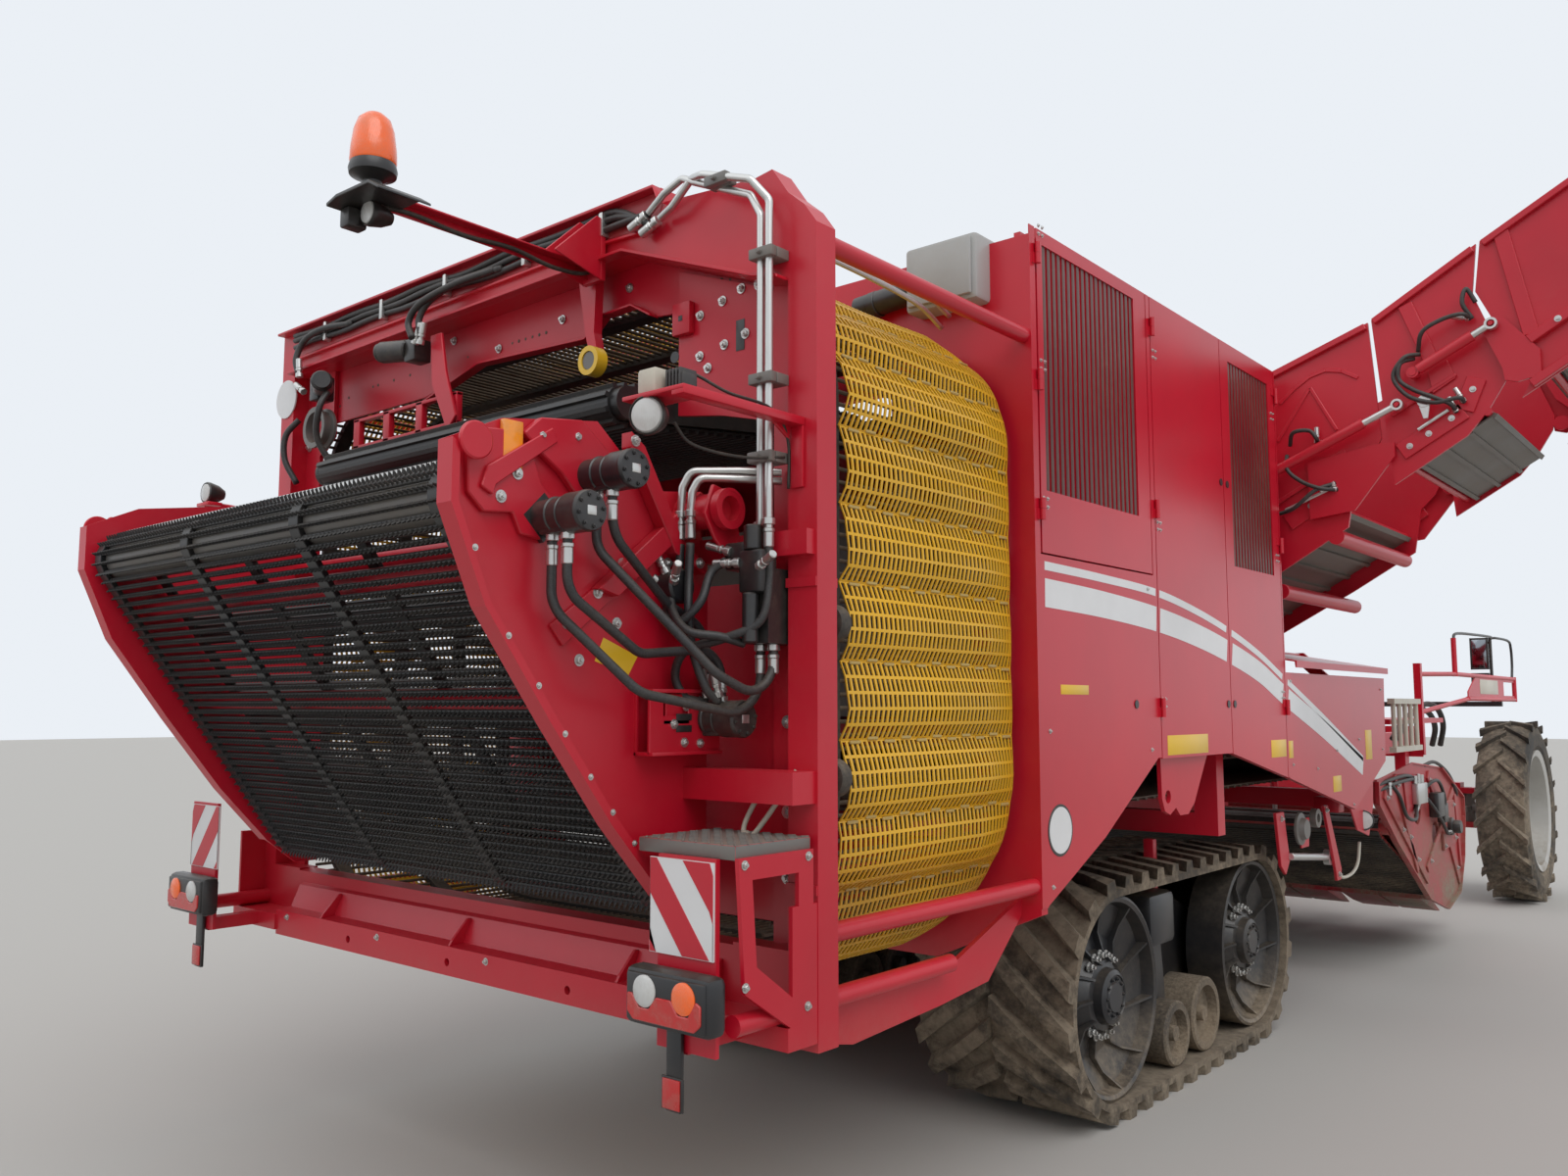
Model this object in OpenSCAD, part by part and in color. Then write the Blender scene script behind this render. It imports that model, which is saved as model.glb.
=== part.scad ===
// Self-propelled four-row tracked potato harvester, millimetres.
// Modelled with +X to the machine's right, +Y forward and +Z up, y = 0 at the rear posts.
// place() moves it so that the origin is at the middle of its box, on the ground.

/* [Overall] */
// Half width over the side panels
half_w = 1750; // [1730:5:1780]
// Height of the side panels' upper edge
panel_top = 4000; // [3900:10:4100]
// Thickness of doors and panels
sheet = 30; // [24:1:36]
// Thickness of welded plates
plate = 20; // [14:1:26]
// Gap around every door and lid
gap = 8; // [6:1:12]
// Running clearance of a pin in its bore
run_fit = 0.05; // [0.03:0.01:0.08]
// Gap between parts that only rest side by side
seat = 0.3; // [0.2:0.1:0.5]

/* [Rear frame] */
// Height of the rear posts
post_top = 3570; // [3450:10:3650]
// Lower end of the rear posts
post_low = 950; // [900:10:1000]
// Width of the rear posts
post_w = 120; // [100:5:130]
// Depth of the rear posts
post_d = 100; // [80:5:110]
// Height of the top beam
beam_top = 3890; // [3800:10:3950]
// Place of the front ring frame
ring_front_y = 1410; // [1405:5:1430]
// Radius of the side tubes
side_tube_r = 32; // [26:1:38]

/* [Ring elevator] */
// Room between the ring web and the machine's side
ring_side = 95; // [90:5:150]
// Top of the ring web
ring_top = 3550; // [3500:10:3600]
// Bottom of the ring web
ring_low = 1000; // [980:10:1040]
// Upper corner radius of the ring web
ring_r_top = 500; // [420:10:560]
// Lower corner radius of the ring web
ring_r_low = 750; // [650:10:800]
// Number of pockets round the ring
pockets = 40; // [34:1:46]
// How far a pocket bulges outward
pocket_bulge = 38; // [20:1:45]
// Number of rods in the ring web
ring_rods = 160; // [100:2:220]
// Rear end of the ring web's rods
rod_y0 = 125; // [115:5:150]
// Rear edge of the pocket web
pocket_y0 = 245; // [200:5:300]
// Front edge of both webs
ring_y1 = 1380; // [1340:5:1390]

/* [Rear finger web] */
// Half of the distance between the side plates
finger_half = 1250; // [1150:5:1300]
// Upper turn of the finger web, along the machine
finger_top_y = -930; // [-980:5:-880]
// Upper turn of the finger web, height
finger_top_z = 2600; // [2500:10:2680]
// Lower turn of the finger web, along the machine
finger_low_y = -120; // [-160:5:-90]
// Lower turn of the finger web, height
finger_low_z = 1440; // [1400:10:1500]
// Radius of the web's turns
finger_r = 95; // [80:1:110]
// Rearmost edge of the side plates
finger_back = -1060; // [-1080:5:-1050]
// Number of rods in the finger web
finger_rods = 60; // [40:2:80]

/* [Tracks] */
// Inner side of the belts
belt_x0 = 600; // [560:5:640]
// Outer side of the belts
belt_x1 = 1450; // [1400:5:1500]
// Rear track wheel's axle, along the machine
track_y0 = 2750; // [2700:5:2800]
// Front track wheel's axle, along the machine
track_y1 = 4640; // [4580:5:4700]
// Radius of the track wheels
track_r = 490; // [470:2:500]
// Thickness of the belt
belt_t = 35; // [28:1:40]
// Height of the belt's lugs
belt_lug = 55; // [40:1:60]
// Number of lug pairs round a belt
belt_lugs = 36; // [30:1:44]

/* [Front wheels] */
// Outer radius of the tyres over the lugs
tyre_r = 925; // [900:5:950]
// Width of the tyres
tyre_w = 460; // [420:5:500]
// Radius of the rims
rim_r = 610; // [580:5:640]
// Lug height on the tyres
tyre_lug = 45; // [35:1:55]
// Lugs on one side of a tyre
tyre_lugs = 20; // [16:1:24]
// Front axle, along the machine
axle_y = 11870; // [11800:10:11950]
// Distance from the middle to a tyre's centre
wheel_x = 1620; // [1580:5:1660]
// Height of the king pin's centre line from the axle beam
kingpin_x = 1180; // [1150:5:1200]

/* [Bunker and boom] */
// Rear side plate of the bunker and boom
boom_y0 = 4500; // [4490:5:4520]
// Front side plate of the bunker and boom
boom_y1 = 6050; // [6000:5:6090]
// First hinge, across the machine
hinge1_x = 2330; // [2320:5:2345]
// First hinge, height
hinge1_z = 3460; // [3450:5:3480]
// Second hinge, across the machine
hinge2_x = 2985; // [2975:5:2995]
// Second hinge, height
hinge2_z = 3800; // [3790:5:3810]
// Radius of the boom's hinge pins
boom_pin_r = 25; // [20:1:30]
// Thickness of the slatted floors
floor_t = 70; // [60:2:80]
// Far end of the boom, across the machine
tip_end_x = 4600; // [4400:10:4800]

/* [Cab] */
// Left side of the cab
cab_x0 = -1650; // [-1700:10:-1600]
// Right side of the cab
cab_x1 = 60; // [0:10:100]
// Rear side of the cab
cab_y0 = 7350; // [7300:10:7400]
// Front side of the cab
cab_y1 = 9100; // [9000:10:9200]
// Height of the cab's floor
cab_z0 = 1900; // [1860:10:1940]
// Height of the cab's roof
cab_z1 = 3700; // [3600:10:3800]
// Thickness of the cab's walls
cab_wall = 50; // [40:2:60]

/* [Digging unit] */
// Room between the outer rows and the digging unit's sides
dig_side_gap = 140; // [110:5:160]
// Pivot of the digging unit, along the machine
dig_y = 6640; // [6600:10:6700]
// Pivot of the digging unit, height
dig_z = 1380; // [1350:10:1420]
// Distance between two rows
row = 750; // [750:1:900]

/* [Hidden] */
$fn = 48;

// Middle of the whole machine's box, from the first frame's origin
box_mid_x = (tip_end_x - wheel_x - tyre_w / 2) / 2;
box_mid_y = (axle_y + tyre_r + finger_back) / 2;

red = "firebrick";
black = [0.1, 0.1, 0.1];
steel = "silver";

module place() { translate([-box_mid_x, -box_mid_y, 0]) children(); }
module both_sides() { children(); mirror([1, 0, 0]) children(); }
// A block from its low corner to its high corner
module block(a, b) { translate(a) cube(b - a); }
// A profile drawn in y and z, from x0 to x1
module prism_x(x0, x1) { translate([x0, 0, 0]) rotate([90, 0, 90]) linear_extrude(x1 - x0) children(); }
// A profile drawn in x and z, from y0 to y1
module prism_y(y0, y1) { translate([0, y1, 0]) rotate([90, 0, 0]) linear_extrude(y1 - y0) children(); }
module rod_x(r, x0, x1, y, z) { translate([x0, y, z]) rotate([0, 90, 0]) cylinder(r = r, h = x1 - x0); }
module rod_y(r, y0, y1, x, z) { translate([x, y1, z]) rotate([90, 0, 0]) cylinder(r = r, h = y1 - y0); }
module rod_z(r, z0, z1, x, y) { translate([x, y, z0]) cylinder(r = r, h = z1 - z0); }
// A round bar between two points, turned on itself by roll
module bar(a, b, r, roll = 0) {
    d = b - a;
    h = norm(d);
    translate(a) rotate([0, acos(d[2] / h), atan2(d[1], d[0])]) rotate(roll) cylinder(r = r, h = h);
}

// Point of the ring's path: s along it, off outward. Starts at the top left, runs to the right.
ring_half = half_w - ring_side;
ring_w = 2 * ring_half - 2 * ring_r_top;
ring_h = ring_top - ring_low - ring_r_top - ring_r_low;
ring_wl = 2 * ring_half - 2 * ring_r_low;
ring_at = 90 * PI / 180 * ring_r_top;
ring_al = 90 * PI / 180 * ring_r_low;
ring_len = ring_w + 2 * ring_h + ring_wl + 2 * ring_at + 2 * ring_al;
function arc_pt(cx, cz, r, a) = [cx + r * sin(a), cz + r * cos(a)];
function ring_pt(s, off) =
    let (a = ring_w, b = a + ring_at, c = b + ring_h, d = c + ring_al, e = d + ring_wl,
         f = e + ring_al, g = f + ring_h)
    s < a ? [s - ring_w / 2, ring_top + off] :
    s < b ? arc_pt(ring_w / 2, ring_top - ring_r_top, ring_r_top + off, (s - a) / ring_at * 90) :
    s < c ? [ring_half + off, ring_top - ring_r_top - (s - b)] :
    s < d ? arc_pt(ring_wl / 2, ring_low + ring_r_low, ring_r_low + off, 90 + (s - c) / ring_al * 90) :
    s < e ? [ring_wl / 2 - (s - d), ring_low - off] :
    s < f ? arc_pt(-ring_wl / 2, ring_low + ring_r_low, ring_r_low + off, 180 + (s - e) / ring_al * 90) :
    s < g ? [-ring_half - off, ring_low + ring_r_low + (s - f)] :
    arc_pt(-ring_w / 2, ring_top - ring_r_top, ring_r_top + off, 270 + (s - g) / ring_at * 90);
// The ring's path as a solid shape grown by off
module ring_shape(off) {
    for (s = [-1, 1]) {
        translate([s * ring_w / 2, ring_top - ring_r_top]) circle(r = ring_r_top + off, $fn = 96);
        translate([s * ring_wl / 2, ring_low + ring_r_low]) circle(r = ring_r_low + off, $fn = 96);
    }
    translate([-ring_w / 2, ring_low + ring_r_low]) square([ring_w, ring_top - ring_low - ring_r_low + off]);
    translate([-ring_wl / 2, ring_low - off]) square([ring_wl, ring_r_low + off + 10]);
    translate([-ring_half - off, ring_low + ring_r_low]) square([2 * ring_half + 2 * off, ring_h]);
}
// Closed outline of n equal teeth; prof holds [share of a pitch, offset]
function ring_outline(n, prof) =
    [for (i = [0:n - 1]) for (p = prof) ring_pt((i + p[0]) / n * ring_len, p[1])];

// Point of a belt round two equal wheels a distance len apart, along +first axis
function belt_len(len, r) = 2 * len + 2 * PI * r;
function belt_pt(s0, len, r, off) =
    let (half = PI * r, s = s0 - floor(s0 / belt_len(len, r)) * belt_len(len, r))
    s < len ? [s, r + off] :
    s < len + half ? arc_pt(len, 0, r + off, (s - len) / half * 180) :
    s < 2 * len + half ? [2 * len + half - s, -r - off] :
    arc_pt(0, 0, r + off, 180 + (s - 2 * len - half) / half * 180);
function belt_outline(n, len, r, prof) =
    [for (i = [0:n - 1]) for (p = prof) belt_pt((i + p[0]) / n * belt_len(len, r), len, r, p[1])];
// The slot shape of a belt's path, grown by off
module stadium(len, r) {
    translate([0, -r]) square([len, 2 * r]);
    circle(r = r);
    translate([len, 0]) circle(r = r);
}
// Plain band round two wheels
module band(len, r, t) {
    difference() {
        stadium(len, r + t);
        stadium(len, r);
    }
}

// Chassis: sills behind the panels, centre rails, cross frames round the sieve web, and the neck
rail_x = 480;
rail_w = 110;
rail_z = [1240, 1440];
sill_x = [half_w - 190, half_w - 60];
sill_z = [1790, 1930];
neck_z = [1500, 1720];
nose_y = axle_y + 230;
// Cross frames at the sieve web's ends and over the track axle
frame_y = [1580, 3650, 6040];
frame_d = 100;
lug_hole_r = 32;
module lashing_lug() {
    // [y, z] outline with two lobes
    prism_x(sill_x[1] + seat, sill_x[1] + seat + plate) difference() {
        polygon([[2660, 1800], [2670, 1560], [2700, 1500], [2760, 1480], [2830, 1510], [2880, 1470],
            [2980, 1470], [3060, 1520], [3280, 1800]]);
        translate([2740, 1567]) circle(r = lug_hole_r);
    }
}
// A member across the machine between two faces, also in three parts on both sides of a pair of rails
module cross(x, a, b) block([seat - x, a[0], a[1]], [x - seat, b[0], b[1]]);
module cross_outside(x0, x1, a, b) both_sides() block([x0 + seat, a[0], a[1]], [x1 - seat, b[0], b[1]]);
// Each member is a solid of its own, set against its neighbours
module main_frame() color(red) {
    hanger_x = sill_x[0] - 90;
    both_sides() {
        block([rail_x, ring_front_y + 50 + seat, rail_z[0]], [rail_x + rail_w, 6500, rail_z[1]]);
        block([sill_x[0], ring_front_y + 50 + seat, sill_z[0]], [sill_x[1], 6480, sill_z[1]]);
        lashing_lug();
        // Neck rails over the digging unit, and their knees
        block([rail_x, 6400, neck_z[0]], [rail_x + rail_w, nose_y - seat, neck_z[1]]);
        block([rail_x, 6400, rail_z[1] + seat], [rail_x + rail_w, 6500, neck_z[0] - seat]);
        // Hangers beside the sieve web
        for (y = frame_y)
            block([hanger_x, y, rail_z[0] + 60], [sill_x[0] + 40, y + frame_d, sill_z[0] - seat]);
        // Hanger plates of the digging unit's pivot
        difference() {
            prism_x(dig_hanger_x, dig_hanger_x + dig_hanger_t)
                polygon([[6380, 1700], [6380, 1900], [6480, 1900], [6720, 1460], [6720, 1310], [6570, 1310]]);
            rod_x(dig_pin_r + run_fit, dig_hanger_x - 5, dig_hanger_x + dig_hanger_t + 5, dig_y, dig_z);
        }
    }
    for (y = frame_y) {
        cross(rail_x, [y, rail_z[0] + 60], [y + frame_d, rail_z[0] + 180]);
        cross_outside(rail_x + rail_w, hanger_x, [y, rail_z[0] + 60], [y + frame_d, rail_z[0] + 180]);
    }
    // Upper cross members: under the engine, the bunker's feet and the end of the sills
    for (y = [2000, 3350, 4540, 5910])
        cross(sill_x[0], [y, sill_z[0] + 20], [y + 80, sill_z[1] - 10]);
    cross(dig_hanger_x, [6380, sill_z[0] + 20], [6460, sill_z[1] - 10]);
    cross_outside(dig_hanger_x + dig_hanger_t, sill_x[0], [6380, sill_z[0] + 20], [6460, sill_z[1] - 10]);
    // Engine pads
    for (x = [-700, 700], y = [2000, 3350])
        block([x - 60, y, sill_z[1] - 10 + seat], [x + 60, y + 80, engine_z - seat]);
    // Cross members of the neck
    for (y = [7000, 8300, 9400, 10600, axle_y - 200])
        cross(rail_x, [y, neck_z[0] + 20], [y + 120, neck_z[1] - 20]);
    // Track axle tube between its hangers
    rod_x(90, seat - rail_x - 5, rail_x + 5 - seat, 3700, track_axle_z);
    both_sides() {
        block([rail_x + 5, 3620, track_axle_z - 70], [rail_x + rail_w - 40, 3780, rail_z[0] - seat]);
        rod_x(90, rail_x + 5, belt_x0 - 40, 3700, track_axle_z);
    }
    // Brackets of the sloping lid, and its pin between them
    for (y = [4410, 6450])
        prism_y(y, y + 30) polygon([[sill_x[0] + 10, sill_z[1] + seat], [sill_x[1] - 10, sill_z[1] + seat],
            [lid_x[0] + 30, lid_z + 18], [lid_x[0] - 30, lid_z + 18], [lid_x[0] - 30, lid_z - 40]]);
    rod_y(lid_pin_r, 4440 + seat, 6450 - seat, lid_x[0], lid_z);
    // Pins of the lift cylinders
    both_sides() rod_x(cyl_pin_r, rail_x + rail_w + seat, lift_x + 25, lift_foot[0], lift_foot[1]);
    // Front implement face
    difference() {
        block([-700, nose_y, neck_z[0] - 60], [700, nose_y + plate, neck_z[1] + 60]);
        for (x = [-1, 1], z = [-1, 1])
            rod_y(topper_hole_r, nose_y - 50, nose_y + 50, x * topper_dx / 2, topper_z + z * topper_dz / 2);
    }
}
dig_hanger_t = 30;
topper_hole_r = 11;
topper_dx = 1300;
topper_dz = 200;
topper_z = 1610;
track_axle_z = 860;
engine_z = 1950;
lift_x = 640;
lift_foot = [7400, 1660];
lift_eye = [7400, 1090];

// Rear portal, front ring frame, side tubes and lower side frames
portal_y1 = post_d;
// Inner face of the posts
post_x = half_w - post_w;
// Half width of the opening in the front ring frame
hoop_x = half_w - 300;
module portal_profile() difference() {
    polygon([[-half_w, post_low], [-half_w, beam_top], [half_w - 730, beam_top],
        [half_w - 710, beam_top - 60], [half_w - 270, 3790], [half_w - 190, 3800], [post_x, 3700],
        [half_w - 50, post_top + 70], [half_w, post_top], [half_w, post_low]]);
    polygon([[-post_x, post_low - 1], [-post_x, 3655], [half_w - 890, 3676], [half_w - 250, 3430],
        [post_x, 3400], [post_x, post_low - 1]]);
}
module rear_frame() color(red) {
    prism_y(0, portal_y1) portal_profile();
    // Inner face plates beside the opening, bolted to the posts
    prism_y(portal_y1 - plate, portal_y1) {
        polygon([[half_w - 710, 3590], [half_w - 250, 3420], [post_x + 5, 3400], [post_x + 5, 2950],
            [half_w - 250, 2960], [half_w - 500, 3020], [half_w - 710, 3050]]);
        polygon([[-post_x - 5, 3660], [250 - post_x, 3660], [250 - post_x, 3330], [-post_x - 5, 3150]]);
    }
    // Flanges beside the posts that carry rollers, pipes and valves
    both_sides() block([post_x - 130, portal_y1 - plate, 1235], [post_x + 5, portal_y1, 3430]);
    // Hanger of the upper web, with its deflection roller's fork
    prism_y(0, 40) polygon([[560, 3680], [670, 3680], [660, 3420], [690, 3300], [655, 3290], [610, 3420]]);
    // Front ring frame
    prism_y(ring_front_y, ring_front_y + 50) difference() {
        polygon([[-half_w + 5, 1180], [-half_w + 5, panel_top - 40], [half_w - 5, panel_top - 40],
            [half_w - 5, 1180], [hoop_x - 200, 960], [200 - hoop_x, 960]]);
        polygon([[-hoop_x, 1480], [-hoop_x, 3250], [200 - hoop_x, 3400], [hoop_x - 200, 3400],
            [hoop_x, 3250], [hoop_x, 1480], [hoop_x - 300, 1190], [300 - hoop_x, 1190]]);
    }
    // Tubes that close the frame at the sides
    both_sides() {
        for (z = [post_top - 40, 1290])
            rod_y(side_tube_r, portal_y1 - 10, ring_front_y + 10, half_w - side_tube_r - 5, z);
        rod_y(side_tube_r, -330, 820, half_w - side_tube_r - 20, 1085);
        // Lower gusset below the web
        prism_x(post_x + 5, post_x + 5 + plate)
            polygon([[0, 960], [0, 1080], [100, 1100], [500, 1060], [900, 1060], [ring_front_y + 10, 1240],
                [ring_front_y + 10, 1180], [1150, 960], [820, 930], [300, 900]]);
        // Collars on the posts
        for (z = [2380, 1420])
            block([post_x - 6, -6, z], [half_w - 1, portal_y1 + 5, z + 30]);
    }
    // Lower rear cross plate that carries the beam and the lower turn of the web
    prism_x(230 - post_x, post_x - 230) polygon([[0, 1010], [0, 1230], [60, 1240], [100, 1180], [100, 960]]);
    both_sides() block([post_x - 235, 0, 960], [post_x + 5, 90, 1240]);
}

// Rear bumper beam with its ledge, ribs and lower hole line
hitch_dx = 725;
hitch_r = 15.5;
hitch_z = 1010;
module rear_beam() color(red) {
    difference() {
        prism_x(280 - post_x, post_x - 280)
            polygon([[-130, 960], [-130, 1070], [-60, 1075], [-20, 1170], [-seat, 1180], [-seat, 960]]);
        for (x = [-hitch_dx, 0, hitch_dx]) rod_y(hitch_r, -200, 10, x, hitch_z);
    }
    for (x = [-970, 0, 970])
        prism_x(x - 6, x + 6) polygon([[-125, 1068], [-110, 1090], [-40, 1165], [-25, 1165], [-60, 1068]]);
    // Lamp outriggers
    both_sides() {
        block([post_x - 285, -140, 980], [half_w - 2, -seat, 1050]);
        block([half_w - 250, -370, 990], [half_w - 190, -130, 1045]);
        block([half_w - 310, -380, 1000], [half_w - 70, -365, 1560]);
    }
    // Step with its side plate
    block([finger_half + plate + 60, -360, 1560], [half_w - 15, -20, 1600]);
    prism_x(half_w - 17, half_w - 2) difference() {
        polygon([[-360, 1565], [-350, 1440], [-330, 1180], [-120, 1045], [-20, 1045], [-20, 1565]]);
        polygon([[-300, 1500], [-280, 1250], [-110, 1130], [-90, 1130], [-90, 1500]]);
    }
    both_sides() block([half_w - 17, -120, 1045], [half_w - 2, -seat, 1400]);
}

ring_web_t = 45;
module ring_web() color(black)
    prism_y(rod_y0, ring_y1) difference() {
        polygon(ring_outline(ring_rods, [[0, -30], [0.25, -30], [0.3, -12], [0.7, -12], [0.75, -30]]));
        ring_shape(-ring_web_t);
    }
module ring_pockets() color("gold")
    prism_y(pocket_y0, ring_y1 - 20) difference() {
        polygon(ring_outline(pockets, [for (k = [0:7]) [k / 8, pocket_bulge * sin(k / 8 * 180)]]));
        ring_shape(-12 + seat);
    }

// Carrying rollers of the ring and the rollers of the rear and lower webs, on their stub axles
ring_roller_r = 90;
ring_roller_x = ring_half - ring_web_t - seat - ring_roller_r;
module web_rollers() color("dimgray") {
    for (z = [1960, 2560]) both_sides() {
        rod_y(ring_roller_r, 150, 210, ring_roller_x, z);
        rod_y(25, portal_y1 + seat, 160, ring_roller_x, z);
        rod_y(ring_roller_r, ring_y1 - 80, ring_y1 - 20, ring_roller_x, z);
        rod_y(25, ring_y1 - 30, ring_front_y - seat, ring_roller_x, z);
    }
    for (p = [[finger_top_y, finger_top_z], [finger_low_y, finger_low_z]]) {
        rod_x(finger_r - 11 - seat, -finger_half + 15, finger_half - 15, p[0], p[1]);
        both_sides() rod_x(22, finger_half - 20, finger_half + plate, p[0], p[1]);
    }
    for (y = sieve_y) {
        rod_x(sieve_r - 12 - seat, -sieve_half, sieve_half, y, sieve_z);
        both_sides() rod_x(30, sieve_half - 1, sill_x[0] - 90 - seat, y, sieve_z);
    }
}

finger_len = norm([finger_low_y - finger_top_y, finger_low_z - finger_top_z]);
finger_dir = atan2(finger_low_z - finger_top_z, finger_low_y - finger_top_y);
module finger_web() color(black)
    prism_x(-finger_half + 25, finger_half - 25)
        translate([finger_top_y, finger_top_z]) rotate(finger_dir) difference() {
            polygon(belt_outline(finger_rods, finger_len, finger_r,
                [[0, -4], [0.3, -4], [0.35, 16], [0.65, 16], [0.7, -4]]));
            stadium(finger_len, finger_r - 11);
        }

finger_pin_r = 22 + run_fit;
module finger_plates() color(red) {
    both_sides() {
        difference() {
            prism_x(finger_half, finger_half + plate)
                polygon([[-500, 2890], [-860, 2835], [finger_back, 2740], [finger_back, 2560], [-940, 2280],
                    [-700, 1950], [-460, 1640], [-240, 1400], [-100, 1290], [-seat, 1290], [-seat, 2500],
                    [-40, 2600], [-40, 2680], [-100, 2720], [-270, 2700]]);
            for (p = [[finger_top_y, finger_top_z], [finger_low_y, finger_low_z]])
                rod_x(finger_pin_r, finger_half - 50, finger_half + 50, p[0], p[1]);
        }
        // Stiffening rim along the rear edge
        prism_x(finger_half + plate - 1, finger_half + plate + 50) difference() {
            polygon([[finger_back, 2740], [finger_back, 2560], [-940, 2280], [-700, 1950], [-460, 1640],
                [-240, 1400], [-220, 1425], [-440, 1660], [-680, 1970], [-920, 2290], [-1035, 2565],
                [-1035, 2725]]);
        }
        // Strut from the plate to the post
        block([finger_half + plate - 1, -110, 1700], [half_w - 10, -seat, 1800]);
        block([finger_half + plate - 1, -40, 2480], [half_w - 10, -seat, 2560]);
    }
    // Cross tubes of the web
    rod_x(42, -finger_half - 1, finger_half + 1, -800, 2415);
    rod_x(42, -finger_half - 1, finger_half + 1, -525, 2020);
    // Carrier tube with its open ends
    difference() {
        rod_x(58, 150 - post_x, post_x - 150, -110, 2640);
        both_sides() rod_x(42, post_x - 330, post_x - 140, -110, 2640);
    }
}

// [y, z] of the motors on the right side plate
motor_at = [[-718, 2557], [-549, 2704], [-65, 1960]];
valve_x = [post_x - 125, post_x - 15];
valve_z = [2200, 2440];
// Hydraulic motor: flange, body and end cap, along x
module motor(x, y, z, s) translate([x, y, z]) rotate([0, s * 90, 0]) {
    cylinder(r = 75, h = 20, $fn = 4);
    cylinder(r = motor_r, h = 150);
    translate([0, 0, 149]) cylinder(r = 60, h = 70);
}
module hydraulic_motors() color(black) {
    face = finger_half + plate + seat;
    for (p = motor_at) motor(face, p[0], p[1], 1);
    motor(-face, finger_top_y, finger_top_z, -1);
    // Valve block at the foot of the pipes
    block([valve_x[0], -80, valve_z[0]], [valve_x[1], portal_y1 - plate - seat, valve_z[1]]);
}

// Upper web across the opening, with its windowed red carrier
picking_y = [-140, 1180];
picking_z = [3060, 3200];
picking_len = norm([picking_y[1] - picking_y[0], picking_z[1] - picking_z[0]]);
picking_dir = atan2(picking_z[1] - picking_z[0], picking_y[1] - picking_y[0]);
module picking_web() color(black) {
    prism_x(-980, 980) translate([picking_y[0], picking_z[0]]) rotate(picking_dir) difference() {
        polygon(belt_outline(60, picking_len, 70, [[0, -2], [0.3, -2], [0.35, 12], [0.65, 12], [0.7, -2]]));
        stadium(picking_len, 60);
    }
    both_sides() prism_x(1000, 1020) translate([picking_y[0], picking_z[0]]) rotate(picking_dir)
        stadium(picking_len, 60);
    for (p = [[picking_y[0], picking_z[0]], [picking_y[1], picking_z[1]]])
        rod_x(59, -1005, 1005, p[0], p[1]);
    both_sides() rod_x(25, 1015, hoop_x - 75, picking_y[1], picking_z[1]);
    both_sides() block([hoop_x - 90, picking_y[1] - 40, picking_z[1] - 60],
        [hoop_x - 50, ring_front_y - seat, picking_z[1] + 190]);
}

// Steel pipes down the right post, and the hoses of the web's drive
// [x, y, z] of each run's points
pipe_runs = [
    [[half_w - 630, -seat, 3770], [half_w - 630, -60, 3770], [valve_x[0] + 30, -60, 3700],
        [valve_x[0] + 30, -60, valve_z[1] + seat]],
    [[half_w - 590, -seat, 3840], [half_w - 590, -60, 3840], [valve_x[1] - 25, -60, 3780],
        [valve_x[1] - 25, -60, valve_z[1] + seat]]
];
motor_r = 52;
// Heights where a hose meets the motors, and the valve block's underside
meet_top = motor_at[0][1] - motor_r - seat;
meet_mid = motor_at[1][1] - motor_r - seat;
meet_low = motor_at[2][1] + motor_r + seat;
meet_valve = valve_z[0] - seat;
// Where the two hoses of a motor leave it, across the machine
tap_x = [finger_half + 80, finger_half + 150];
hose_runs = [
    [[tap_x[0], motor_at[0][0], meet_top], [tap_x[0], motor_at[0][0], 2290], [valve_x[0] - 50, -480, 2040],
        [valve_x[0] + 25, -20, 1960], [valve_x[0] + 25, -20, meet_valve]],
    [[tap_x[1], motor_at[0][0], meet_top], [tap_x[1], motor_at[0][0], 2330], [tap_x[1] - 10, -420, 2160],
        [tap_x[1], -65, 2190], [tap_x[1], -65, meet_low]],
    [[tap_x[0], motor_at[1][0], meet_mid], [tap_x[0], motor_at[1][0], 2480], [valve_x[1] - 55, -260, 2100],
        [valve_x[1] - 30, -20, 2000], [valve_x[1] - 30, -20, meet_valve]],
    [[tap_x[1], motor_at[1][0], meet_mid], [tap_x[1], motor_at[1][0], 2520], [tap_x[0], -250, 2330],
        [tap_x[0], -65, 2250], [tap_x[0], -65, meet_low]]
];
function unit(v) = v / norm(v);
function turn(p, i) = acos(unit(p[i] - p[i - 1]) * unit(p[i + 1] - p[i]));
// How far before a corner its bend starts
function setback(p, i, bend) = i == 0 || i == len(p) - 1 ? 0 : bend * tan(turn(p, i) / 2);
// How far a straight stretch reaches into a bend, and how much thicker the bend is
bend_lap = 1;
bend_over = 1.5;
function lap(p, i) = i == 0 || i == len(p) - 1 ? 0 : bend_lap;
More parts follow.
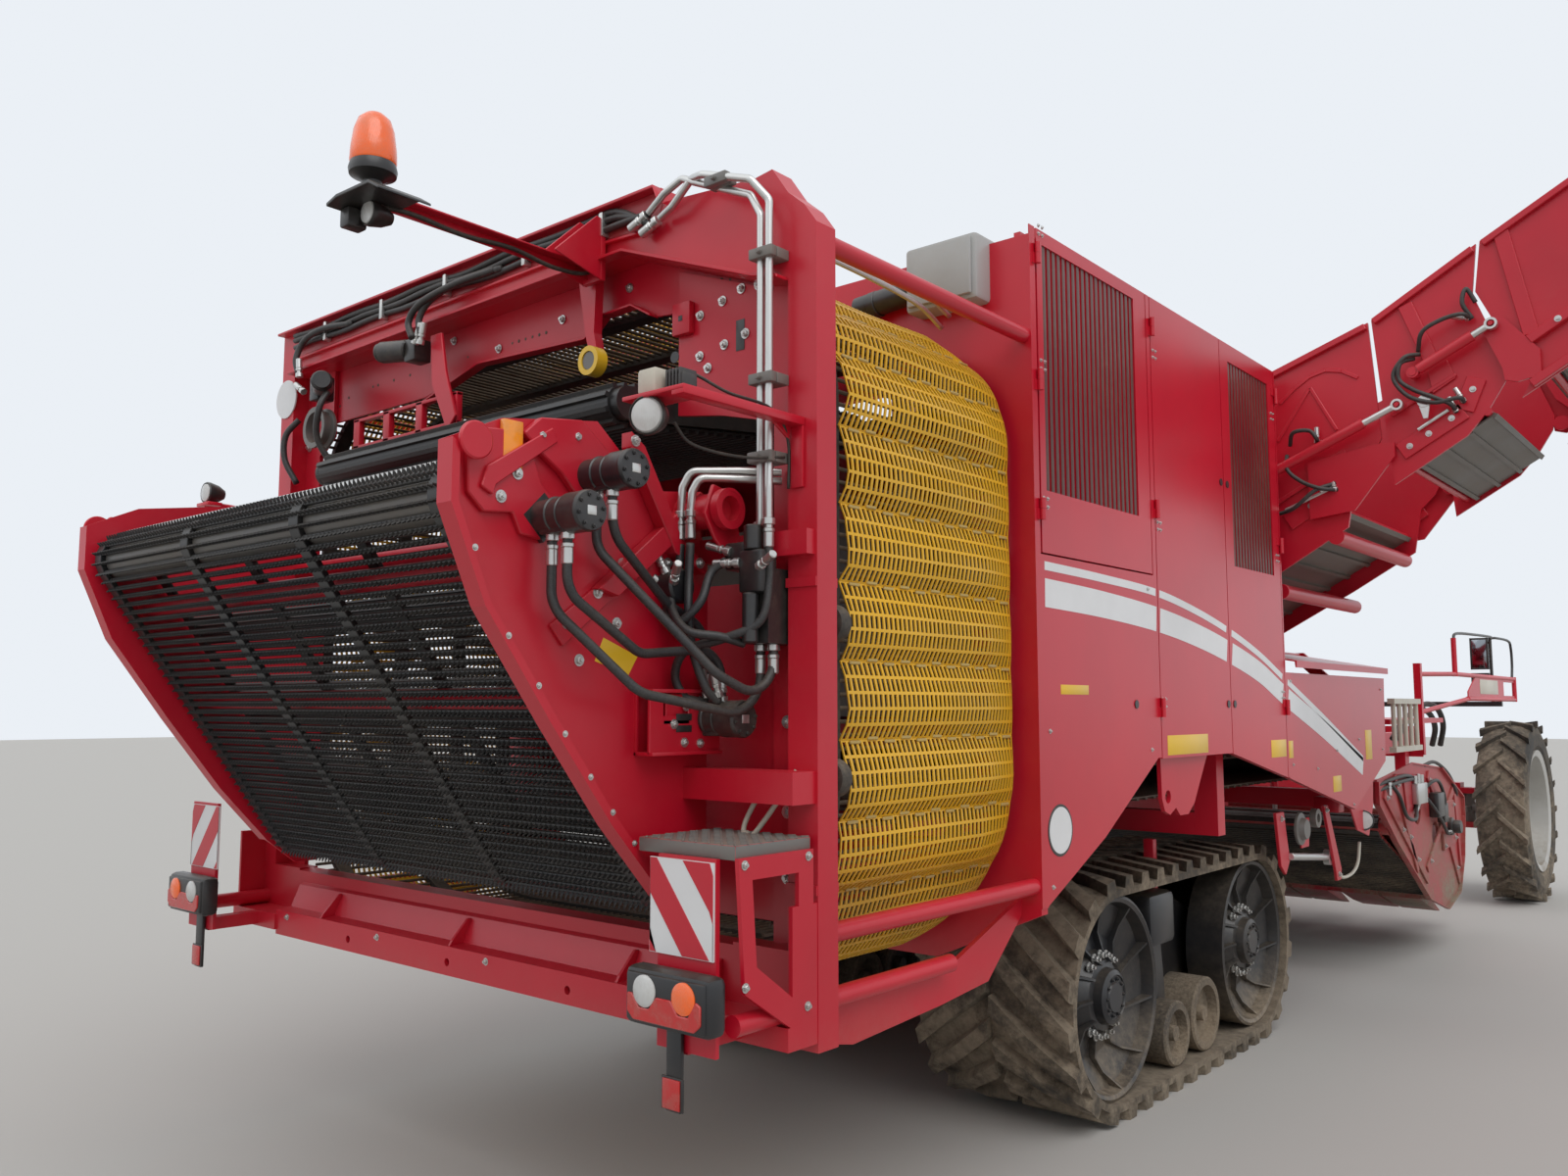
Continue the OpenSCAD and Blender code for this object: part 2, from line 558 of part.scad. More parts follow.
// A round tube along straight stretches with a bend at each corner
module tube_run(p, r, bend) {
    for (i = [0:len(p) - 2]) {
        d = unit(p[i + 1] - p[i]);
        bar(p[i] + d * (setback(p, i, bend) - lap(p, i)),
            p[i + 1] - d * (setback(p, i + 1, bend) - lap(p, i + 1)), r, 40);
    }
    for (i = [1:len(p) - 2]) {
        along = unit(p[i] - p[i - 1]);
        next = unit(p[i + 1] - p[i]);
        inward = unit(next - (next * along) * along);
        side = cross(-inward, along);
        centre = p[i] - along * setback(p, i, bend) + inward * bend;
        m = [for (k = [0:2]) [-inward[k], along[k], side[k], centre[k]]];
        multmatrix(concat(m, [[0, 0, 0, 1]])) rotate_extrude(angle = turn(p, i)) translate([bend, 0])
            circle(r = r + bend_over);
    }
}
module hydraulic_lines() {
    color(steel) for (p = pipe_runs) tube_run(p, 14, 45);
    // Clamps that hold both pipes to the flange
    color(steel) for (z = [3300, 3080, 2640])
        block([valve_x[0] + 7, -84, z], [valve_x[1] - 2, portal_y1 - plate - seat, z + 36]);
    color(black) for (p = hose_runs) tube_run(p, 17, 90);
}

// Side panels that stay closed: lower rear, low front, window posts; and the whole left side
panel_split = 2620;
panel_y0 = ring_front_y + 50 + seat;
panel_x = half_w - sheet;
low_front = [[4385, 1585], [4385, 2200], [6480, 2200], [6430, 1617], [5660, 1325]];
post_b = [2550, 2590];
post_c = [4362, 4380];
module fixed_panels() {
    prism_x(panel_x, half_w) {
        polygon([[panel_y0, 1210], [1980, 1440], [2550, 1760], [2550, panel_split], [panel_y0, panel_split]]);
        polygon([[post_b[0], 1760], [post_b[1], 1760], [post_b[1], panel_top], [post_b[0], panel_top]]);
        polygon(low_front);
    }
    // Rear strip over the ring frame's edge, which carries the rear door's hinges
    block([half_w - 5 + seat, ring_front_y, 1205], [half_w, hinge_rear_y - 1, panel_top]);
    block([half_w - 5 + seat, ring_front_y, 1205], [half_w, panel_y0 + 1, panel_split]);
    // Returns that tie the panels to the sills and the ring frame
    block([sill_x[1] + seat, 1470, sill_z[0]], [panel_x + 1, 2540, sill_z[1]]);
    block([sill_x[1] + seat, post_b[0], sill_z[0]], [panel_x + 1, post_b[1], sill_z[1]]);
    block([sill_x[1] + seat, 4400, sill_z[0]], [panel_x + 1, 6400, sill_z[1]]);
    // Inner upright behind the doors' meeting edges, and the front upright with its hinge post
    block([panel_x - 70, post_b[0], sill_z[1] + seat], [panel_x + 1, post_b[1], panel_top]);
    prism_x(panel_x, half_w) polygon([[post_c[0], 1590], [post_c[1], 1590], [post_c[1], panel_top],
        [post_c[0], panel_top]]);
    block([panel_x, post_c[0], 1590], [half_w, low_front[0][0] + 1, 2200]);
    block([panel_x - 70, post_c[0], sill_z[1] + seat], [panel_x + 1, post_c[1], panel_top]);
    // Top rail over the doors
    block([panel_x - 70, ring_front_y + 50 + seat, panel_top - 60], [panel_x - 40, post_c[1], panel_top]);
}
// Door outlines in y and z
vent_rear_out = [[panel_y0 + gap, panel_split + gap], [post_b[0] - gap, panel_split + gap],
    [post_b[0] - gap, panel_top], [panel_y0 + gap, panel_top]];
door_mid_y = [post_b[1] + gap, 3496];
vent_front_y = [3504, post_c[0] - gap];
module louvres(y0, y1, z0, z1, n) {
    pitch = (y1 - y0) / n;
    for (i = [0.5:1:n - 0.5])
        block([panel_x + 6, y0 + i * pitch - pitch * 0.3, z0 - 5],
            [half_w - 6, y0 + i * pitch + pitch * 0.3, z1 + 5]);
    for (k = [1:3]) let (z = z0 + k * (z1 - z0) / 4)
        block([panel_x + 2, y0 - 5, z - 6], [panel_x + 7, y1 + 5, z + 6]);
}
hinge_r = 12;
hinge_pin_r = 6;
hinge_h = 45;
module vent_rear_panel() {
    difference() {
        prism_x(panel_x, half_w) polygon(vent_rear_out);
        block([panel_x - 5, 1515, 2890], [half_w + 5, 2410, 3940]);
    }
    louvres(1515, 2410, 2890, 3940, 20);
}
module middle_panel() block([panel_x, door_mid_y[0], 1755], [half_w, door_mid_y[1], panel_top]);
module vent_front_panel() {
    difference() {
        prism_x(panel_x, half_w)
            polygon([[vent_front_y[0], 1753], [vent_front_y[0], panel_top], [vent_front_y[1], panel_top],
                [vent_front_y[1], 1590]]);
        block([panel_x - 5, 3620, 2760], [half_w + 5, 4250, 3900]);
    }
    louvres(3620, 4250, 2760, 3900, 14);
}
module side_panels() color(red) {
    both_sides() fixed_panels();
    mirror([1, 0, 0]) {
        vent_rear_panel();
        middle_panel();
        vent_front_panel();
        // Seams of the left side are closed by its frame
        block([panel_x, panel_y0, panel_split - 5], [half_w - 2, 2560, panel_split + gap + 5]);
        block([panel_x, panel_y0, panel_split - 5], [half_w - 2, panel_y0 + gap + 5, panel_top - 5]);
        block([panel_x, post_b[0] - gap - 5, 1760], [half_w - 2, post_b[1] + gap + 5, panel_top - 5]);
        block([panel_x, 3490, 1760], [half_w - 2, 3510, panel_top - 5]);
        block([panel_x, post_c[0] - gap - 5, 1600], [half_w - 2, post_c[1], panel_top - 5]);
    }
    // Fixed hinge halves with their pins: y of the axis, z of each, and which way the leaf goes
    for (h = hinges) hinge_fixed(h[0], h[1], h[2]);
}
// [axis y, z, side of the fixed leaf]
hinge_x = half_w + hinge_r + 2;
hinge_rear_y = 1455;
hinge_mid_y = post_b[1] + gap / 2;
hinge_front_y = post_c[0] - gap / 2;
hinges = [
    for (z = [2760, 3300, 3840]) [hinge_rear_y, z, -1],
    for (z = [1950, 2900, 3800]) [hinge_mid_y, z, -1],
    for (z = [1950, 2900, 3800]) [hinge_front_y, z, 1]
];
// A block from the hinge line to a distance d beside it
module beside(y, d, x0, x1, z0, z1) block([x0, min(y, y + d), z0], [x1, max(y, y + d), z1]);
module hinge_fixed(y, z, s) {
    rod_z(hinge_r, z, z + hinge_h, hinge_x, y);
    rod_z(hinge_pin_r, z, z + 2 * hinge_h, hinge_x, y);
    beside(y, s * 26, half_w - 1, half_w + 5, z, z + hinge_h);
    beside(y, s * 8, half_w, hinge_x, z, z + hinge_h);
}
module hinge_moving(y, z, s) difference() {
    union() {
        rod_z(hinge_r, z + hinge_h + 1, z + 2 * hinge_h, hinge_x, y);
        beside(y, -s * 8, half_w, hinge_x, z + hinge_h + 1, z + 2 * hinge_h);
        beside(y, -s * 50, half_w - 1, half_w + 5, z + hinge_h + 1, z + 2 * hinge_h);
    }
    rod_z(hinge_pin_r + run_fit, z, z + 3 * hinge_h, hinge_x, y);
}
module door_vent_rear() color(red) {
    vent_rear_panel();
    for (h = hinges) if (h[0] == hinge_rear_y) hinge_moving(h[0], h[1], h[2]);
}
module door_middle() color(red) {
    middle_panel();
    for (h = hinges) if (h[0] == hinge_mid_y) hinge_moving(h[0], h[1], h[2]);
}
module door_vent_front() color(red) {
    vent_front_panel();
    for (h = hinges) if (h[0] == hinge_front_y) hinge_moving(h[0], h[1], h[2]);
}
// Sloping lid over the low front panel, hinged at its inner edge
lid_x = [half_w - 570, half_w + 40];
lid_z = 2380;
lid_pin_r = 8;
module front_lid() color(red)
    difference() {
        union() {
            prism_y(4460, 6440) polygon([[lid_x[0], lid_z], [lid_x[1], lid_z - 110], [lid_x[1], lid_z - 150],
                [lid_x[1] - 8, lid_z - 150], [lid_x[1] - 12, lid_z - 116], [lid_x[0], lid_z - 8]]);
            rod_y(14, 4460, 6440, lid_x[0], lid_z);
        }
        rod_y(lid_pin_r + run_fit, 4400, 6500, lid_x[0], lid_z);
    }

module engine_block() color("dimgray") block([-900, 1900, engine_z], [900, 3500, engine_z + 1000]);
module cooler_box() color("gray") {
    block([deck_half - 940, 1900, deck_z + 40 + seat], [deck_half - 140, 2300, 4060]);
    rod_y(70, 2299, 3300, deck_half - 490, 3900);
}
module top_deck() color(red) {
    block([-deck_half, ring_front_y + 50 + seat, deck_z], [deck_half, deck_y1, deck_z + 40]);
    both_sides()
        block([deck_half - 40, ring_front_y + 50 + seat, deck_z + 39], [deck_half, deck_y1, 3900]);
    // Stays between the sills and the deck
    both_sides() for (y = [1700, 3000, 4200])
        block([sill_x[0] + 2, y - 30, sill_z[1] + seat], [sill_x[0] + 62, y + 30, deck_z + 1]);
}
deck_z = 3250;
deck_half = half_w - 110;
deck_y1 = 4355;

// Sieve web between the digging unit and the ring
sieve_y = [1630, 6090];
sieve_z = 1610;
sieve_r = 90;
sieve_half = sill_x[0] - 160;
module sieve_web() color(black) {
    prism_x(-sieve_half, sieve_half) translate([sieve_y[0], sieve_z]) difference() {
        polygon(belt_outline(90, sieve_y[1] - sieve_y[0], sieve_r,
            [[0, -4], [0.35, -4], [0.4, 8], [0.6, 8], [0.65, -4]]));
        stadium(sieve_y[1] - sieve_y[0], sieve_r - 12);
    }
}

// Side plates of the bunker and the boom, drawn in x and z
base_x = half_w - 50;
module base_profile() polygon([[-base_x, 2050], [350, 2050], [1700, 2800], [1950, 2950], [2100, 3040],
    [2150, 3330], [2240, 3420], [2300, 3540], [2255, 4230], [1700, 4030], [600, 3630],
    [-base_x, 3630]]);
module mid_profile() polygon([[2345, 3420], [2360, 3260], [2740, 3490], [2850, 3620], [2935, 3760],
    [2950, 3850], [2800, 4280], [2830, 4560], [2275, 4240], [2330, 3560]]);
// Slope of the tip's underside
tip_low = [3010, 3660];
tip_slope = tan(31);
function tip_under(x) = tip_low[1] + (x - tip_low[0]) * tip_slope;
module tip_profile() polygon([tip_low, [tip_end_x, tip_under(tip_end_x)],
    [tip_end_x, tip_under(tip_end_x) + 800],
    [tip_end_x - 120, tip_under(tip_end_x) + 850], [2850, 4570], [2815, 4290], [2960, 3960], [3050, 3870],
    [3050, 3730]]);
module tip_cheek() polygon([[2850, 4110], [2940, 4120], [3110, 3900], [3110, 3760], [3000, 3740],
    [2940, 3760],
    [2930, 3830], [2850, 4040]]);
module wall_pair(y0, y1, t) {
    prism_y(y0, y0 + t) children();
    prism_y(y1 - t, y1) children();
}
module eye(x, z, y0, y1, r, bore) difference() {
    rod_y(r, y0, y1, x, z);
    rod_y(bore, y0 - 1, y1 + 1, x, z);
}
boom_bore = boom_pin_r + run_fit;
fold_foot = [1640, 3370];
fold_eye = [2410, 3700];
tip_foot = [2500, 3870];
tip_eye = [2896, 4071];
cyl_pin_r = 20;
// Pin in the rod's eye, with the play that the straight-line follow of the rod needs
eye_pin_r = 12;
eye_play = 8;
// Middle of the cylinders beside the walls
cyl_off = 78;
barrel_r = 30;
cyl_eye_r = 32;
// Both outer sides of the walls: [wall face, outward direction]
faces = [[boom_y0, -1], [boom_y1, 1]];
// Between two distances outward from a wall's face
module outward(f, a, b) {
    y0 = min(f[0] + f[1] * a, f[0] + f[1] * b);
    y1 = max(f[0] + f[1] * a, f[0] + f[1] * b);
    prism_y(y0, y1) children();
}
module disc_at(p, r) translate([p[0], p[1]]) circle(r = r);
module bunker_body() color(red) {
    difference() {
        wall_pair(boom_y0, boom_y1, plate) base_profile();
        for (f = faces) outward(f, -40, 40) disc_at([hinge1_x, hinge1_z], 60);
    }
    block([-base_x, boom_y0 + 1, 2050], [20 - base_x, boom_y1 - 1, 3630]);
    for (f = faces) {
        // Hinge cheek outside the wall, its spacer and the pin
        outward(f, 20, 20 + plate) polygon([[1900, 3100], [1900, 3440], [hinge1_x - 45, hinge1_z + 40],
            [hinge1_x + 45, hinge1_z + 40], [hinge1_x + 45, hinge1_z - 40], [2150, 3130]]);
        outward(f, -1, 21) translate([1920, 3120]) square([150, 300]);
        outward(f, -30, 20 + plate) disc_at([hinge1_x, hinge1_z], boom_pin_r);
        // Pin of the folding cylinder
        outward(f, -1, cyl_off + 25) disc_at(fold_foot, cyl_pin_r);
    }
    // Cross tubes and the shafts of the floors
    rod_y(45, boom_y0 + 1, boom_y1 - 1, 2030, 2990);
    for (p = [base_floor[0], base_floor[1], low_floor[0], low_floor[1]])
        rod_y(floor_t / 2 - 12 - seat, boom_y0 + 1, boom_y1 - 1, p[0], p[1]);
    // Feet on the cross members
    for (x = [-1100, 1100], y = [4540, 5910])
        block([x - 40, y, sill_z[1] - 10 + seat], [x + 40, y + 80, x < 0 ? 2051 : foot_top]);
    for (y = [4540, 5910]) block([1060, y < 5000 ? boom_y0 + 1 : y, foot_top - 60],
        [1140, y < 5000 ? y + 80 : boom_y1 - 1, foot_top]);
    for (y = [4540, 5910]) block([-1140, y < 5000 ? boom_y0 + 1 : y, 2050],
        [-1060, y < 5000 ? y + 80 : boom_y1 - 1, 2080]);
}
foot_top = 2500;
base_floor = [[400, 2215], [2040, 3150]];
low_floor = [[100 - base_x, 2160], [255, 2160]];
// A slatted floor along a line of points in x and z, between the walls
module floor_run(a, b, n) {
    d = norm(b - a);
    translate([a[0], 0, a[1]]) rotate([0, -atan2(b[1] - a[1], b[0] - a[0]), 0])
        prism_y(boom_y0 + plate + 15, boom_y1 - plate - 15) difference() {
            polygon(belt_outline(n, d, floor_t / 2, [[0, -3], [0.8, -3], [0.82, 12], [0.98, 12]]));
            stadium(d, floor_t / 2 - 12);
        }
}
module bunker_floor() color("dimgray") {
    floor_run(base_floor[0], base_floor[1], 26);
    floor_run(low_floor[0], low_floor[1], 26);
}
mid_floor = [[2430, 3370], [2840, 3610]];
tip_floor = [[3110, tip_under(3110) + 150], [tip_end_x - 120, tip_under(tip_end_x - 120) + 150]];
module boom_mid() color(red) {
    difference() {
        union() {
            wall_pair(boom_y0, boom_y1, plate) {
                mid_profile();
                disc_at([hinge1_x, hinge1_z], 46);
                disc_at([hinge2_x, hinge2_z], 46);
            }
        }
        for (f = faces) outward(f, -plate - 5, 5) disc_at([hinge1_x, hinge1_z], boom_bore);
    }
    for (f = faces) {
        outward(f, -plate, 20 + plate) disc_at([hinge2_x, hinge2_z], boom_pin_r);
        outward(f, -1, cyl_off + 25) disc_at(fold_eye, eye_pin_r);
        outward(f, -1, cyl_off + 25) disc_at(tip_foot, cyl_pin_r);
    }
    for (p = mid_floor) rod_y(floor_t / 2 - 12 - seat, boom_y0 + 1, boom_y1 - 1, p[0], p[1]);
}
module boom_mid_floor() color("dimgray") floor_run(mid_floor[0], mid_floor[1], 8);
module boom_tip() color(red) {
    wall_pair(boom_y0, boom_y1, plate) tip_profile();
    for (f = faces) {
        difference() {
            outward(f, 20, 20 + plate) tip_cheek();
            outward(f, 10, 50) disc_at([hinge2_x, hinge2_z], boom_bore);
        }
        outward(f, -1, 21) translate([3062, 3780]) square([46, 130]);
        outward(f, 20, cyl_off + 25) disc_at(tip_eye, eye_pin_r);
    }
    for (x = [3600, tip_end_x - 120]) rod_y(38, boom_y0 + 1, boom_y1 - 1, x, tip_under(x) + 45);
    for (p = tip_floor) rod_y(floor_t / 2 - 12 - seat, boom_y0 + 1, boom_y1 - 1, p[0], p[1]);
}
module boom_tip_floor() color("dimgray") floor_run(tip_floor[0], tip_floor[1], 22);

ram_r = 19;
// Cylinders beside the walls: barrel on its foot, rod with its eye, l0 from pin to pin
module barrel(a, b, l, y) translate([a[0], y, a[1]]) rotate([0, -atan2(b[1] - a[1], b[0] - a[0]), 0]) {
    difference() {
        union() {
            rod_y(cyl_eye_r, -20, 20, 0, 0);
            translate([30, 0, 0]) rotate([0, 90, 0]) cylinder(r = barrel_r, h = l - 30);
        }
        rod_y(cyl_pin_r + run_fit, -50, 50, 0, 0);
        translate([60, 0, 0]) rotate([0, 90, 0]) cylinder(r = ram_r + run_fit, h = l);
    }
}
module ram(a, b, l, y) translate([b[0], y, b[1]]) rotate([0, -atan2(b[1] - a[1], b[0] - a[0]), 0]) {
    difference() {
        union() {
            rod_y(cyl_eye_r, -20, 20, 0, 0);
            translate([-l, 0, 0]) rotate([0, 90, 0]) cylinder(r = ram_r, h = l);
        }
        rod_y(eye_pin_r + eye_play, -50, 50, 0, 0);
    }
}
cyl_y = [boom_y0 - cyl_off, boom_y1 + cyl_off];
module fold_barrels() color(red) for (y = cyl_y) barrel(fold_foot, fold_eye, 640, y);
module fold_rods() color(steel) for (y = cyl_y) ram(fold_foot, fold_eye, 560, y);
module tip_barrels() color(red) for (y = cyl_y) barrel(tip_foot, tip_eye, 340, y);
module tip_rods() color(steel) for (y = cyl_y) ram(tip_foot, tip_eye, 320, y);
// Lift cylinders of the digging unit, beside the neck
module lift_barrels() color(red) both_sides()
    translate([lift_x, 0, 0]) rotate(90) barrel(lift_foot, lift_eye, 400, 0);
module lift_rods() color(steel) both_sides()
    translate([lift_x, 0, 0]) rotate(90) ram(lift_foot, lift_eye, 350, 0);

// Cab: hollow shell with its window and door openings
pillar = 90;
sill_h = 620;
window_top = cab_z1 - 170;
door_y0 = cab_y0 + 560;
door_y1 = cab_y1 - 180;
module cab_side_profile() polygon([[cab_y0, cab_z0], [cab_y0, cab_z1 - 60], [cab_y0 + 120, cab_z1],
    [cab_y1 - 60, cab_z1], [cab_y1 + 90, cab_z1 - 120], [cab_y1, cab_z0]]);
module cab_shell() color(red) {
    for (z = cab_hinges) {
        rod_z(14, z, z + 60, cab_hinge_x, cab_hinge_y);
        rod_z(cab_pin_r, z, z + 120, cab_hinge_x, cab_hinge_y);
        block([cab_x1 - 1, cab_hinge_y - 60, z], [cab_hinge_x, cab_hinge_y, z + 60]);
    }
    cab_body();
}
module cab_body() difference() {
    prism_x(cab_x0, cab_x1) cab_side_profile();
    // Inside
    prism_x(cab_x0 + cab_wall, cab_x1 - cab_wall) offset(delta = -cab_wall) cab_side_profile();
    // Windscreen and rear window
    block([cab_x0 + pillar, cab_y1 - 300, cab_z0 + sill_h], [cab_x1 - pillar, cab_y1 + 200, window_top]);
    block([cab_x0 + pillar, cab_y0 - 50, cab_z0 + sill_h + 100],
        [cab_x1 - pillar, cab_y0 + cab_wall + 1, window_top]);
    // Left side windows
    block([cab_x0 - 50, cab_y0 + pillar + 40, cab_z0 + sill_h],
        [cab_x0 + cab_wall + 1, door_y0 - 60, window_top]);
    block([cab_x0 - 50, door_y0, cab_z0 + sill_h], [cab_x0 + cab_wall + 1, door_y1, window_top]);
    // Door opening and right rear window
    block([cab_x1 - cab_wall - 1, door_y0, cab_z0 + cab_wall + 40], [cab_x1 + 50, door_y1, window_top + 30]);
    block([cab_x1 - cab_wall - 1, cab_y0 + pillar + 40, cab_z0 + sill_h],
        [cab_x1 + 50, door_y0 - 60, window_top]);
}
glass_t = 8;
module pane_x(x, y0, y1, z0, z1) block([x, y0 + seat, z0 + seat], [x + glass_t, y1 - seat, z1 - seat]);
module cab_glass() color("lightblue", 0.5) {
    block([cab_x0 + pillar + seat, cab_y0 + 20, cab_z0 + sill_h + 100 + seat],
        [cab_x1 - pillar - seat, cab_y0 + 20 + glass_t, window_top - seat]);
    // The windscreen follows the front's slope
    slope = (window_top - cab_z0 - sill_h) * 90 / (cab_z1 - 120 - cab_z0);
    y_low = cab_y1 + sill_h * 90 / (cab_z1 - 120 - cab_z0);
    prism_x(cab_x0 + pillar + seat, cab_x1 - pillar - seat)
        polygon([[y_low - 30, cab_z0 + sill_h + seat], [y_low - 30 + glass_t, cab_z0 + sill_h + seat],
            [y_low + slope - 30 + glass_t, window_top - seat], [y_low + slope - 30, window_top - seat]]);
    for (y = [[cab_y0 + pillar + 40, door_y0 - 60], [door_y0, door_y1]])
        pane_x(cab_x0 + 20, y[0], y[1], cab_z0 + sill_h, window_top);
    pane_x(cab_x1 - 20 - glass_t, cab_y0 + pillar + 40, door_y0 - 60, cab_z0 + sill_h, window_top);
}
cab_pin_r = 8;
cab_hinge_x = cab_x1 + 18;
cab_hinge_y = door_y0 - 12;
cab_hinges = [cab_z0 + 300, window_top - 350];
door_frame = 55;
module cab_door_panel() difference() {
    block([cab_x1 - cab_wall, door_y0 + gap, cab_z0 + cab_wall + 40 + gap],
        [cab_x1, door_y1 - gap, window_top + 30 - gap]);
    block([cab_x1 - cab_wall - 1, door_y0 + gap + door_frame, cab_z0 + sill_h],
        [cab_x1 + 1, door_y1 - gap - door_frame, window_top + 30 - gap - door_frame]);
}
module cab_door() color(red) {
    cab_door_panel();
    for (z = cab_hinges) difference() {
        union() {
            rod_z(14, z + 61, z + 120, cab_hinge_x, cab_hinge_y);
            block([cab_x1 + seat, cab_hinge_y, z + 61], [cab_hinge_x, cab_hinge_y + 60, z + 120]);
            block([cab_x1 - 1, door_y0 + gap + 1, z + 61], [cab_hinge_x, cab_hinge_y + 60, z + 120]);
        }
        rod_z(cab_pin_r + run_fit, z, z + 140, cab_hinge_x, cab_hinge_y);
    }
    // Handle
    bar([cab_x1 + 40, door_y1 - 60, cab_z0 + 500], [cab_x1 + 40, door_y1 - 60, cab_z0 + 1100], 14);
    for (z = [500, 1100])
        bar([cab_x1 - 5, door_y1 - 60, cab_z0 + z], [cab_x1 + 40, door_y1 - 60, cab_z0 + z], 12);
}
module cab_door_glass() color("lightblue", 0.5)
    pane_x(cab_x1 - 30, door_y0 + gap + door_frame, door_y1 - gap - door_frame, cab_z0 + sill_h,
        window_top + 30 - gap - door_frame);
module cab_seat() color("dimgray") {
    mid_x = (cab_x0 + cab_x1) / 2;
    f = cab_z0 + cab_wall + seat;
    block([mid_x - 140, 7900, f], [mid_x + 140, 8200, f + 330]);
    block([mid_x - 260, 7780, f + 329], [mid_x + 260, 8330, f + 450]);
    prism_x(mid_x - 240, mid_x + 240)
        polygon([[7790, f + 449], [7900, f + 449], [7800, f + 1100], [7690, f + 1100]]);
    // Console and steering column
    block([mid_x + 320, 7800, f], [mid_x + 480, 8500, f + 620]);
    prism_x(mid_x - 60, mid_x + 60) polygon([[8620, f], [8760, f], [8640, f + 720], [8560, f + 720]]);
    translate([mid_x, 8580, f + 740]) rotate([25, 0, 0]) rotate_extrude() translate([190, 0]) circle(r = 16);
    translate([mid_x, 8580, f + 740]) rotate([25, 0, 0]) {
        translate([0, 0, -50]) cylinder(r = 30, h = 60);
        for (a = [0, 120, 240]) rotate(a) translate([0, -12, -8]) cube([190, 24, 12]);
    }
}

// Platform beside the cab with its rails, carried on the neck
plat_x = [cab_x1 + 20, 1560];
plat_z = 1860;
post_y = 8200;
mirror_y = 11180;
arm_z = [2000, 2050];
guard_x = 1640;
guard_r = 20;
guard_z = arm_z[1] + seat + guard_r;
guard_top = 2290;
// Where the guard's rear and front uprights stand, and the sleeve on its lower tube
guard_y = [9270, 12000];
sleeve_y = 9750;
module platform() color(red) {
    block([plat_x[0], cab_y0, plat_z], [plat_x[1], cab_y1, plat_z + 40]);
    block([cab_x0 + 100, cab_y0 + 20, plat_z], [plat_x[0] + 1, cab_y1 - 20, plat_z + 40 - seat]);
    // Legs down to the neck's rails
    for (s = [-1, 1], y = [cab_y0 + 200, cab_y1 - 300])
        block([s * (rail_x + rail_w / 2) - 40, y, neck_z[1] + seat],
            [s * (rail_x + rail_w / 2) + 40, y + 90, plat_z + 1]);
    // Post at the platform's edge, and the guard tubes that run forward from it over the tyre
    block([plat_x[1] - 15, post_y, 1600], [plat_x[1] + 40, post_y + 60, 2360]);
    post = [plat_x[1] + 14, post_y + 30, 0];
    bar(post + [0, 0, guard_top - 20], [guard_x, guard_y[0], guard_top], guard_r);
    rod_y(guard_r, guard_y[0], guard_y[1], guard_x, guard_top);
    bar(post + [0, 0, 1950], [guard_x, sleeve_y, guard_z], guard_r);
    rod_y(guard_r, sleeve_y, guard_y[1], guard_x, guard_z);
    rod_y(guard_r + 2, sleeve_y - 25, sleeve_y + 25, guard_x, guard_z);
    // Its uprights
    rod_z(guard_r + 2, guard_top - 21, guard_top + 325, guard_x, guard_y[0]);
    rod_z(guard_r + 2, guard_z - 21, guard_top + 21, guard_x, guard_y[1]);
}
// Ladder stored along the side
ladder_y = 6900;
rung_step = 165;
module ladder() color(steel) {
    for (z = [1660, 2020]) block([1660, ladder_y, z], [1710, ladder_y + 780, z + 40]);
    for (y = [60:rung_step:60 + 4 * rung_step]) rod_z(17, 1695, 2025, 1685, ladder_y + y);
    // Its brackets, from the platform's edge to the last two rungs
    for (y = [60 + 3 * rung_step, 60 + 4 * rung_step])
        block([plat_x[1] + seat, ladder_y + y - 20, plat_z + 5], [1685, ladder_y + y + 20, plat_z + 35]);
}

// Front axle: beam, king pin forks
pin_r = 35;
wheel_z = tyre_r;
fork_z = [wheel_z - 150, wheel_z + 150];
module front_axle() color(red) {
    difference() {
        union() {
            block([-kingpin_x + 60, axle_y - 90, wheel_z + 60], [kingpin_x - 60, axle_y + 90, wheel_z + 260]);
            both_sides() for (z = [fork_z[0] - 60, fork_z[1] + 0.5])
                block([kingpin_x - 130, axle_y - 90, z], [kingpin_x + 70, axle_y + 90, z + 60]);
            both_sides() block([kingpin_x - 200, axle_y - 90, fork_z[0] - 60],
                [kingpin_x - 125, axle_y + 90, fork_z[1] + 60]);
        }
        both_sides() rod_z(pin_r + run_fit, fork_z[0] - 100, fork_z[1] + 100, kingpin_x, axle_y);
    }
    // Pedestals up to the neck
    both_sides() block([rail_x, axle_y - 80, wheel_z + 259],
        [rail_x + rail_w, axle_y + 80, neck_z[0] - seat]);
}
module knuckle() {
    rod_z(pin_r, fork_z[0] - 58, fork_z[1] + 58, kingpin_x, axle_y);
    rod_z(54, fork_z[0] + seat, fork_z[1] - seat, kingpin_x, axle_y);
    rod_x(52, kingpin_x, wheel_x - 112, axle_y, wheel_z);
    rod_x(48, wheel_x - 120, wheel_x + 20, axle_y, wheel_z);
    // Steering arm
    block([kingpin_x - 30, axle_y - 260, wheel_z - 30], [kingpin_x + 30, axle_y - 50, wheel_z + 20]);
}
module knuckle_right() color("dimgray") knuckle();
module knuckle_left() color("dimgray") mirror([1, 0, 0]) knuckle();

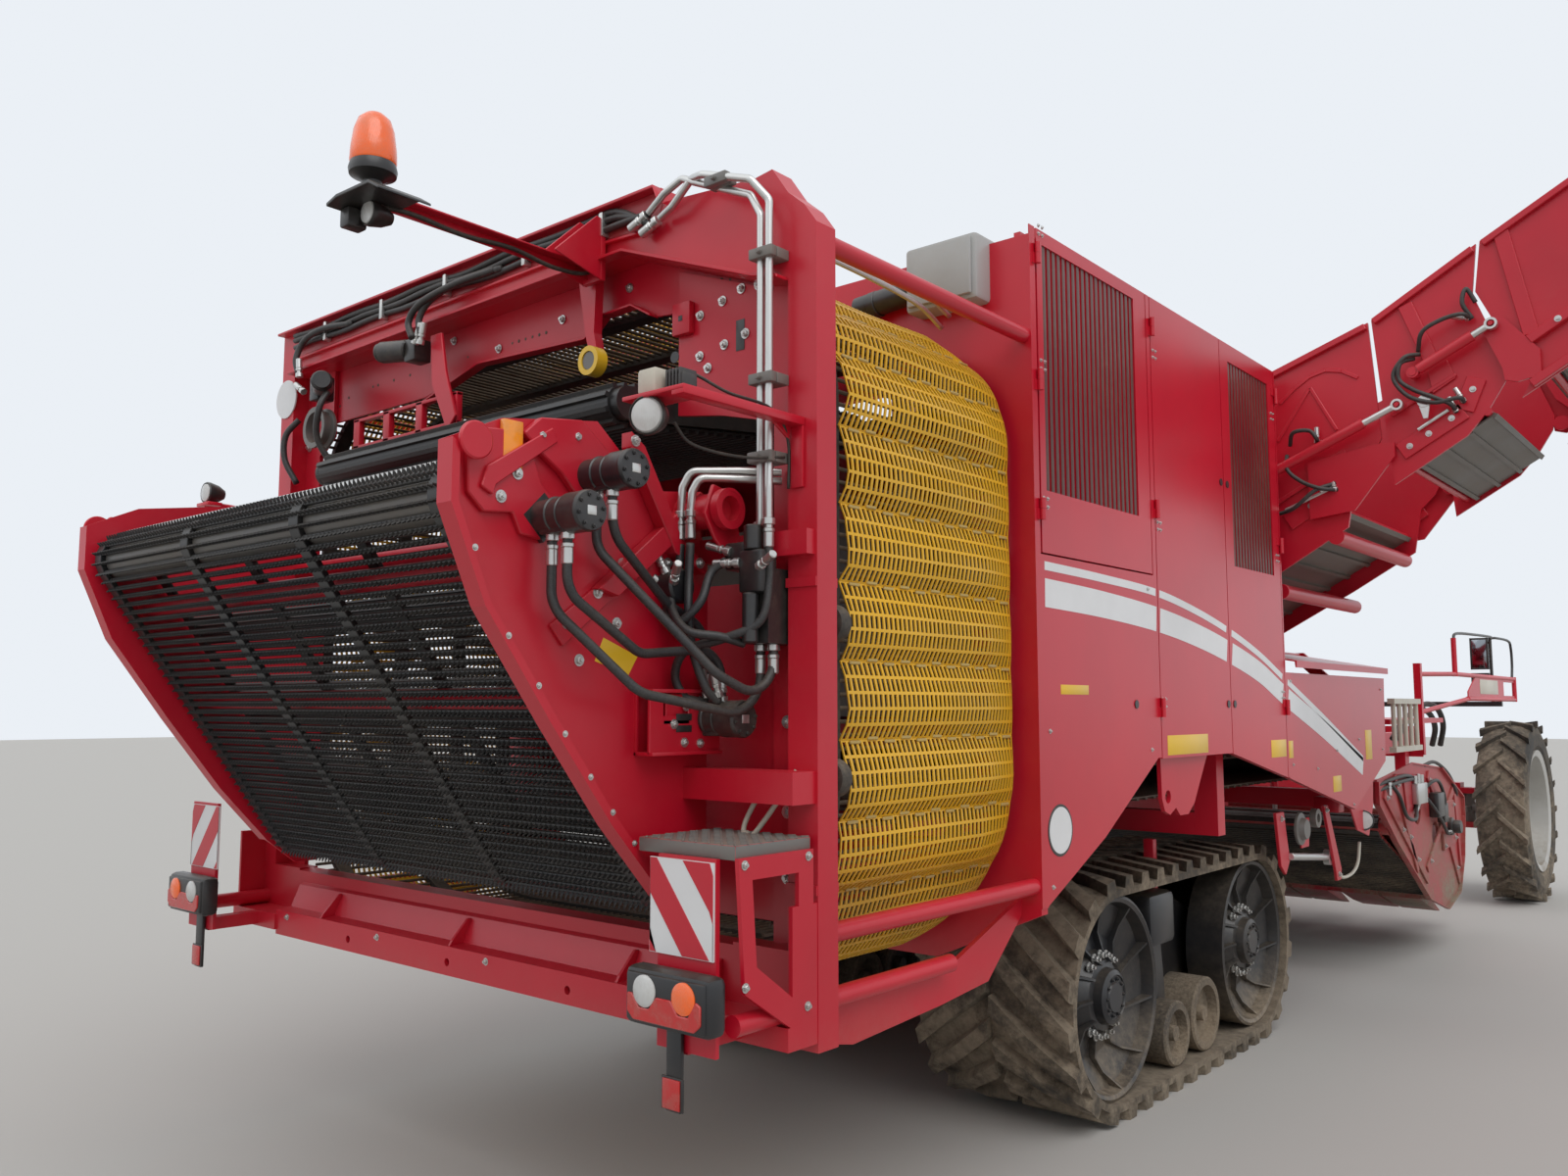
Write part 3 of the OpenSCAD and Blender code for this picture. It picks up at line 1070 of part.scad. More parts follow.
// Tyre: carcass turned from its section, lugs from middle to shoulder
tyre_body = tyre_r - tyre_lug;
module tyre_section() polygon([[rim_r, -190], [rim_r + 60, -225], [tyre_body - 90, -230],
    [tyre_body - 20, -205], [tyre_body, -120], [tyre_body, 120], [tyre_body - 20, 205],
    [tyre_body - 90, 230], [rim_r + 60, 225], [rim_r, 190]]);
// A lug set across a curved path: pt(s, off) gives the place in the path's plane
module skew_lug(pt, s0, s1, x0, x1, base, top, w, n) {
    pts = [for (k = [0:n]) let (s = s0 + (s1 - s0) * k / n, x = x0 + (x1 - x0) * k / n)
        for (c = [[-w / 2, base], [w / 2, base], [w * 0.36, top], [-w * 0.36, top]])
            let (p = pt(s + c[0], c[1])) [x, p[0], p[1]]];
    ends = [[0, 1, 2], [0, 2, 3], [n * 4 + 2, n * 4 + 1, n * 4], [n * 4 + 3, n * 4 + 2, n * 4]];
    walls = [for (k = [0:n - 1]) for (i = [0:3]) let (a = k * 4 + i, b = k * 4 + (i + 1) % 4)
        each [[b, a, a + 4], [b, a + 4, b + 4]]];
    faces = concat(ends, walls);
    flip = x1 < x0 ? [for (f = faces) [f[2], f[1], f[0]]] : faces;
    polyhedron(pts, flip);
}
module tyre(s) translate([s * wheel_x, axle_y, wheel_z]) {
    rotate([0, 90, 0]) rotate_extrude($fn = 72) tyre_section();
    wheel_pt = function (t, off) [off * sin(t), off * cos(t)];
    pitch = 360 / tyre_lugs;
    for (i = [0:tyre_lugs - 1]) {
        skew_lug(wheel_pt, i * pitch, i * pitch - 16, -15, tyre_w / 2, tyre_body - 25, tyre_r, 4.4, 1);
        skew_lug(wheel_pt, (i + 0.5) * pitch, (i + 0.5) * pitch - 16, 15, -tyre_w / 2,
            tyre_body - 25, tyre_r, 4.4, 1);
    }
}
module rim(s) translate([s * wheel_x, axle_y, wheel_z]) rotate([0, s * 90, 0]) difference() {
    rotate_extrude() polygon([[48 + run_fit, -110], [150, -110], [150, 40], [300, 40], [470, -40],
        [rim_r - 50, -40],
        [rim_r - 50, -200], [rim_r + 12, -216], [rim_r + 12, -198], [rim_r - seat, -190], [rim_r - seat, 190],
        [rim_r + 12, 198], [rim_r + 12, 216], [rim_r - 50, 200], [rim_r - 50, -10], [480, -10], [310, 70],
        [150, 70], [110, 90], [60, 90], [48 + run_fit, 60]]);
}
module tyre_right() color(black) tyre(1);
module tyre_left() color(black) tyre(-1);
module rim_right() color("lightgray") rim(1);
module rim_left() color("lightgray") rim(-1);

// Mirrors on their tube frames over the front wheels
module mirrors() color(black) both_sides() {
    block([rail_x + 10, mirror_y, neck_z[1] + seat], [rail_x + 60, mirror_y + 50, arm_z[1]]);
    block([rail_x + 10, mirror_y, arm_z[0]], [guard_x + 20, mirror_y + 50, arm_z[1]]);
    rod_z(15, arm_z[1] - 1, 2700, 1580, mirror_y + 25);
    block([1420, mirror_y + 15, 2640], [1581, mirror_y + 35, 2660]);
    block([1400, mirror_y, 2380], [1560, mirror_y + 50, 2700]);
    block([1400, mirror_y, 2160], [1560, mirror_y + 50, 2340]);
    block([1559, mirror_y + 15, 2240], [1581, mirror_y + 35, 2260]);
}

// Digging unit: side plates, cross tubes, share row and intake web
dig_half = 2 * row + dig_side_gap;
dig_hanger_x = dig_half - 240;
dig_pin_r = 45;
intake_a = [6900, 1110];
intake_len = 1560;
intake_r = 70;
intake_dir = -22;
tool_y = 9190;
tool_z = 1020;
module dig_side() difference() {
    polygon([[6560, 1300], [6560, 1460], [6720, 1470], [7600, 1550], [8500, 1480], [9240, 1200],
        [9240, 1040], [9150, 700], [8950, 420], [8500, 330], [7900, 480], [7000, 1000]]);
    translate([7700, 1180]) circle(r = 110);
    translate([8250, 950]) circle(r = 110);
}
module digging_frame() color(red) {
    both_sides() {
        prism_x(dig_half - plate, dig_half) dig_side();
        rod_x(dig_pin_r, dig_hanger_x - 5, dig_half - plate + 1, dig_y, dig_z);
    }
    rod_x(60, -dig_half + 5, dig_half - 5, 8650, 1050);
    rod_x(50, -dig_half + 5, dig_half - 5, lift_eye[0] + 120, lift_eye[1] + 10);
    // Clevises of the lift cylinders on the cross tube
    both_sides() for (x = [-45, 25]) translate([0, lift_eye[0], lift_eye[1]])
        prism_x(lift_x + x, lift_x + x + 20)
            polygon([[-30, -30], [30, -30], [130, -20], [130, 40], [-10, 30], [-30, 20]]);
    both_sides() rod_x(eye_pin_r, lift_x - 30, lift_x + 30, lift_eye[0], lift_eye[1]);
    // Shares, one pair a row, on their beam
    for (r = [-1.5:1:1.5], s = [-1, 1])
        translate([r * row + s * 165, 0, 0]) prism_x(-150, 150)
            polygon([[8500, 380], [8500, 440], [8900, 330], [9150, 210], [9150, 200], [8850, 270]]);
    rod_x(34, -dig_half + 5, dig_half - 5, 8540, 410);
    // Intake web on its two shafts
    prism_x(-dig_half + 60, dig_half - 60) translate(intake_a) rotate(intake_dir) difference() {
        polygon(belt_outline(34, intake_len, intake_r,
            [[0, -4], [0.35, -4], [0.4, 8], [0.6, 8], [0.65, -4]]));
        stadium(intake_len, intake_r - 12);
    }
    for (p = [intake_a, intake_a + intake_len * [cos(intake_dir), sin(intake_dir)]])
        rod_x(intake_r - 11, -dig_half + 5, dig_half - 5, p[0], p[1]);
    // Shaft of the ridge rollers, and the tool beam with the discs' arms
    rod_x(roller_pin_r, -dig_half + 5, dig_half - 5, roller_y, roller_z);
    block([-dig_half + 5, tool_y - 40, tool_z - 40], [dig_half - 5, tool_y + 40, tool_z + 40]);
    for (r = [-2:1:2]) {
        prism_x(r * row + 36, r * row + 46)
            polygon([[tool_y - 40, tool_z], [tool_y + 40, tool_z], [disc_y + 50, disc_z + 60],
                [disc_y + 40, disc_z - 40], [disc_y - 40, disc_z - 40], [tool_y + 40, tool_z - 150]]);
        rod_x(disc_pin_r, r * row - 32, r * row + 40, disc_y, disc_z);
    }
}
disc_y = 9400;
disc_z = 560;
disc_pin_r = 20;
roller_pin_r = 30;
// Ridge rollers: one waisted roller a row on a common axle
roller_y = 9000;
roller_z = 760;
module ridge_rollers() color(red) for (r = [-1.5:1:1.5])
    translate([r * row, roller_y, roller_z]) rotate([0, 90, 0]) rotate_extrude()
        polygon([[roller_pin_r + run_fit, -320], [240, -320], [250, -290], [200, -190], [150, -80], [150, 80],
            [200, 190], [250, 290], [240, 320], [roller_pin_r + run_fit, 320]]);
module coulter_discs() color(steel) for (r = [-2:1:2])
    translate([r * row, disc_y, disc_z]) rotate([0, 90, 0]) rotate_extrude()
        polygon([[disc_pin_r + run_fit, -30], [60, -30], [60, -6], [250, -4], [310, -1], [310, 1], [250, 4],
            [60, 6], [60, 30], [disc_pin_r + run_fit, 30]]);

// Rubber track with its lugs; one fixed loop
track_len = track_y1 - track_y0;
track_z = track_r + belt_t + belt_lug;
module track_belt() translate([0, track_y0, track_z]) {
    prism_x(belt_x0, belt_x1) band(track_len, track_r, belt_t);
    loop = belt_len(track_len, track_r + belt_t);
    pt = function (s, off) belt_pt(s / loop * belt_len(track_len, track_r), track_len, track_r, off);
    mid_x = (belt_x0 + belt_x1) / 2;
    for (i = [0:belt_lugs - 1]) let (s = i / belt_lugs * loop) {
        skew_lug(pt, s, s - 290, mid_x + 10, belt_x1, belt_t - 8, belt_t + belt_lug, 105, 2);
        skew_lug(pt, s + 90, s - 200, mid_x - 10, belt_x0, belt_t - 8, belt_t + belt_lug, 105, 2);
    }
}
module track_belt_right() color(black) track_belt();
module track_belt_left() color(black) mirror([1, 0, 0]) track_belt();
module track_wheel(y) translate([0, y, track_z]) {
    // Rims, dished disc and hub
    for (x = [[belt_x0 + 60, belt_x0 + 260], [belt_x1 - 260, belt_x1 - 40]])
        translate([x[0], 0, 0]) rotate([0, 90, 0]) difference() {
            cylinder(r = track_r - seat, h = x[1] - x[0], $fn = 64);
            translate([0, 0, -1]) cylinder(r = track_r - 40, h = x[1] - x[0] + 2, $fn = 64);
        }
    rod_x(track_r - 39, belt_x1 - 200, belt_x1 - 170, 0, 0);
    rod_x(track_r - 39, belt_x0 + 150, belt_x0 + 180, 0, 0);
    rod_x(130, belt_x0 + 30, belt_x1 - 60, 0, 0);
}
// [y, radius] of the small rollers between the wheels
mid_rollers = [[3490, 170], [3890, 200]];
module track_gear() color(black) both_sides() {
    track_wheel(track_y0);
    track_wheel(track_y1);
    for (m = mid_rollers) for (x = [[belt_x0 + 60, belt_x0 + 260], [belt_x1 - 260, belt_x1 - 40]])
        rod_x(m[1], x[0], x[1], m[0], belt_t + belt_lug + m[1] + seat);
    for (m = mid_rollers) rod_x(40, belt_x0 + 200, belt_x1 - 200, m[0], belt_t + belt_lug + m[1] + seat);
    // Frame between the wheels
    prism_x(belt_x0 + 330, belt_x1 - 330) polygon([[track_y0 - 60, track_z - 90],
        [track_y0 - 60, track_z + 90],
        [3500, 940], [3900, 940], [track_y1 + 60, track_z + 90], [track_y1 + 60, track_z - 90], [4100, 200],
        [3350, 200]]);
    rod_x(95, belt_x0 - 40 + seat, belt_x0 + 335, 3700, track_axle_z);
}

// Outer end of the work lamps' brackets
lamp_x = half_w - 50;
module lamps() color(black) {
    // Tail lamps
    both_sides() block([half_w - 370, -460, 1070], [half_w - 20, -380 - seat, 1240]);
    // Reflector straps
    both_sides() block([half_w - 260, -400, 830], [half_w - 180, -385, 1080]);
    // Work lamps and cameras on the right and left brackets
    translate([lamp_x - 167, -500, 2860]) rotate([90, 0, 0]) cylinder(r = 60, h = 50);
    block([lamp_x - 220, -520, 2925], [lamp_x - 110, -420, 3020]);
    block([lamp_x - 260, -550, 2915], [lamp_x, -430, 2926]);
    block([lamp_x - 50, -550, 2915], [lamp_x, -seat, 2926]);
    block([lamp_x - 50, -12, 2700], [lamp_x, -seat, 2926]);
    translate([100 - lamp_x, -420, 2760]) rotate([90, 0, 0]) cylinder(r = 60, h = 50);
    block([60 - lamp_x, -440, 2680], [140 - lamp_x, -10, 2700]);
    block([-lamp_x, -20, 2600], [140 - lamp_x, -seat, 2700]);
}
module warning_plates() color("white") both_sides()
    block([half_w - 340, -386 - seat, 1270], [half_w - 75, -380 - seat, 1550]);
module beacon_arm() color(red) {
    bar([680, -20, 3660], [680, -900, 3640], 25);
    block([620, -30, 3600], [740, -seat, 3840]);
    block([600, -1040, 3630], [780, -840, 3640]);
    translate([690, -960, 3639]) cylinder(r = 30, h = 90);
    translate([690, -960, 3728]) cylinder(r1 = 62, r2 = 40, h = 150, $fn = 32);
    translate([640, -900, 3570]) cylinder(r = 50, h = 62);
    block([660, -1030, 3540], [740, -960, 3631]);
}

place() main_frame();
place() rear_frame();
place() rear_beam();
place() ring_web();
place() ring_pockets();
place() web_rollers();
place() finger_web();
place() finger_plates();
place() hydraulic_motors();
place() picking_web();
place() hydraulic_lines();
place() side_panels();
place() door_vent_rear();
place() door_middle();
place() door_vent_front();
place() front_lid();
place() engine_block();
place() cooler_box();
place() top_deck();
place() sieve_web();
place() bunker_body();
place() bunker_floor();
place() boom_mid();
place() boom_mid_floor();
place() boom_tip();
place() boom_tip_floor();
place() fold_barrels();
place() fold_rods();
place() tip_barrels();
place() tip_rods();
place() lift_barrels();
place() lift_rods();
place() cab_shell();
place() cab_glass();
place() cab_door();
place() cab_door_glass();
place() cab_seat();
place() platform();
place() ladder();
place() front_axle();
place() knuckle_right();
place() knuckle_left();
place() tyre_right();
place() rim_right();
place() tyre_left();
place() rim_left();
place() mirrors();
place() digging_frame();
place() ridge_rollers();
place() coulter_discs();
place() track_belt_right();
place() track_belt_left();
place() track_gear();
place() lamps();
place() warning_plates();
place() beacon_arm();
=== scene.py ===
"""Looks of a self-propelled four-row potato harvester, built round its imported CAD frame."""
import bpy
import math
import random
from mathutils import Matrix, Vector


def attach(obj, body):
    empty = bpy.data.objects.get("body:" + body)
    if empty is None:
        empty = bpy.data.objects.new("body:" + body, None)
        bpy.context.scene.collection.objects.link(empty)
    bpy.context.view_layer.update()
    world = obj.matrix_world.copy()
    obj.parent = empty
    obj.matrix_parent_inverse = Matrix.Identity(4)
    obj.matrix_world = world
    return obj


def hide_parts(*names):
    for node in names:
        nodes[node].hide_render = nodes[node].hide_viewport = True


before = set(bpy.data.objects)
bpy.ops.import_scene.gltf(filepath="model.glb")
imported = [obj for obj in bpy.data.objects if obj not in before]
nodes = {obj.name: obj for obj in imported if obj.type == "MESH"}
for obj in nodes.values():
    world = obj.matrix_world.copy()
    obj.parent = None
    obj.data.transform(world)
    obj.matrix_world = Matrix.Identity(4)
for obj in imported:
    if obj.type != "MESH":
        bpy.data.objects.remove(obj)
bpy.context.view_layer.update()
random.seed(7)

# ---------------------------------------------------------------- places
# The machine's own frame has y = 0 at the rear posts and x = 0 in its middle plane
MID_X, MID_Y = 1.375, 5.8675
HALF_W = 1.75


def at(x, y, z):
    return Vector((x - MID_X, y - MID_Y, z))


def deselect():
    if bpy.context.object and bpy.context.object.mode != "OBJECT":
        bpy.ops.object.mode_set(mode="OBJECT")
    bpy.ops.object.select_all(action="DESELECT")


def edit(select=True):
    bpy.ops.object.mode_set(mode="EDIT")
    bpy.ops.mesh.select_all(action="SELECT" if select else "DESELECT")


def leave():
    bpy.ops.object.mode_set(mode="OBJECT")


def apply_place():
    bpy.ops.object.transform_apply(location=True, rotation=True, scale=True)
    return bpy.context.object


def pick(o):
    deselect()
    o.select_set(True)
    bpy.context.view_layer.objects.active = o
    return o


def modify(o, kind, **values):
    pick(o)
    m = o.modifiers.new(kind.title(), kind)
    for k, v in values.items():
        setattr(m, k, v)
    bpy.ops.object.modifier_apply(modifier=m.name)
    return o


def soften(o, offset=0.003, segments=2):
    """Breaks the sharp edges of a piece."""
    modify(o, "BEVEL", width=offset, segments=segments, limit_method="ANGLE", angle_limit=math.radians(35))
    bpy.ops.object.shade_smooth_by_angle(angle=math.radians(32))
    return o


def outward(o):
    """Merges doubles and turns all faces outwards."""
    pick(o)
    edit()
    bpy.ops.mesh.remove_doubles(threshold=0.00005)
    bpy.ops.mesh.select_all(action="SELECT")
    bpy.ops.mesh.normals_make_consistent(inside=False)
    leave()
    return o


# ---------------------------------------------------------------- shapes
def from_points(name, points, edges, faces):
    mesh = bpy.data.meshes.new(name)
    mesh.from_pydata(points, edges, faces)
    o = bpy.data.objects.new(name, mesh)
    bpy.context.collection.objects.link(o)
    return o


def block(a, b, edge=0.004):
    """A welded or moulded block between two corners, with broken edges."""
    deselect()
    a, b = at(*a), at(*b)
    bpy.ops.mesh.primitive_cube_add(size=1, location=(a + b) / 2)
    o = bpy.context.object
    o.scale = [abs(v) for v in (b - a)]
    apply_place()
    return soften(o, edge)


def bar(a, b, r, sides=20, edge=0.002):
    """A round bar between two points, its ends chamfered."""
    deselect()
    a, b = at(*a), at(*b)
    d = b - a
    turn = d.to_track_quat("Z", "Y").to_euler()
    bpy.ops.mesh.primitive_cylinder_add(vertices=sides, radius=r, depth=d.length, location=(a + b) / 2,
                                        rotation=turn)
    apply_place()
    return soften(bpy.context.object, min(edge, r * 0.3), 1)


def lathe(profile, centre, axis=(1, 0, 0), steps=40):
    """A turned piece: profile holds (radius, distance along the axis) from centre."""
    o = from_points("turned", [(r, 0, h) for r, h in profile], [(i, i + 1) for i in range(len(profile) - 1)],
                    [])
    modify(o, "SCREW", angle=2 * math.pi, steps=steps, render_steps=steps, axis="Z", use_merge_vertices=True,
           use_smooth_shade=True)
    outward(o)
    o.data.transform(Vector(axis).to_track_quat("Z", "Y").to_matrix().to_4x4())
    o.data.transform(Matrix.Translation(at(*centre)))
    bpy.ops.object.shade_smooth_by_angle(angle=math.radians(30))
    return o


def plate(outline, side, low, high, edge=0.002):
    """A flat plate from an outline in the plane across the axis side, from low to high along that axis."""
    if side == "x":
        pts = [at(low, u, v) for u, v in outline]
        along = Vector((high - low, 0, 0))
    elif side == "y":
        pts = [at(u, low, v) for u, v in outline]
        along = Vector((0, high - low, 0))
    else:
        pts = [at(u, v, low) for u, v in outline]
        along = Vector((0, 0, high - low))
    o = from_points("plate", pts, [], [list(range(len(pts)))])
    pick(o)
    edit()
    bpy.ops.mesh.extrude_region_move(TRANSFORM_OT_translate={"value": along})
    bpy.ops.mesh.select_all(action="SELECT")
    bpy.ops.mesh.normals_make_consistent(inside=False)
    leave()
    return soften(o, edge, 1) if edge else o


def smooth_path(points, count=8):
    """Points on a smooth curve through the given points."""
    p = [Vector(v) for v in points]
    p = [2 * p[0] - p[1]] + p + [2 * p[-1] - p[-2]]
    path = []
    for i in range(1, len(p) - 2):
        for k in range(count):
            t = k / count
            a, b, c, d = p[i - 1], p[i], p[i + 1], p[i + 2]
            path.append(0.5 * (2 * b + (c - a) * t + (2 * a - 5 * b + 4 * c - d) * t * t
                               + (3 * b - a - 3 * c + d) * t ** 3))
    path.append(p[-2])
    return path


def line_tube(points, r, sides=4, cap=True):
    """A round hose or wire along a list of row-frame points, as a curve of one open spline."""
    curve = bpy.data.curves.new("run", "CURVE")
    curve.dimensions = "3D"
    curve.bevel_depth = r
    curve.bevel_resolution = sides
    curve.use_fill_caps = cap
    spline = curve.splines.new("POLY")
    spline.points.add(len(points) - 1)
    for s, v in zip(spline.points, points):
        s.co = (*v, 1)
    o = bpy.data.objects.new("run", curve)
    bpy.context.collection.objects.link(o)
    return o


def to_mesh(o):
    pick(o)
    bpy.ops.object.convert(target="MESH")
    return outward(bpy.context.object)


def tube(route, r, fineness=4):
    """A hose or pipe of radius r on a smooth curve through the route's points."""
    return to_mesh(line_tube([at(*v) for v in smooth_path(route)], r, fineness))


def own_copy(o):
    c = o.copy()
    c.data = o.data.copy()
    bpy.context.collection.objects.link(c)
    return c


def copies(master, places):
    """Copies of a modelled piece, each with its own mesh, joined into one piece. The master goes."""
    made = []
    for m in places:
        c = own_copy(master)
        c.data.transform(m)
        made.append(c)
    bpy.data.objects.remove(master)
    return joined(made)


def joined(parts):
    deselect()
    for o in parts:
        o.select_set(True)
    bpy.context.view_layer.objects.active = parts[0]
    if len(parts) > 1:
        bpy.ops.object.join()
    return bpy.context.object


def mirrored(o):
    """The same piece on the machine's left side, with its faces turned outwards again."""
    c = own_copy(o)
    c.data.transform(Matrix.Translation((-2 * MID_X, 0, 0)) @ Matrix.Scale(-1, 4, (1, 0, 0)))
    c.data.flip_normals()
    return c


def both(o):
    return joined([o, mirrored(o)])


def done(o, name, finish, body="chassis"):
    """Names a piece, gives it its finish and its finish's slot, and lets it ride on its body."""
    o.name = name
    o.data.name = name
    o.data.materials.clear()
    o.data.materials.append(finish)
    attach(o, body)
    return o


# ---------------------------------------------------------------- finishes
def add(tree, kind, **values):
    n = tree.nodes.new("ShaderNode" + kind)
    for k, v in values.items():
        setattr(n, k, v)
    return n


def wire(tree, *pairs):
    for a, b in pairs:
        tree.links.new(a, b)


def feed(tree, socket, v):
    """Sets a socket to a number or a colour, or wires it to another socket."""
    if isinstance(v, (int, float)):
        socket.default_value = v
    elif isinstance(v, tuple):
        socket.default_value = (*v, 1)
    else:
        tree.links.new(v, socket)


def maths(tree, kind, a, b=0.5, clamp=False):
    n = add(tree, "Math", operation=kind, use_clamp=clamp)
    feed(tree, n.inputs[0], a)
    feed(tree, n.inputs[1], b)
    return n.outputs[0]


def spread(tree, value, a, b, c=0.0, d=1.0):
    n = add(tree, "MapRange", clamp=True)
    for i, v in enumerate((value, a, b, c, d)):
        feed(tree, n.inputs[i], v)
    return n.outputs[0]


def noise(tree, vector, scale, detail=4.0, rough=0.6):
    n = add(tree, "TexNoise")
    for socket, v in (("Scale", scale), ("Detail", detail), ("Roughness", rough), ("Vector", vector)):
        feed(tree, n.inputs[socket], v)
    return n.outputs["Fac"]


def blend(tree, fac, a, b):
    n = add(tree, "Mix", data_type="RGBA")
    for i, v in ((0, fac), (6, a), (7, b)):
        feed(tree, n.inputs[i], v)
    return n.outputs[2]


def new_group(name, ins, outs):
    g = bpy.data.node_groups.new(name, "ShaderNodeTree")
    for n, kind, value in ins:
        s = g.interface.new_socket(name=n, in_out="INPUT", socket_type="NodeSocket" + kind)
        if value is not None:
            s.default_value = value
    for n, kind in outs:
        g.interface.new_socket(name=n, in_out="OUTPUT", socket_type="NodeSocket" + kind)
    return g, g.nodes.new("NodeGroupInput"), g.nodes.new("NodeGroupOutput")


def make_field_dust():
    """Dust film, settled dust on what faces up, and soil near the ground."""
    g, i, o = new_group("field_dust",
                        [("Clean", "Color", (0.5, 0.5, 0.5, 1)), ("Soil", "Color", (0.22, 0.17, 0.12, 1)),
                         ("Film", "Float", 0.3), ("Low", "Float", 1.0), ("Shine", "Float", 0.4),
                         ("Grain", "Float", 26.0)],
                        [("Color", "Color"), ("Roughness", "Float"), ("Height", "Float")])
    tc = add(g, "TexCoord")
    at_xyz = add(g, "SeparateXYZ")
    facing = add(g, "SeparateXYZ")
    wire(g, (tc.outputs["Object"], at_xyz.inputs[0]), (tc.outputs["Normal"], facing.inputs[0]))
    patches = spread(g, noise(g, tc.outputs["Object"], 1.7, 6), 0.35, 0.75)
    fine = noise(g, tc.outputs["Object"], i.outputs["Grain"], 8, 0.7)
    up = spread(g, facing.outputs[2], 0.2, 0.95)
    settled = maths(g, "MULTIPLY", maths(g, "ADD", maths(g, "MULTIPLY", up, 0.9), patches), i.outputs["Film"])
    speckled = maths(g, "MULTIPLY", settled, spread(g, fine, 0.3, 0.7, 0.45, 1.35))
    low = spread(g, at_xyz.outputs[2], i.outputs["Low"], 0.0, 0.0, 1.15)
    splashed = maths(g, "MULTIPLY", low, spread(g, maths(g, "ADD", fine, patches), 0.45, 1.2))
    mask = maths(g, "ADD", speckled, splashed, clamp=True)
    tint = blend(g, spread(g, fine, 0.3, 0.75), i.outputs["Soil"], (0.31, 0.25, 0.18))
    wire(g, (blend(g, mask, i.outputs["Clean"], tint), o.inputs["Color"]),
         (maths(g, "ADD", i.outputs["Shine"], maths(g, "MULTIPLY", mask, 0.5), clamp=True),
          o.inputs["Roughness"]), (maths(g, "MULTIPLY", fine, mask), o.inputs["Height"]))
    return g


def make_rubbed():
    """Chips and rubs that bare what lies under a coat of paint, and the coat's own slight unevenness."""
    g, i, o = new_group("rubbed", [("Coat", "Color", (0.5, 0.5, 0.5, 1)),
                                   ("Bare", "Color", (0.1, 0.1, 0.1, 1)), ("Wear", "Float", 0.3)],
                        [("Color", "Color"), ("Height", "Float")])
    tc = add(g, "TexCoord")
    stretch = add(g, "Mapping")
    stretch.inputs["Scale"].default_value = (9, 9, 60)
    wire(g, (tc.outputs["Object"], stretch.inputs["Vector"]))
    chips = spread(g, noise(g, tc.outputs["Object"], 42, 10, 0.75), 0.70, 0.74)
    runs = spread(g, noise(g, stretch.outputs[0], 1.0, 6, 0.7), 0.71, 0.76, 0, 0.6)
    where = spread(g, noise(g, tc.outputs["Object"], 2.3, 3), 0.5, 0.75)
    mask = maths(g, "MULTIPLY", maths(g, "MULTIPLY", maths(g, "ADD", chips, runs, clamp=True), where),
                 i.outputs["Wear"], clamp=True)
    shade = spread(g, noise(g, tc.outputs["Object"], 0.9, 4), 0.3, 0.7, 0.86, 1.08)
    tone = add(g, "HueSaturation")
    wire(g, (i.outputs["Coat"], tone.inputs["Color"]), (shade, tone.inputs["Value"]))
    wire(g, (blend(g, mask, tone.outputs[0], i.outputs["Bare"]), o.inputs["Color"]),
         (maths(g, "SUBTRACT", 1.0, mask), o.inputs["Height"]))
    return g


FIELD_DUST = make_field_dust()
RUBBED = make_rubbed()


def use_group(tree, group, **values):
    n = add(tree, "Group")
    n.node_tree = group
    for k, v in values.items():
        feed(tree, n.inputs[k], v)
    return n


def new_finish(name, metallic=0.0, coat=0.0):
    m = bpy.data.materials.new(name)
    m.use_nodes = True
    t = m.node_tree
    shader = t.nodes["Principled BSDF"]
    shader.inputs["Metallic"].default_value = metallic
    shader.inputs["Coat Weight"].default_value = coat
    shader.inputs["Coat Roughness"].default_value = 0.25
    return m, t, shader


def bump(t, shader, height, strength=0.3, distance=0.002):
    b = add(t, "Bump")
    b.inputs["Strength"].default_value = strength
    b.inputs["Distance"].default_value = distance
    wire(t, (height, b.inputs["Height"]), (b.outputs[0], shader.inputs["Normal"]))


def coated(name, coat_color, bare=(0.16, 0.13, 0.11), film=0.25, low=1.1, shine=0.38, wear=0.5, coat=0.25,
           metallic=0.0, grain=26.0, rough_bump=0.25, soil=(0.2, 0.15, 0.1)):
    """Paint, plastic or iron with rubs, dust and splashed soil."""
    m, t, shader = new_finish(name, metallic, coat)
    rub = use_group(t, RUBBED, Coat=coat_color, Bare=bare, Wear=wear)
    dust = use_group(t, FIELD_DUST, Clean=rub.outputs["Color"], Soil=soil, Film=film, Low=low, Shine=shine,
                     Grain=grain)
    wire(t, (dust.outputs["Color"], shader.inputs["Base Color"]),
         (dust.outputs["Roughness"], shader.inputs["Roughness"]))
    bump(t, shader, maths(t, "ADD", dust.outputs["Height"], maths(t, "MULTIPLY", rub.outputs["Height"], 0.4)),
         rough_bump)
    return m


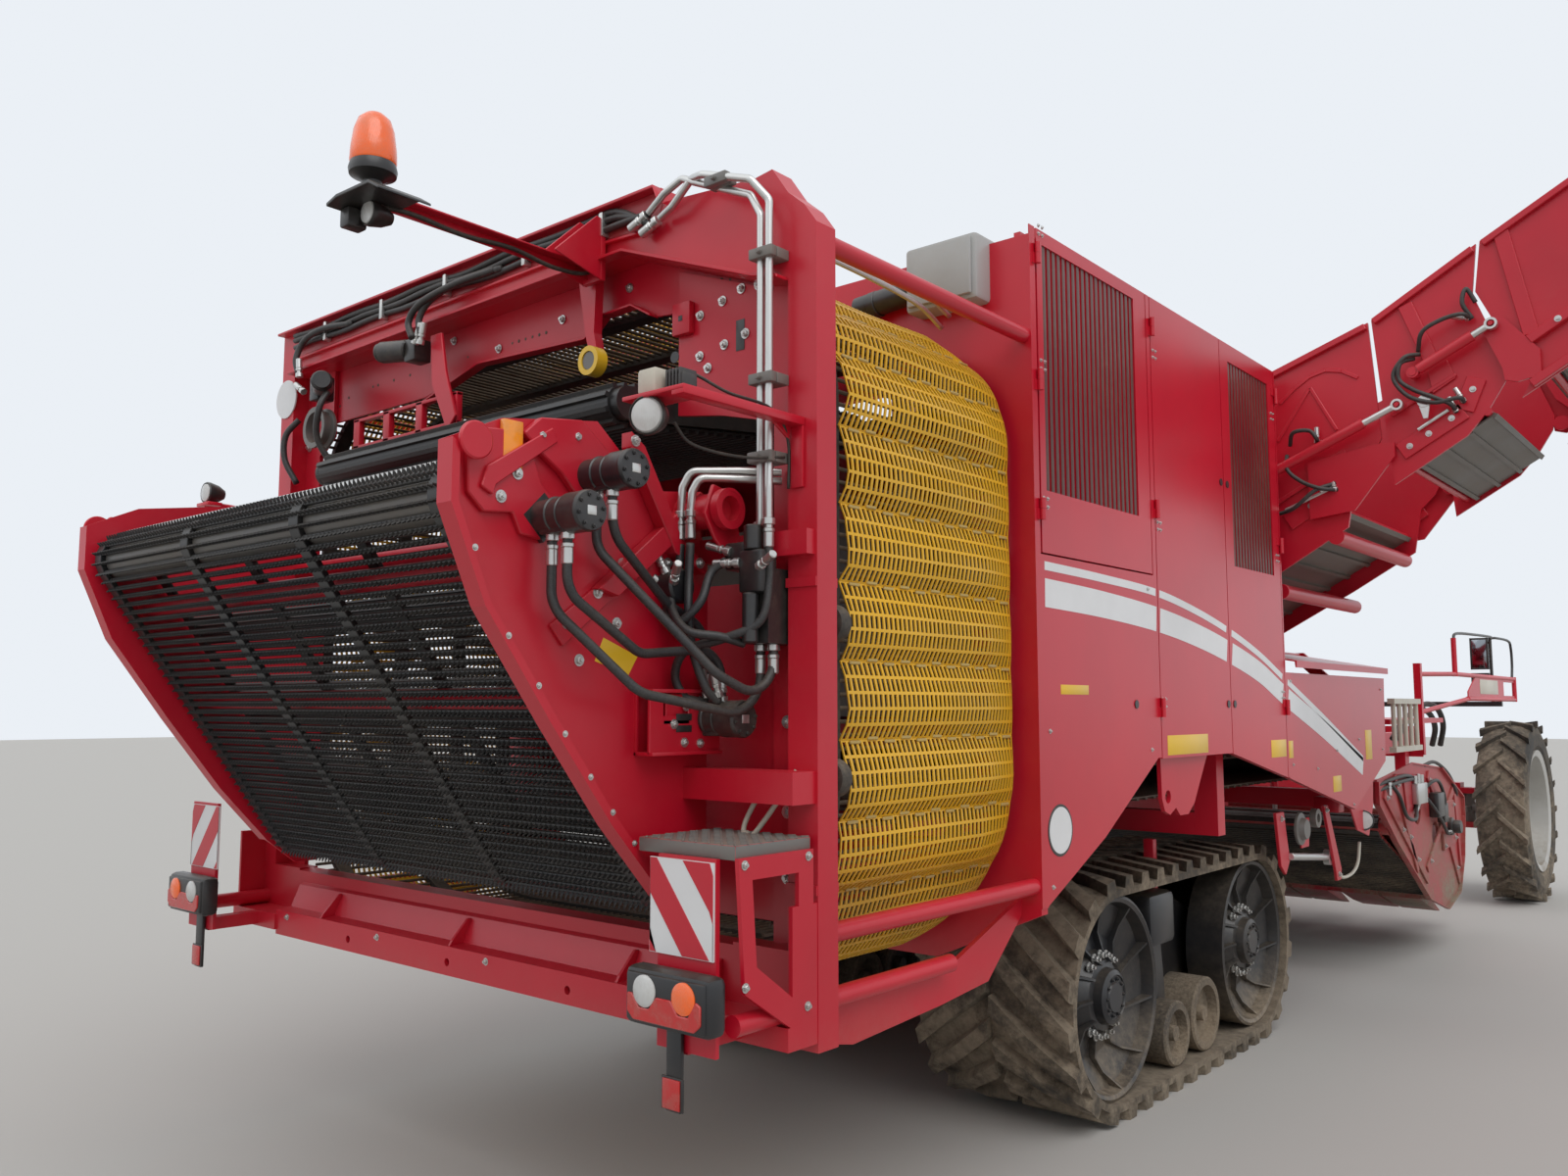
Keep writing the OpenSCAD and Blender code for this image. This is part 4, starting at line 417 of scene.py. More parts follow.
RED = (0.58, 0.005, 0.024)
red_paint = coated("red_paint", RED, film=0.05, low=1.05, shine=0.36, coat=0.12)
panel_red = coated("panel_red", RED, film=0.035, low=1.3, shine=0.30, wear=0.25, coat=0.25, rough_bump=0.1)
worn_red = coated("worn_red", (0.45, 0.007, 0.021), film=0.26, low=1.5, shine=0.45, wear=1.0)
black_iron = coated("black_iron", (0.012, 0.013, 0.016), bare=(0.1, 0.09, 0.08), film=0.2, low=0.5,
                    shine=0.35)
black_plastic = coated("black_plastic", (0.014, 0.014, 0.016), film=0.16, low=0.5, shine=0.42, wear=0.2)
black_rubber = coated("black_rubber", (0.012, 0.012, 0.013), bare=(0.05, 0.045, 0.04), film=0.3, low=0.7,
                      shine=0.55, coat=0.0, grain=60)
web_rubber = coated("web_rubber", (0.010, 0.011, 0.013), bare=(0.06, 0.05, 0.045), film=0.12, low=1.2,
                    shine=0.4, coat=0.0, grain=40)
grey_iron = coated("grey_iron", (0.16, 0.15, 0.14), film=0.35, low=0.9, shine=0.5)
grey_paint = coated("grey_paint", (0.42, 0.43, 0.42), film=0.3, low=0.5, shine=0.4)
white_paint = coated("white_paint", (0.80, 0.80, 0.80), film=0.08, low=0.9, shine=0.35, wear=0.3)
cream_paint = coated("cream_paint", (0.62, 0.58, 0.48), film=0.3, low=0.5, shine=0.45)
steel = coated("steel", (0.62, 0.62, 0.60), bare=(0.3, 0.26, 0.22), film=0.14, low=0.6, shine=0.28,
               metallic=0.85, coat=0.0)
rod_steel = coated("rod_steel", (0.085, 0.062, 0.045), bare=(0.25, 0.23, 0.2), film=0.5, low=1.0, shine=0.5,
                   metallic=0.3, coat=0.0)
slat_steel = coated("slat_steel", (0.13, 0.115, 0.10), bare=(0.12, 0.1, 0.08), film=0.35, low=0.6, shine=0.42,
                    metallic=0.35, coat=0.0, wear=1.0)
yellow_net = coated("yellow_net", (0.84, 0.46, 0.012), bare=(0.30, 0.18, 0.03), film=0.14, low=1.55,
                    shine=0.42, wear=0.9, coat=0.1, soil=(0.30, 0.21, 0.07))
clip_tan = coated("clip_tan", (0.55, 0.38, 0.10), bare=(0.2, 0.15, 0.08), film=0.3, low=1.4, shine=0.5)
rim_paint = coated("rim_paint", (0.60, 0.59, 0.56), film=0.3, low=0.7, shine=0.35, metallic=0.3)
# The very dark red of the louvre slats is painted shade; the dust film on it is real dust.
shaded_dusty_slat = coated("shaded_dusty_slat", (0.085, 0.016, 0.014), film=0.3, low=0.8, shine=0.5, wear=0.8)
mirror_face = coated("mirror_face", (0.30, 0.33, 0.36), film=0.1, low=0.4, shine=0.08, metallic=1.0, coat=0.0)
decal_yellow = coated("decal_yellow", (0.85, 0.52, 0.02), film=0.1, low=1.2, shine=0.35, wear=0.2)
tread = coated("tread", (0.030, 0.026, 0.022), bare=(0.10, 0.08, 0.06), film=0.75, low=2.6, shine=0.75,
               wear=0.6, coat=0.0, grain=18, rough_bump=0.8, soil=(0.135, 0.105, 0.075))
tyre_rubber = coated("tyre_rubber", (0.028, 0.025, 0.022), bare=(0.09, 0.075, 0.06), film=0.5, low=2.4,
                     shine=0.7, wear=0.5, coat=0.0, grain=22, rough_bump=0.7, soil=(0.15, 0.12, 0.09))
seat_cloth = coated("seat_cloth", (0.05, 0.05, 0.06), film=0.2, low=0.1, shine=0.85, wear=0.0, coat=0.0,
                    grain=180)


def clear_finish(name, color, rough=0.05):
    """Window glass with a little dirt."""
    m, t, shader = new_finish(name)
    tc = add(t, "TexCoord")
    shader.inputs["Transmission Weight"].default_value = 1.0
    shader.inputs["IOR"].default_value = 1.45
    dirty = spread(t, noise(t, tc.outputs["Object"], 5, 6), 0.45, 0.8)
    wire(t, (blend(t, dirty, color, tuple(c * 0.8 + 0.05 for c in color)), shader.inputs["Base Color"]),
         (spread(t, dirty, 0, 1, rough, rough + 0.3), shader.inputs["Roughness"]))
    return m


window_glass = clear_finish("window_glass", (0.62, 0.70, 0.70))


def lens_finish(name, color, glow=0.0):
    """A moulded lamp lens with fine flutes."""
    m, t, shader = new_finish(name, coat=0.6)
    tc = add(t, "TexCoord")
    flutes = add(t, "TexWave", bands_direction="X")
    flutes.inputs["Scale"].default_value = 55
    flutes.inputs["Distortion"].default_value = 0.0
    wire(t, (tc.outputs["Object"], flutes.inputs["Vector"]))
    dirt = spread(t, noise(t, tc.outputs["Object"], 18, 7), 0.45, 0.75)
    wire(t, (blend(t, maths(t, "MULTIPLY", dirt, 0.35), color, (0.25, 0.2, 0.15)),
             shader.inputs["Base Color"]), (spread(t, dirt, 0, 1, 0.12, 0.55), shader.inputs["Roughness"]))
    bump(t, shader, flutes.outputs["Fac"], 0.25, 0.001)
    if glow:
        shader.inputs["Emission Color"].default_value = (*color, 1)
        shader.inputs["Emission Strength"].default_value = glow
    return m


orange_lens = lens_finish("orange_lens", (0.90, 0.13, 0.012), 0.12)
red_lens = lens_finish("red_lens", (0.55, 0.012, 0.012))
clear_lens = lens_finish("clear_lens", (0.62, 0.62, 0.60))
# This lens's small emission is painted glow: it is used only on the side reflectors, which are no lamps.
amber_painted_glow_lens = lens_finish("amber_painted_glow_lens", (0.95, 0.30, 0.01), 0.05)


def make_hose_finish():
    """Black rubber with a fine woven cover."""
    m, t, shader = new_finish("braided_hose")
    tc = add(t, "TexCoord")
    weave = add(t, "TexVoronoi")
    weave.inputs["Scale"].default_value = 190
    wire(t, (tc.outputs["Object"], weave.inputs["Vector"]))
    dust = use_group(t, FIELD_DUST, Clean=blend(t, weave.outputs["Distance"], (0.008, 0.008, 0.010),
                                                (0.035, 0.035, 0.038)), Film=0.18, Low=0.4, Shine=0.45,
                     Grain=50.0)
    wire(t, (dust.outputs["Color"], shader.inputs["Base Color"]),
         (dust.outputs["Roughness"], shader.inputs["Roughness"]))
    bump(t, shader, weave.outputs["Distance"], 0.35, 0.001)
    return m


hose_black = make_hose_finish()

NODE_FINISH = [(red_paint, ["main_frame", "rear_frame", "rear_beam", "finger_plates", "top_deck",
                            "fold_barrels", "tip_barrels", "lift_barrels", "platform", "front_axle",
                            "beacon_arm", "bunker_body", "boom_mid", "boom_tip"]),
               (panel_red, ["side_panels", "door_vent_rear", "door_middle", "door_vent_front", "front_lid",
                            "cab_shell", "cab_door"]), (worn_red, ["digging_frame", "ridge_rollers"]),
               (web_rubber, ["finger_web", "picking_web"]), (rod_steel, ["ring_web", "sieve_web"]),
               (grey_iron, ["web_rollers", "engine_block", "knuckle_right", "knuckle_left"]),
               (black_iron, ["hydraulic_motors", "track_gear"]), (black_plastic, ["mirrors", "lamps"]),
               (grey_paint, ["cooler_box"]), (slat_steel, ["bunker_floor", "boom_mid_floor", "boom_tip_floor",
                                                           "coulter_discs"]),
               (steel, ["fold_rods", "tip_rods", "lift_rods", "hydraulic_lines"]), (cream_paint, ["ladder"]),
               (yellow_net, ["ring_pockets"]), (window_glass, ["cab_glass", "cab_door_glass"]),
               (seat_cloth, ["cab_seat"]), (tyre_rubber, ["tyre_right", "tyre_left"]),
               (tread, ["track_belt_right", "track_belt_left"]), (rim_paint, ["rim_right", "rim_left"]),
               (white_paint, ["warning_plates"]), ]
for finish, members in NODE_FINISH:
    for n in members:
        for s in nodes[n].material_slots:
            s.material = finish

# ---------------------------------------------------------------- camera, lights, floor
CAMERA_AT = at(4.14, -2.97, 2.0)
camera = bpy.data.objects.new("camera", bpy.data.cameras.new("camera"))
bpy.context.collection.objects.link(camera)
camera.data.sensor_width = 36
camera.data.lens = 27.9
camera.location = CAMERA_AT
camera.rotation_euler = (math.radians(95.57), 0, math.radians(40.4))
camera.data.clip_end = 500
bpy.context.scene.camera = camera

world = bpy.data.worlds.new("studio")
bpy.context.scene.world = world
world.use_nodes = True
wt = world.node_tree
light_path = add(wt, "LightPath")
seen = maths(wt, "MAXIMUM", light_path.outputs["Is Camera Ray"],
             maths(wt, "MAXIMUM", light_path.outputs["Is Glossy Ray"],
                   light_path.outputs["Is Transmission Ray"]))
back = wt.nodes["Background"]
back.inputs["Color"].default_value = (0.83, 0.87, 0.92, 1)
WORLD_LIGHT = 0.62
wire(wt, (spread(wt, seen, 0, 1, WORLD_LIGHT, 1.0), back.inputs["Strength"]))


def soft_sun(name, strength, spread_deg, pitch, heading):
    lamp = bpy.data.objects.new(name, bpy.data.lights.new(name, "SUN"))
    lamp.data.energy = strength
    lamp.data.angle = math.radians(spread_deg)
    lamp.rotation_euler = (math.radians(pitch), 0, math.radians(heading))
    bpy.context.collection.objects.link(lamp)


soft_sun("sky_key", 1.35, 50, 38, 62)
soft_sun("sky_fill", 0.45, 70, 40, -40)

deselect()
bpy.ops.mesh.primitive_plane_add(size=160, location=(0, 0, -0.001))
floor = apply_place()
floor.name = "floor"
floor_finish, ft, fs = new_finish("floor_finish")
fs.inputs["Base Color"].default_value = (0.50, 0.48, 0.45, 1)
fs.inputs["Roughness"].default_value = 0.9
floor.data.materials.append(floor_finish)

bpy.context.scene.view_settings.view_transform = "Standard"

# ---------------------------------------------------------------- hoses of the rear web
HOSE_R = 0.015
TOP_Z, MID_Z, LOW_Z = 2.5047, 2.6517, 2.0123
VALVE_LOW = 2.1997
HOSES = [(0.12, [(1.33, -0.718, TOP_Z), (1.33, -0.718, 2.29), (1.455, -0.48, 2.04), (1.53, -0.02, 1.96),
                 (1.53, -0.02, VALVE_LOW)]), (0.10, [(1.40, -0.718, TOP_Z), (1.40, -0.718, 2.33),
                                                     (1.39, -0.42, 2.16), (1.40, -0.065, 2.19),
                                                     (1.40, -0.065, LOW_Z)]),
         (0.10, [(1.33, -0.549, MID_Z), (1.33, -0.549, 2.48), (1.56, -0.26, 2.10), (1.585, -0.02, 2.0),
                 (1.585, -0.02, VALVE_LOW)]), (0.12, [(1.40, -0.549, MID_Z), (1.40, -0.549, 2.52),
                                                      (1.33, -0.25, 2.33), (1.33, -0.065, 2.25),
                                                      (1.33, -0.065, LOW_Z)]), ]


def bent(points, radius, steps=9):
    """Points along straight stretches joined by arcs."""
    pts = [Vector(p) for p in points]
    out = [pts[0]]
    for a, b, c in zip(pts, pts[1:], pts[2:]):
        u, v = (b - a).normalized(), (c - b).normalized()
        turn = u.angle(v)
        back = radius * math.tan(turn / 2)
        inward = (v - u * u.dot(v)).normalized()
        centre = b - u * back + inward * radius
        for k in range(steps + 1):
            t = turn * k / steps
            out.append(centre - inward * radius * math.cos(t) + u * radius * math.sin(t))
    return out + [pts[-1]]


for k, (radius, route) in enumerate(HOSES):
    line = [at(*p) for p in bent(route, radius)]
    hose = line_tube(line, HOSE_R, 6, True)
    hose.name = f"web_hose_{k}"
    hose.data.materials.clear()
    hose.data.materials.append(hose_black)
    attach(hose, "chassis")
    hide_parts("hydraulic_lines")

# ---------------------------------------------------------------- ring elevator
RING_HALF, RING_TOP, RING_LOW, R_TOP, R_LOW = 1.655, 3.55, 1.0, 0.5, 0.75
RUN_TOP = 2 * (RING_HALF - R_TOP)
RUN_SIDE = RING_TOP - RING_LOW - R_TOP - R_LOW
RUN_LOW = 2 * (RING_HALF - R_LOW)
ARC_TOP, ARC_LOW = math.pi / 2 * R_TOP, math.pi / 2 * R_LOW
RING_LEN = RUN_TOP + 2 * RUN_SIDE + RUN_LOW + 2 * ARC_TOP + 2 * ARC_LOW


def ring_point(s, off):
    """Place (x, z) on the ring's path, s along it from the top left, off outward."""
    s = s % RING_LEN

    def arc(cx, cz, r, a):
        return cx + r * math.sin(a), cz + r * math.cos(a)
    stretches = [
        (RUN_TOP, lambda t: (t - RUN_TOP / 2, RING_TOP + off)),
        (ARC_TOP, lambda t: arc(RUN_TOP / 2, RING_TOP - R_TOP, R_TOP + off, t / R_TOP)),
        (RUN_SIDE, lambda t: (RING_HALF + off, RING_TOP - R_TOP - t)),
        (ARC_LOW, lambda t: arc(RUN_LOW / 2, RING_LOW + R_LOW, R_LOW + off, math.pi / 2 + t / R_LOW)),
        (RUN_LOW, lambda t: (RUN_LOW / 2 - t, RING_LOW - off)),
        (ARC_LOW, lambda t: arc(-RUN_LOW / 2, RING_LOW + R_LOW, R_LOW + off, math.pi + t / R_LOW)),
        (RUN_SIDE, lambda t: (-RING_HALF - off, RING_LOW + R_LOW + t)),
        (ARC_TOP, lambda t: arc(-RUN_TOP / 2, RING_TOP - R_TOP, R_TOP + off, math.pi * 1.5 + t / R_TOP)),
    ]
    for length, place in stretches:
        if s <= length:
            return place(s)
        s -= length
    return stretches[0][1](0)


def ring_frame(s, off, y):
    """Matrix at a place on the ring: its X along the path, Y along the machine, Z outward."""
    x0, z0 = ring_point(s, off)
    x1, z1 = ring_point(s + 0.002, off)
    along = Vector((x1 - x0, 0, z1 - z0)).normalized()
    out = along.cross(Vector((0, 1, 0))) * -1
    if out.dot(Vector((x0, 0, z0 - 2.25))) < 0:
        out.negate()
    m = Matrix.Identity(4)
    m.col[0][:3], m.col[1][:3], m.col[2][:3] = along, (0, 1, 0), out
    m.col[3][:3] = at(x0, y, z0)
    return m


POCKETS = 40
POCKET_BULGE = 0.038
NET_Y0, NET_Y1 = 0.245, 1.36
NET_COLUMNS, NET_ROWS = 40, 5
SLOT_WEB = 0.0055


def pocket_net(first, last, name):
    """Moulded yellow pockets: a sheet of slots that bulges between two seams."""
    parts = []
    deselect()
    pitch = RING_LEN / POCKETS
    bpy.ops.mesh.primitive_grid_add(x_subdivisions=NET_COLUMNS, y_subdivisions=NET_ROWS, size=1)
    master = bpy.context.object
    master.scale = (NET_Y1 - NET_Y0, pitch * 1.05, 1)
    apply_place()
    edit()
    bpy.ops.mesh.inset(thickness=SLOT_WEB, use_individual=True, use_boundary=True)
    bpy.ops.mesh.delete(type="FACE")
    leave()
    flat = [v.co.copy() for v in master.data.vertices]
    lowest = min(v.y for v in flat)
    height = max(v.y for v in flat) - lowest
    for i in range(first, last):
        c = own_copy(master)
        lean = random.uniform(-0.004, 0.004)
        fray = {}
        for v, p in zip(c.data.vertices, flat):
            t = (p.y - lowest) / height
            y = p.x + (NET_Y0 + NET_Y1) / 2
            edge = 1 - min(1, (y - NET_Y0) / 0.05)
            if edge > 0:
                key = round(t * NET_ROWS * 3)
                y += edge * fray.setdefault(key, random.uniform(-0.010, 0.006))
            full = math.sin(math.pi * t ** 1.25) ** 0.8 if 0 < t < 1 else 0
            # the pockets are drawn flat where their front edge is held
            full *= 0.15 + 0.85 * min(1, max(0, NET_Y1 - y) / 0.22) ** 0.7
            off = POCKET_BULGE * full + lean * math.sin(7 * y + i) * full
            x, z = ring_point((i + t) * pitch, off - 0.004)
            v.co = at(x, y, z)
        parts.append(c)
    bpy.data.objects.remove(master)
    net = joined(parts)
    modify(net, "SOLIDIFY", thickness=0.005, offset=0)
    bpy.ops.object.shade_smooth_by_angle(angle=math.radians(50))
    return done(net, name, yellow_net)


net_right = pocket_net(6, 25, "pocket_net_right")
pocket_net(25, 46, "pocket_net_left")
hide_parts("ring_pockets")

deselect()
bpy.ops.mesh.primitive_cube_add(size=1)
clip = bpy.context.object
clip.scale = (0.012, 0.058, 0.010)
apply_place()
soften(clip, 0.003, 1)
clip_places = []
for i in range(POCKETS):
    for k in range(11):
        y = NET_Y0 + 0.07 + k * (NET_Y1 - NET_Y0 - 0.12) / 10
        clip_places.append(ring_frame(i * RING_LEN / POCKETS + 0.006 * (-1) ** k, 0.002, y))
done(copies(clip, clip_places), "pocket_clips", clip_tan)

# Rods of the ring, and the rubber belts that carry them
RING_RODS = 236
ROD_OFF = -0.022
rods = bar((0, 0.105, 0), (0, 1.378, 0), 0.0078, 8, 0.002)
rods.data.transform(Matrix.Translation(-at(0, 0, 0)))
rod_places = []
for i in range(RING_RODS):
    x, z = ring_point(i * RING_LEN / RING_RODS, ROD_OFF)
    rod_places.append(Matrix.Translation(at(x, random.uniform(-0.006, 0.004), z)))
ring_rods = done(copies(rods, rod_places), "ring_rods", rod_steel)
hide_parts("ring_web")


def closed_belt(corners):
    """A belt closed on itself, from the four corners of each of its sections."""
    count = len(corners) // 4
    faces = []
    for i in range(count):
        a, b = i * 4, (i + 1) % count * 4
        faces += [(a + k, a + (k + 1) % 4, b + (k + 1) % 4, b + k) for k in range(4)]
    return soften(outward(from_points("band", corners, [], faces)), 0.002, 1)


def ring_band(y0, y1, low, high, count=150):
    """A closed rubber belt of the ring."""
    corners = []
    for i in range(count):
        for y, off in ((y0, low), (y1, low), (y1, high), (y0, high)):
            x, z = ring_point(i * RING_LEN / count, off)
            corners.append(at(x, y, z))
    return closed_belt(corners)


belts = joined([ring_band(y, y + 0.07, -0.043, -0.012) for y in (0.185, 0.62, 0.98, 1.29)])
done(belts, "ring_belts", black_rubber)

# ---------------------------------------------------------------- rear finger web
FINGER_HALF = 1.25
WEB_TOP, WEB_LOW, WEB_R = Vector((-0.93, 2.60)), Vector((-0.12, 1.44)), 0.095


def web_point(s, off, top=WEB_TOP, low=WEB_LOW, r=WEB_R):
    """Place (y, z) and outward angle on a web round two rollers."""
    d = low - top
    length = d.length
    u = d / length
    out = Vector((u.y, -u.x))
    s = s % (2 * length + 2 * math.pi * r)
    if s < length:
        p, n = top + u * s, out
    elif s < length + math.pi * r:
        a = (s - length) / r
        n = out * math.cos(a) + u * math.sin(a)
        p = low.copy()
    elif s < 2 * length + math.pi * r:
        p, n = low - u * (s - length - math.pi * r), -out
    else:
        a = (s - 2 * length - math.pi * r) / r
        n = -out * math.cos(a) - u * math.sin(a)
        p = top.copy()
    return p + n * (r + off), n


WEB_LEN = 2 * (WEB_LOW - WEB_TOP).length + 2 * math.pi * WEB_R
WEB_RODS = 90
FINGERS = 96
deselect()
bpy.ops.mesh.primitive_cone_add(vertices=4, radius1=0.0075, radius2=0.003, depth=0.024,
                                location=(0, 0, 0.014))
finger = apply_place()
finger.data.transform(Matrix.Translation((-FINGER_HALF + 0.04, 0, 0)))
modify(finger, "ARRAY", count=FINGERS, use_relative_offset=False, use_constant_offset=True,
       constant_offset_displace=((2 * FINGER_HALF - 0.08) / (FINGERS - 1), 0, 0))
deselect()
bpy.ops.mesh.primitive_cylinder_add(vertices=8, radius=0.0085, depth=2 * FINGER_HALF - 0.05,
                                    rotation=(0, math.pi / 2, 0))
web_rod = soften(apply_place(), 0.002, 1)
rod_row = joined([finger, web_rod])
web_places = []
for i in range(WEB_RODS):
    p, n = web_point(i * WEB_LEN / WEB_RODS, 0.0)
    m = Matrix.Identity(4)
    m.col[0][:3] = (1, 0, 0)
    m.col[2][:3] = (0, n.x, n.y)
    m.col[1][:3] = Vector((0, n.x, n.y)).cross(Vector((1, 0, 0)))
    m.col[3][:3] = at(random.uniform(-0.004, 0.004), p.x, p.y)
    web_places.append(m)
finger_rows = done(copies(rod_row, web_places), "finger_rows", web_rubber)
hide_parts("finger_web")


def web_band(x0, x1, low, high, top=WEB_TOP, bottom=WEB_LOW, r=WEB_R, count=90):
    """A closed belt round two rollers."""
    corners = []
    total = 2 * (bottom - top).length + 2 * math.pi * r
    for i in range(count):
        for x, off in ((x0, low), (x1, low), (x1, high), (x0, high)):
            p, _ = web_point(i * total / count, off, top, bottom, r)
            corners.append(at(x, p.x, p.y))
    return closed_belt(corners)


bands = joined([web_band(x - 0.03, x + 0.03, -0.011, 0.010) for x in (-1.19, -0.40, 0.40, 1.19)])
done(bands, "finger_belts", web_rubber)

# ---------------------------------------------------------------- tracks
TRACK_Y = (2.75, 4.64)
TRACK_Z = 0.58
BELT_MID = 1.025
WHEEL_SECTION = [(0.455, 0.165), (0.4895, 0.165), (0.4895, 0.380), (0.474, 0.387), (0.456, 0.378),
                 (0.442, 0.315), (0.300, 0.252), (0.215, 0.262), (0.168, 0.322), (0.138, 0.330),
                 (0.130, 0.372), (0.108, 0.385), (0.104, 0.378), (0.075, 0.378), (0.070, 0.386), (0.0, 0.386),
                 (0.0, 0.225), (0.30, 0.225), (0.43, 0.265), (0.455, 0.165)]


def wheel_rib():
    """One curved rib of a track wheel, from the hub to the rim."""
    low = [(0.165, 0.320), (0.215, 0.258), (0.30, 0.248), (0.37, 0.280), (0.445, 0.312)]
    high = [(0.165, 0.345), (0.215, 0.298), (0.30, 0.282), (0.37, 0.308), (0.452, 0.372)]
    verts, faces = [], []
    for (r0, h0), (r1, h1) in zip(low, high):
        for r, h, w in ((r0, h0, 0.011), (r1, h1, 0.006)):
            a = 0.45 * (r - 0.165) / 0.28
            for side in (-w, w):
                verts.append((h, r * math.cos(a) - side * math.sin(a), r * math.sin(a) + side * math.cos(a)))
    for i in range(len(low) - 1):
        a, b = i * 4, (i + 1) * 4
        faces += [(a, a + 1, b + 1, b), (a + 2, b + 2, b + 3, a + 3), (a, b, b + 2, a + 2),
                  (a + 1, a + 3, b + 3, b + 1)]
    end = (len(low) - 1) * 4
    faces += [(0, 2, 3, 1), (end, end + 1, end + 3, end + 2)]
    o = from_points("rib", verts, [], faces)
    outward(o)
    bpy.ops.object.shade_smooth_by_angle(angle=math.radians(40))
    return o


def around(count, radius, h, start=0.0, step=None):
    """Matrices for things set round an axle along X, h out from the middle of the belt."""
    step = step or 2 * math.pi / count
    return [Matrix.Translation((h, radius * math.cos(start + k * step), radius * math.sin(start + k * step)))
            for k in range(count)]


def hex_bolt(r=0.014, height=0.011, axis=(1, 0, 0)):
    """A washer, a hexagon head and a domed end, at the origin, pointing along axis."""
    deselect()
    bpy.ops.mesh.primitive_cylinder_add(vertices=14, radius=r * 1.45, depth=height * 0.3,
                                        location=(0, 0, height * 0.15))
    washer = apply_place()
    deselect()
    bpy.ops.mesh.primitive_cylinder_add(vertices=6, radius=r, depth=height, location=(0, 0, height * 0.75))
    head = apply_place()
    edit()
    bpy.ops.mesh.bevel(offset=r * 0.12, segments=1, affect="EDGES")
    leave()
    deselect()
    bpy.ops.mesh.primitive_cylinder_add(vertices=8, radius=r * 0.5, depth=height * 0.6,
                                        location=(0, 0, height * 1.5))
    shank = apply_place()
    o = joined([washer, head, shank])
    o.data.transform(Vector(axis).to_track_quat("Z", "Y").to_matrix().to_4x4())
    return o


def wheel_pair(y):
    """The outer and the inner wheel of the right track at y, each with turned rim and hub and ten ribs."""
    made = [lathe(WHEEL_SECTION, (BELT_MID, y, TRACK_Z), (1, 0, 0), 64)]
    places = [Matrix.Rotation(k * math.pi / 5, 4, "X") for k in range(10)]
    ribs = copies(wheel_rib(), places)
    ribs.data.transform(Matrix.Translation(at(BELT_MID, y, TRACK_Z)))
    made.append(ribs)
    wheel = joined(made)
    twin = own_copy(wheel)
    middle = at(BELT_MID, y, TRACK_Z)
    turn = Matrix.Translation(middle) @ Matrix.Rotation(math.pi, 4, "Z") @ Matrix.Translation(-middle)
    twin.data.transform(turn)
    return joined([wheel, twin])


wheels = both(joined([wheel_pair(y) for y in TRACK_Y]))
track_wheels = done(wheels, "track_wheels", black_iron)
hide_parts("track_gear")

nut_places = []
for y in TRACK_Y:
    for base in (math.pi / 2, -math.pi / 2):
        nut_places += [Matrix.Translation(at(BELT_MID, y, TRACK_Z)) @ m
                       for m in around(5, 0.195, 0.300, base - 0.66, 0.33)]
nuts = both(copies(hex_bolt(0.017, 0.022), nut_places))
done(nuts, "wheel_nuts", steel)
hub_places = []
for y in TRACK_Y:
    hub_places += [Matrix.Translation(at(BELT_MID, y, TRACK_Z)) @ m for m in around(10, 0.088, 0.378)]
done(both(copies(hex_bolt(0.009, 0.008), hub_places)), "hub_bolts", black_iron)

rollers = []
for y, r in ((3.49, 0.170), (3.89, 0.200)):
    section = [(r - 0.03, 0.165), (r - 0.006, 0.165), (r, 0.171), (r, 0.372), (r - 0.01, 0.382),
               (r - 0.045, 0.382), (r - 0.055, 0.330), (0.045, 0.320), (0.040, 0.372), (0.0, 0.372),
               (0.0, 0.165), (r - 0.03, 0.165)]
    z = 0.09 + r
    one = lathe(section, (BELT_MID, y, z), (1, 0, 0), 44)
    twin = lathe(section, (BELT_MID, y, z), (-1, 0, 0), 44)
    rollers += [one, twin, bar((BELT_MID - 0.2, y, z), (BELT_MID + 0.2, y, z), 0.04)]
done(both(joined(rollers)), "track_rollers", black_rubber)
swing = plate([(2.69, 0.49), (2.69, 0.67), (3.20, 0.86), (3.50, 0.94), (3.90, 0.94), (4.20, 0.86),
               (4.70, 0.67), (4.70, 0.49), (4.10, 0.22), (3.35, 0.22)], "x", 0.93, 1.12, 0.02)
arm_box = block((1.08, 3.30, 0.72), (1.36, 3.62, 1.00), 0.035)
arm_foot = plate([(3.38, 0.30), (3.62, 0.30), (3.56, 0.74), (3.36, 0.74)], "x", 1.13, 1.30, 0.02)
tension = bar((0.925, 3.7, 0.86), (0.56, 3.7, 0.86), 0.095, 28)
done(both(joined([swing, arm_box, arm_foot, tension])), "track_frames", black_iron)
done(both(block((1.18, 3.62, 0.96), (1.24, 3.67, 1.26), 0.006)), "track_posts", red_paint)

# ---------------------------------------------------------------- stripes, decals and signs
WIDE_STRIPE = [(1.30, 2.468), (1.45, 2.464), (2.0, 2.448), (2.57, 2.414), (3.05, 2.36), (3.5, 2.287),
               (3.95, 2.19), (4.36, 2.06), (5.05, 1.86), (5.70, 1.65), (5.95, 1.57)]
THIN_STRIPE = [(1.30, 2.577), (1.45, 2.575), (2.0, 2.564), (2.57, 2.541), (3.05, 2.482), (3.5, 2.40),
               (3.95, 2.29), (4.36, 2.158), (5.05, 1.935), (5.76, 1.69), (5.95, 1.62)]


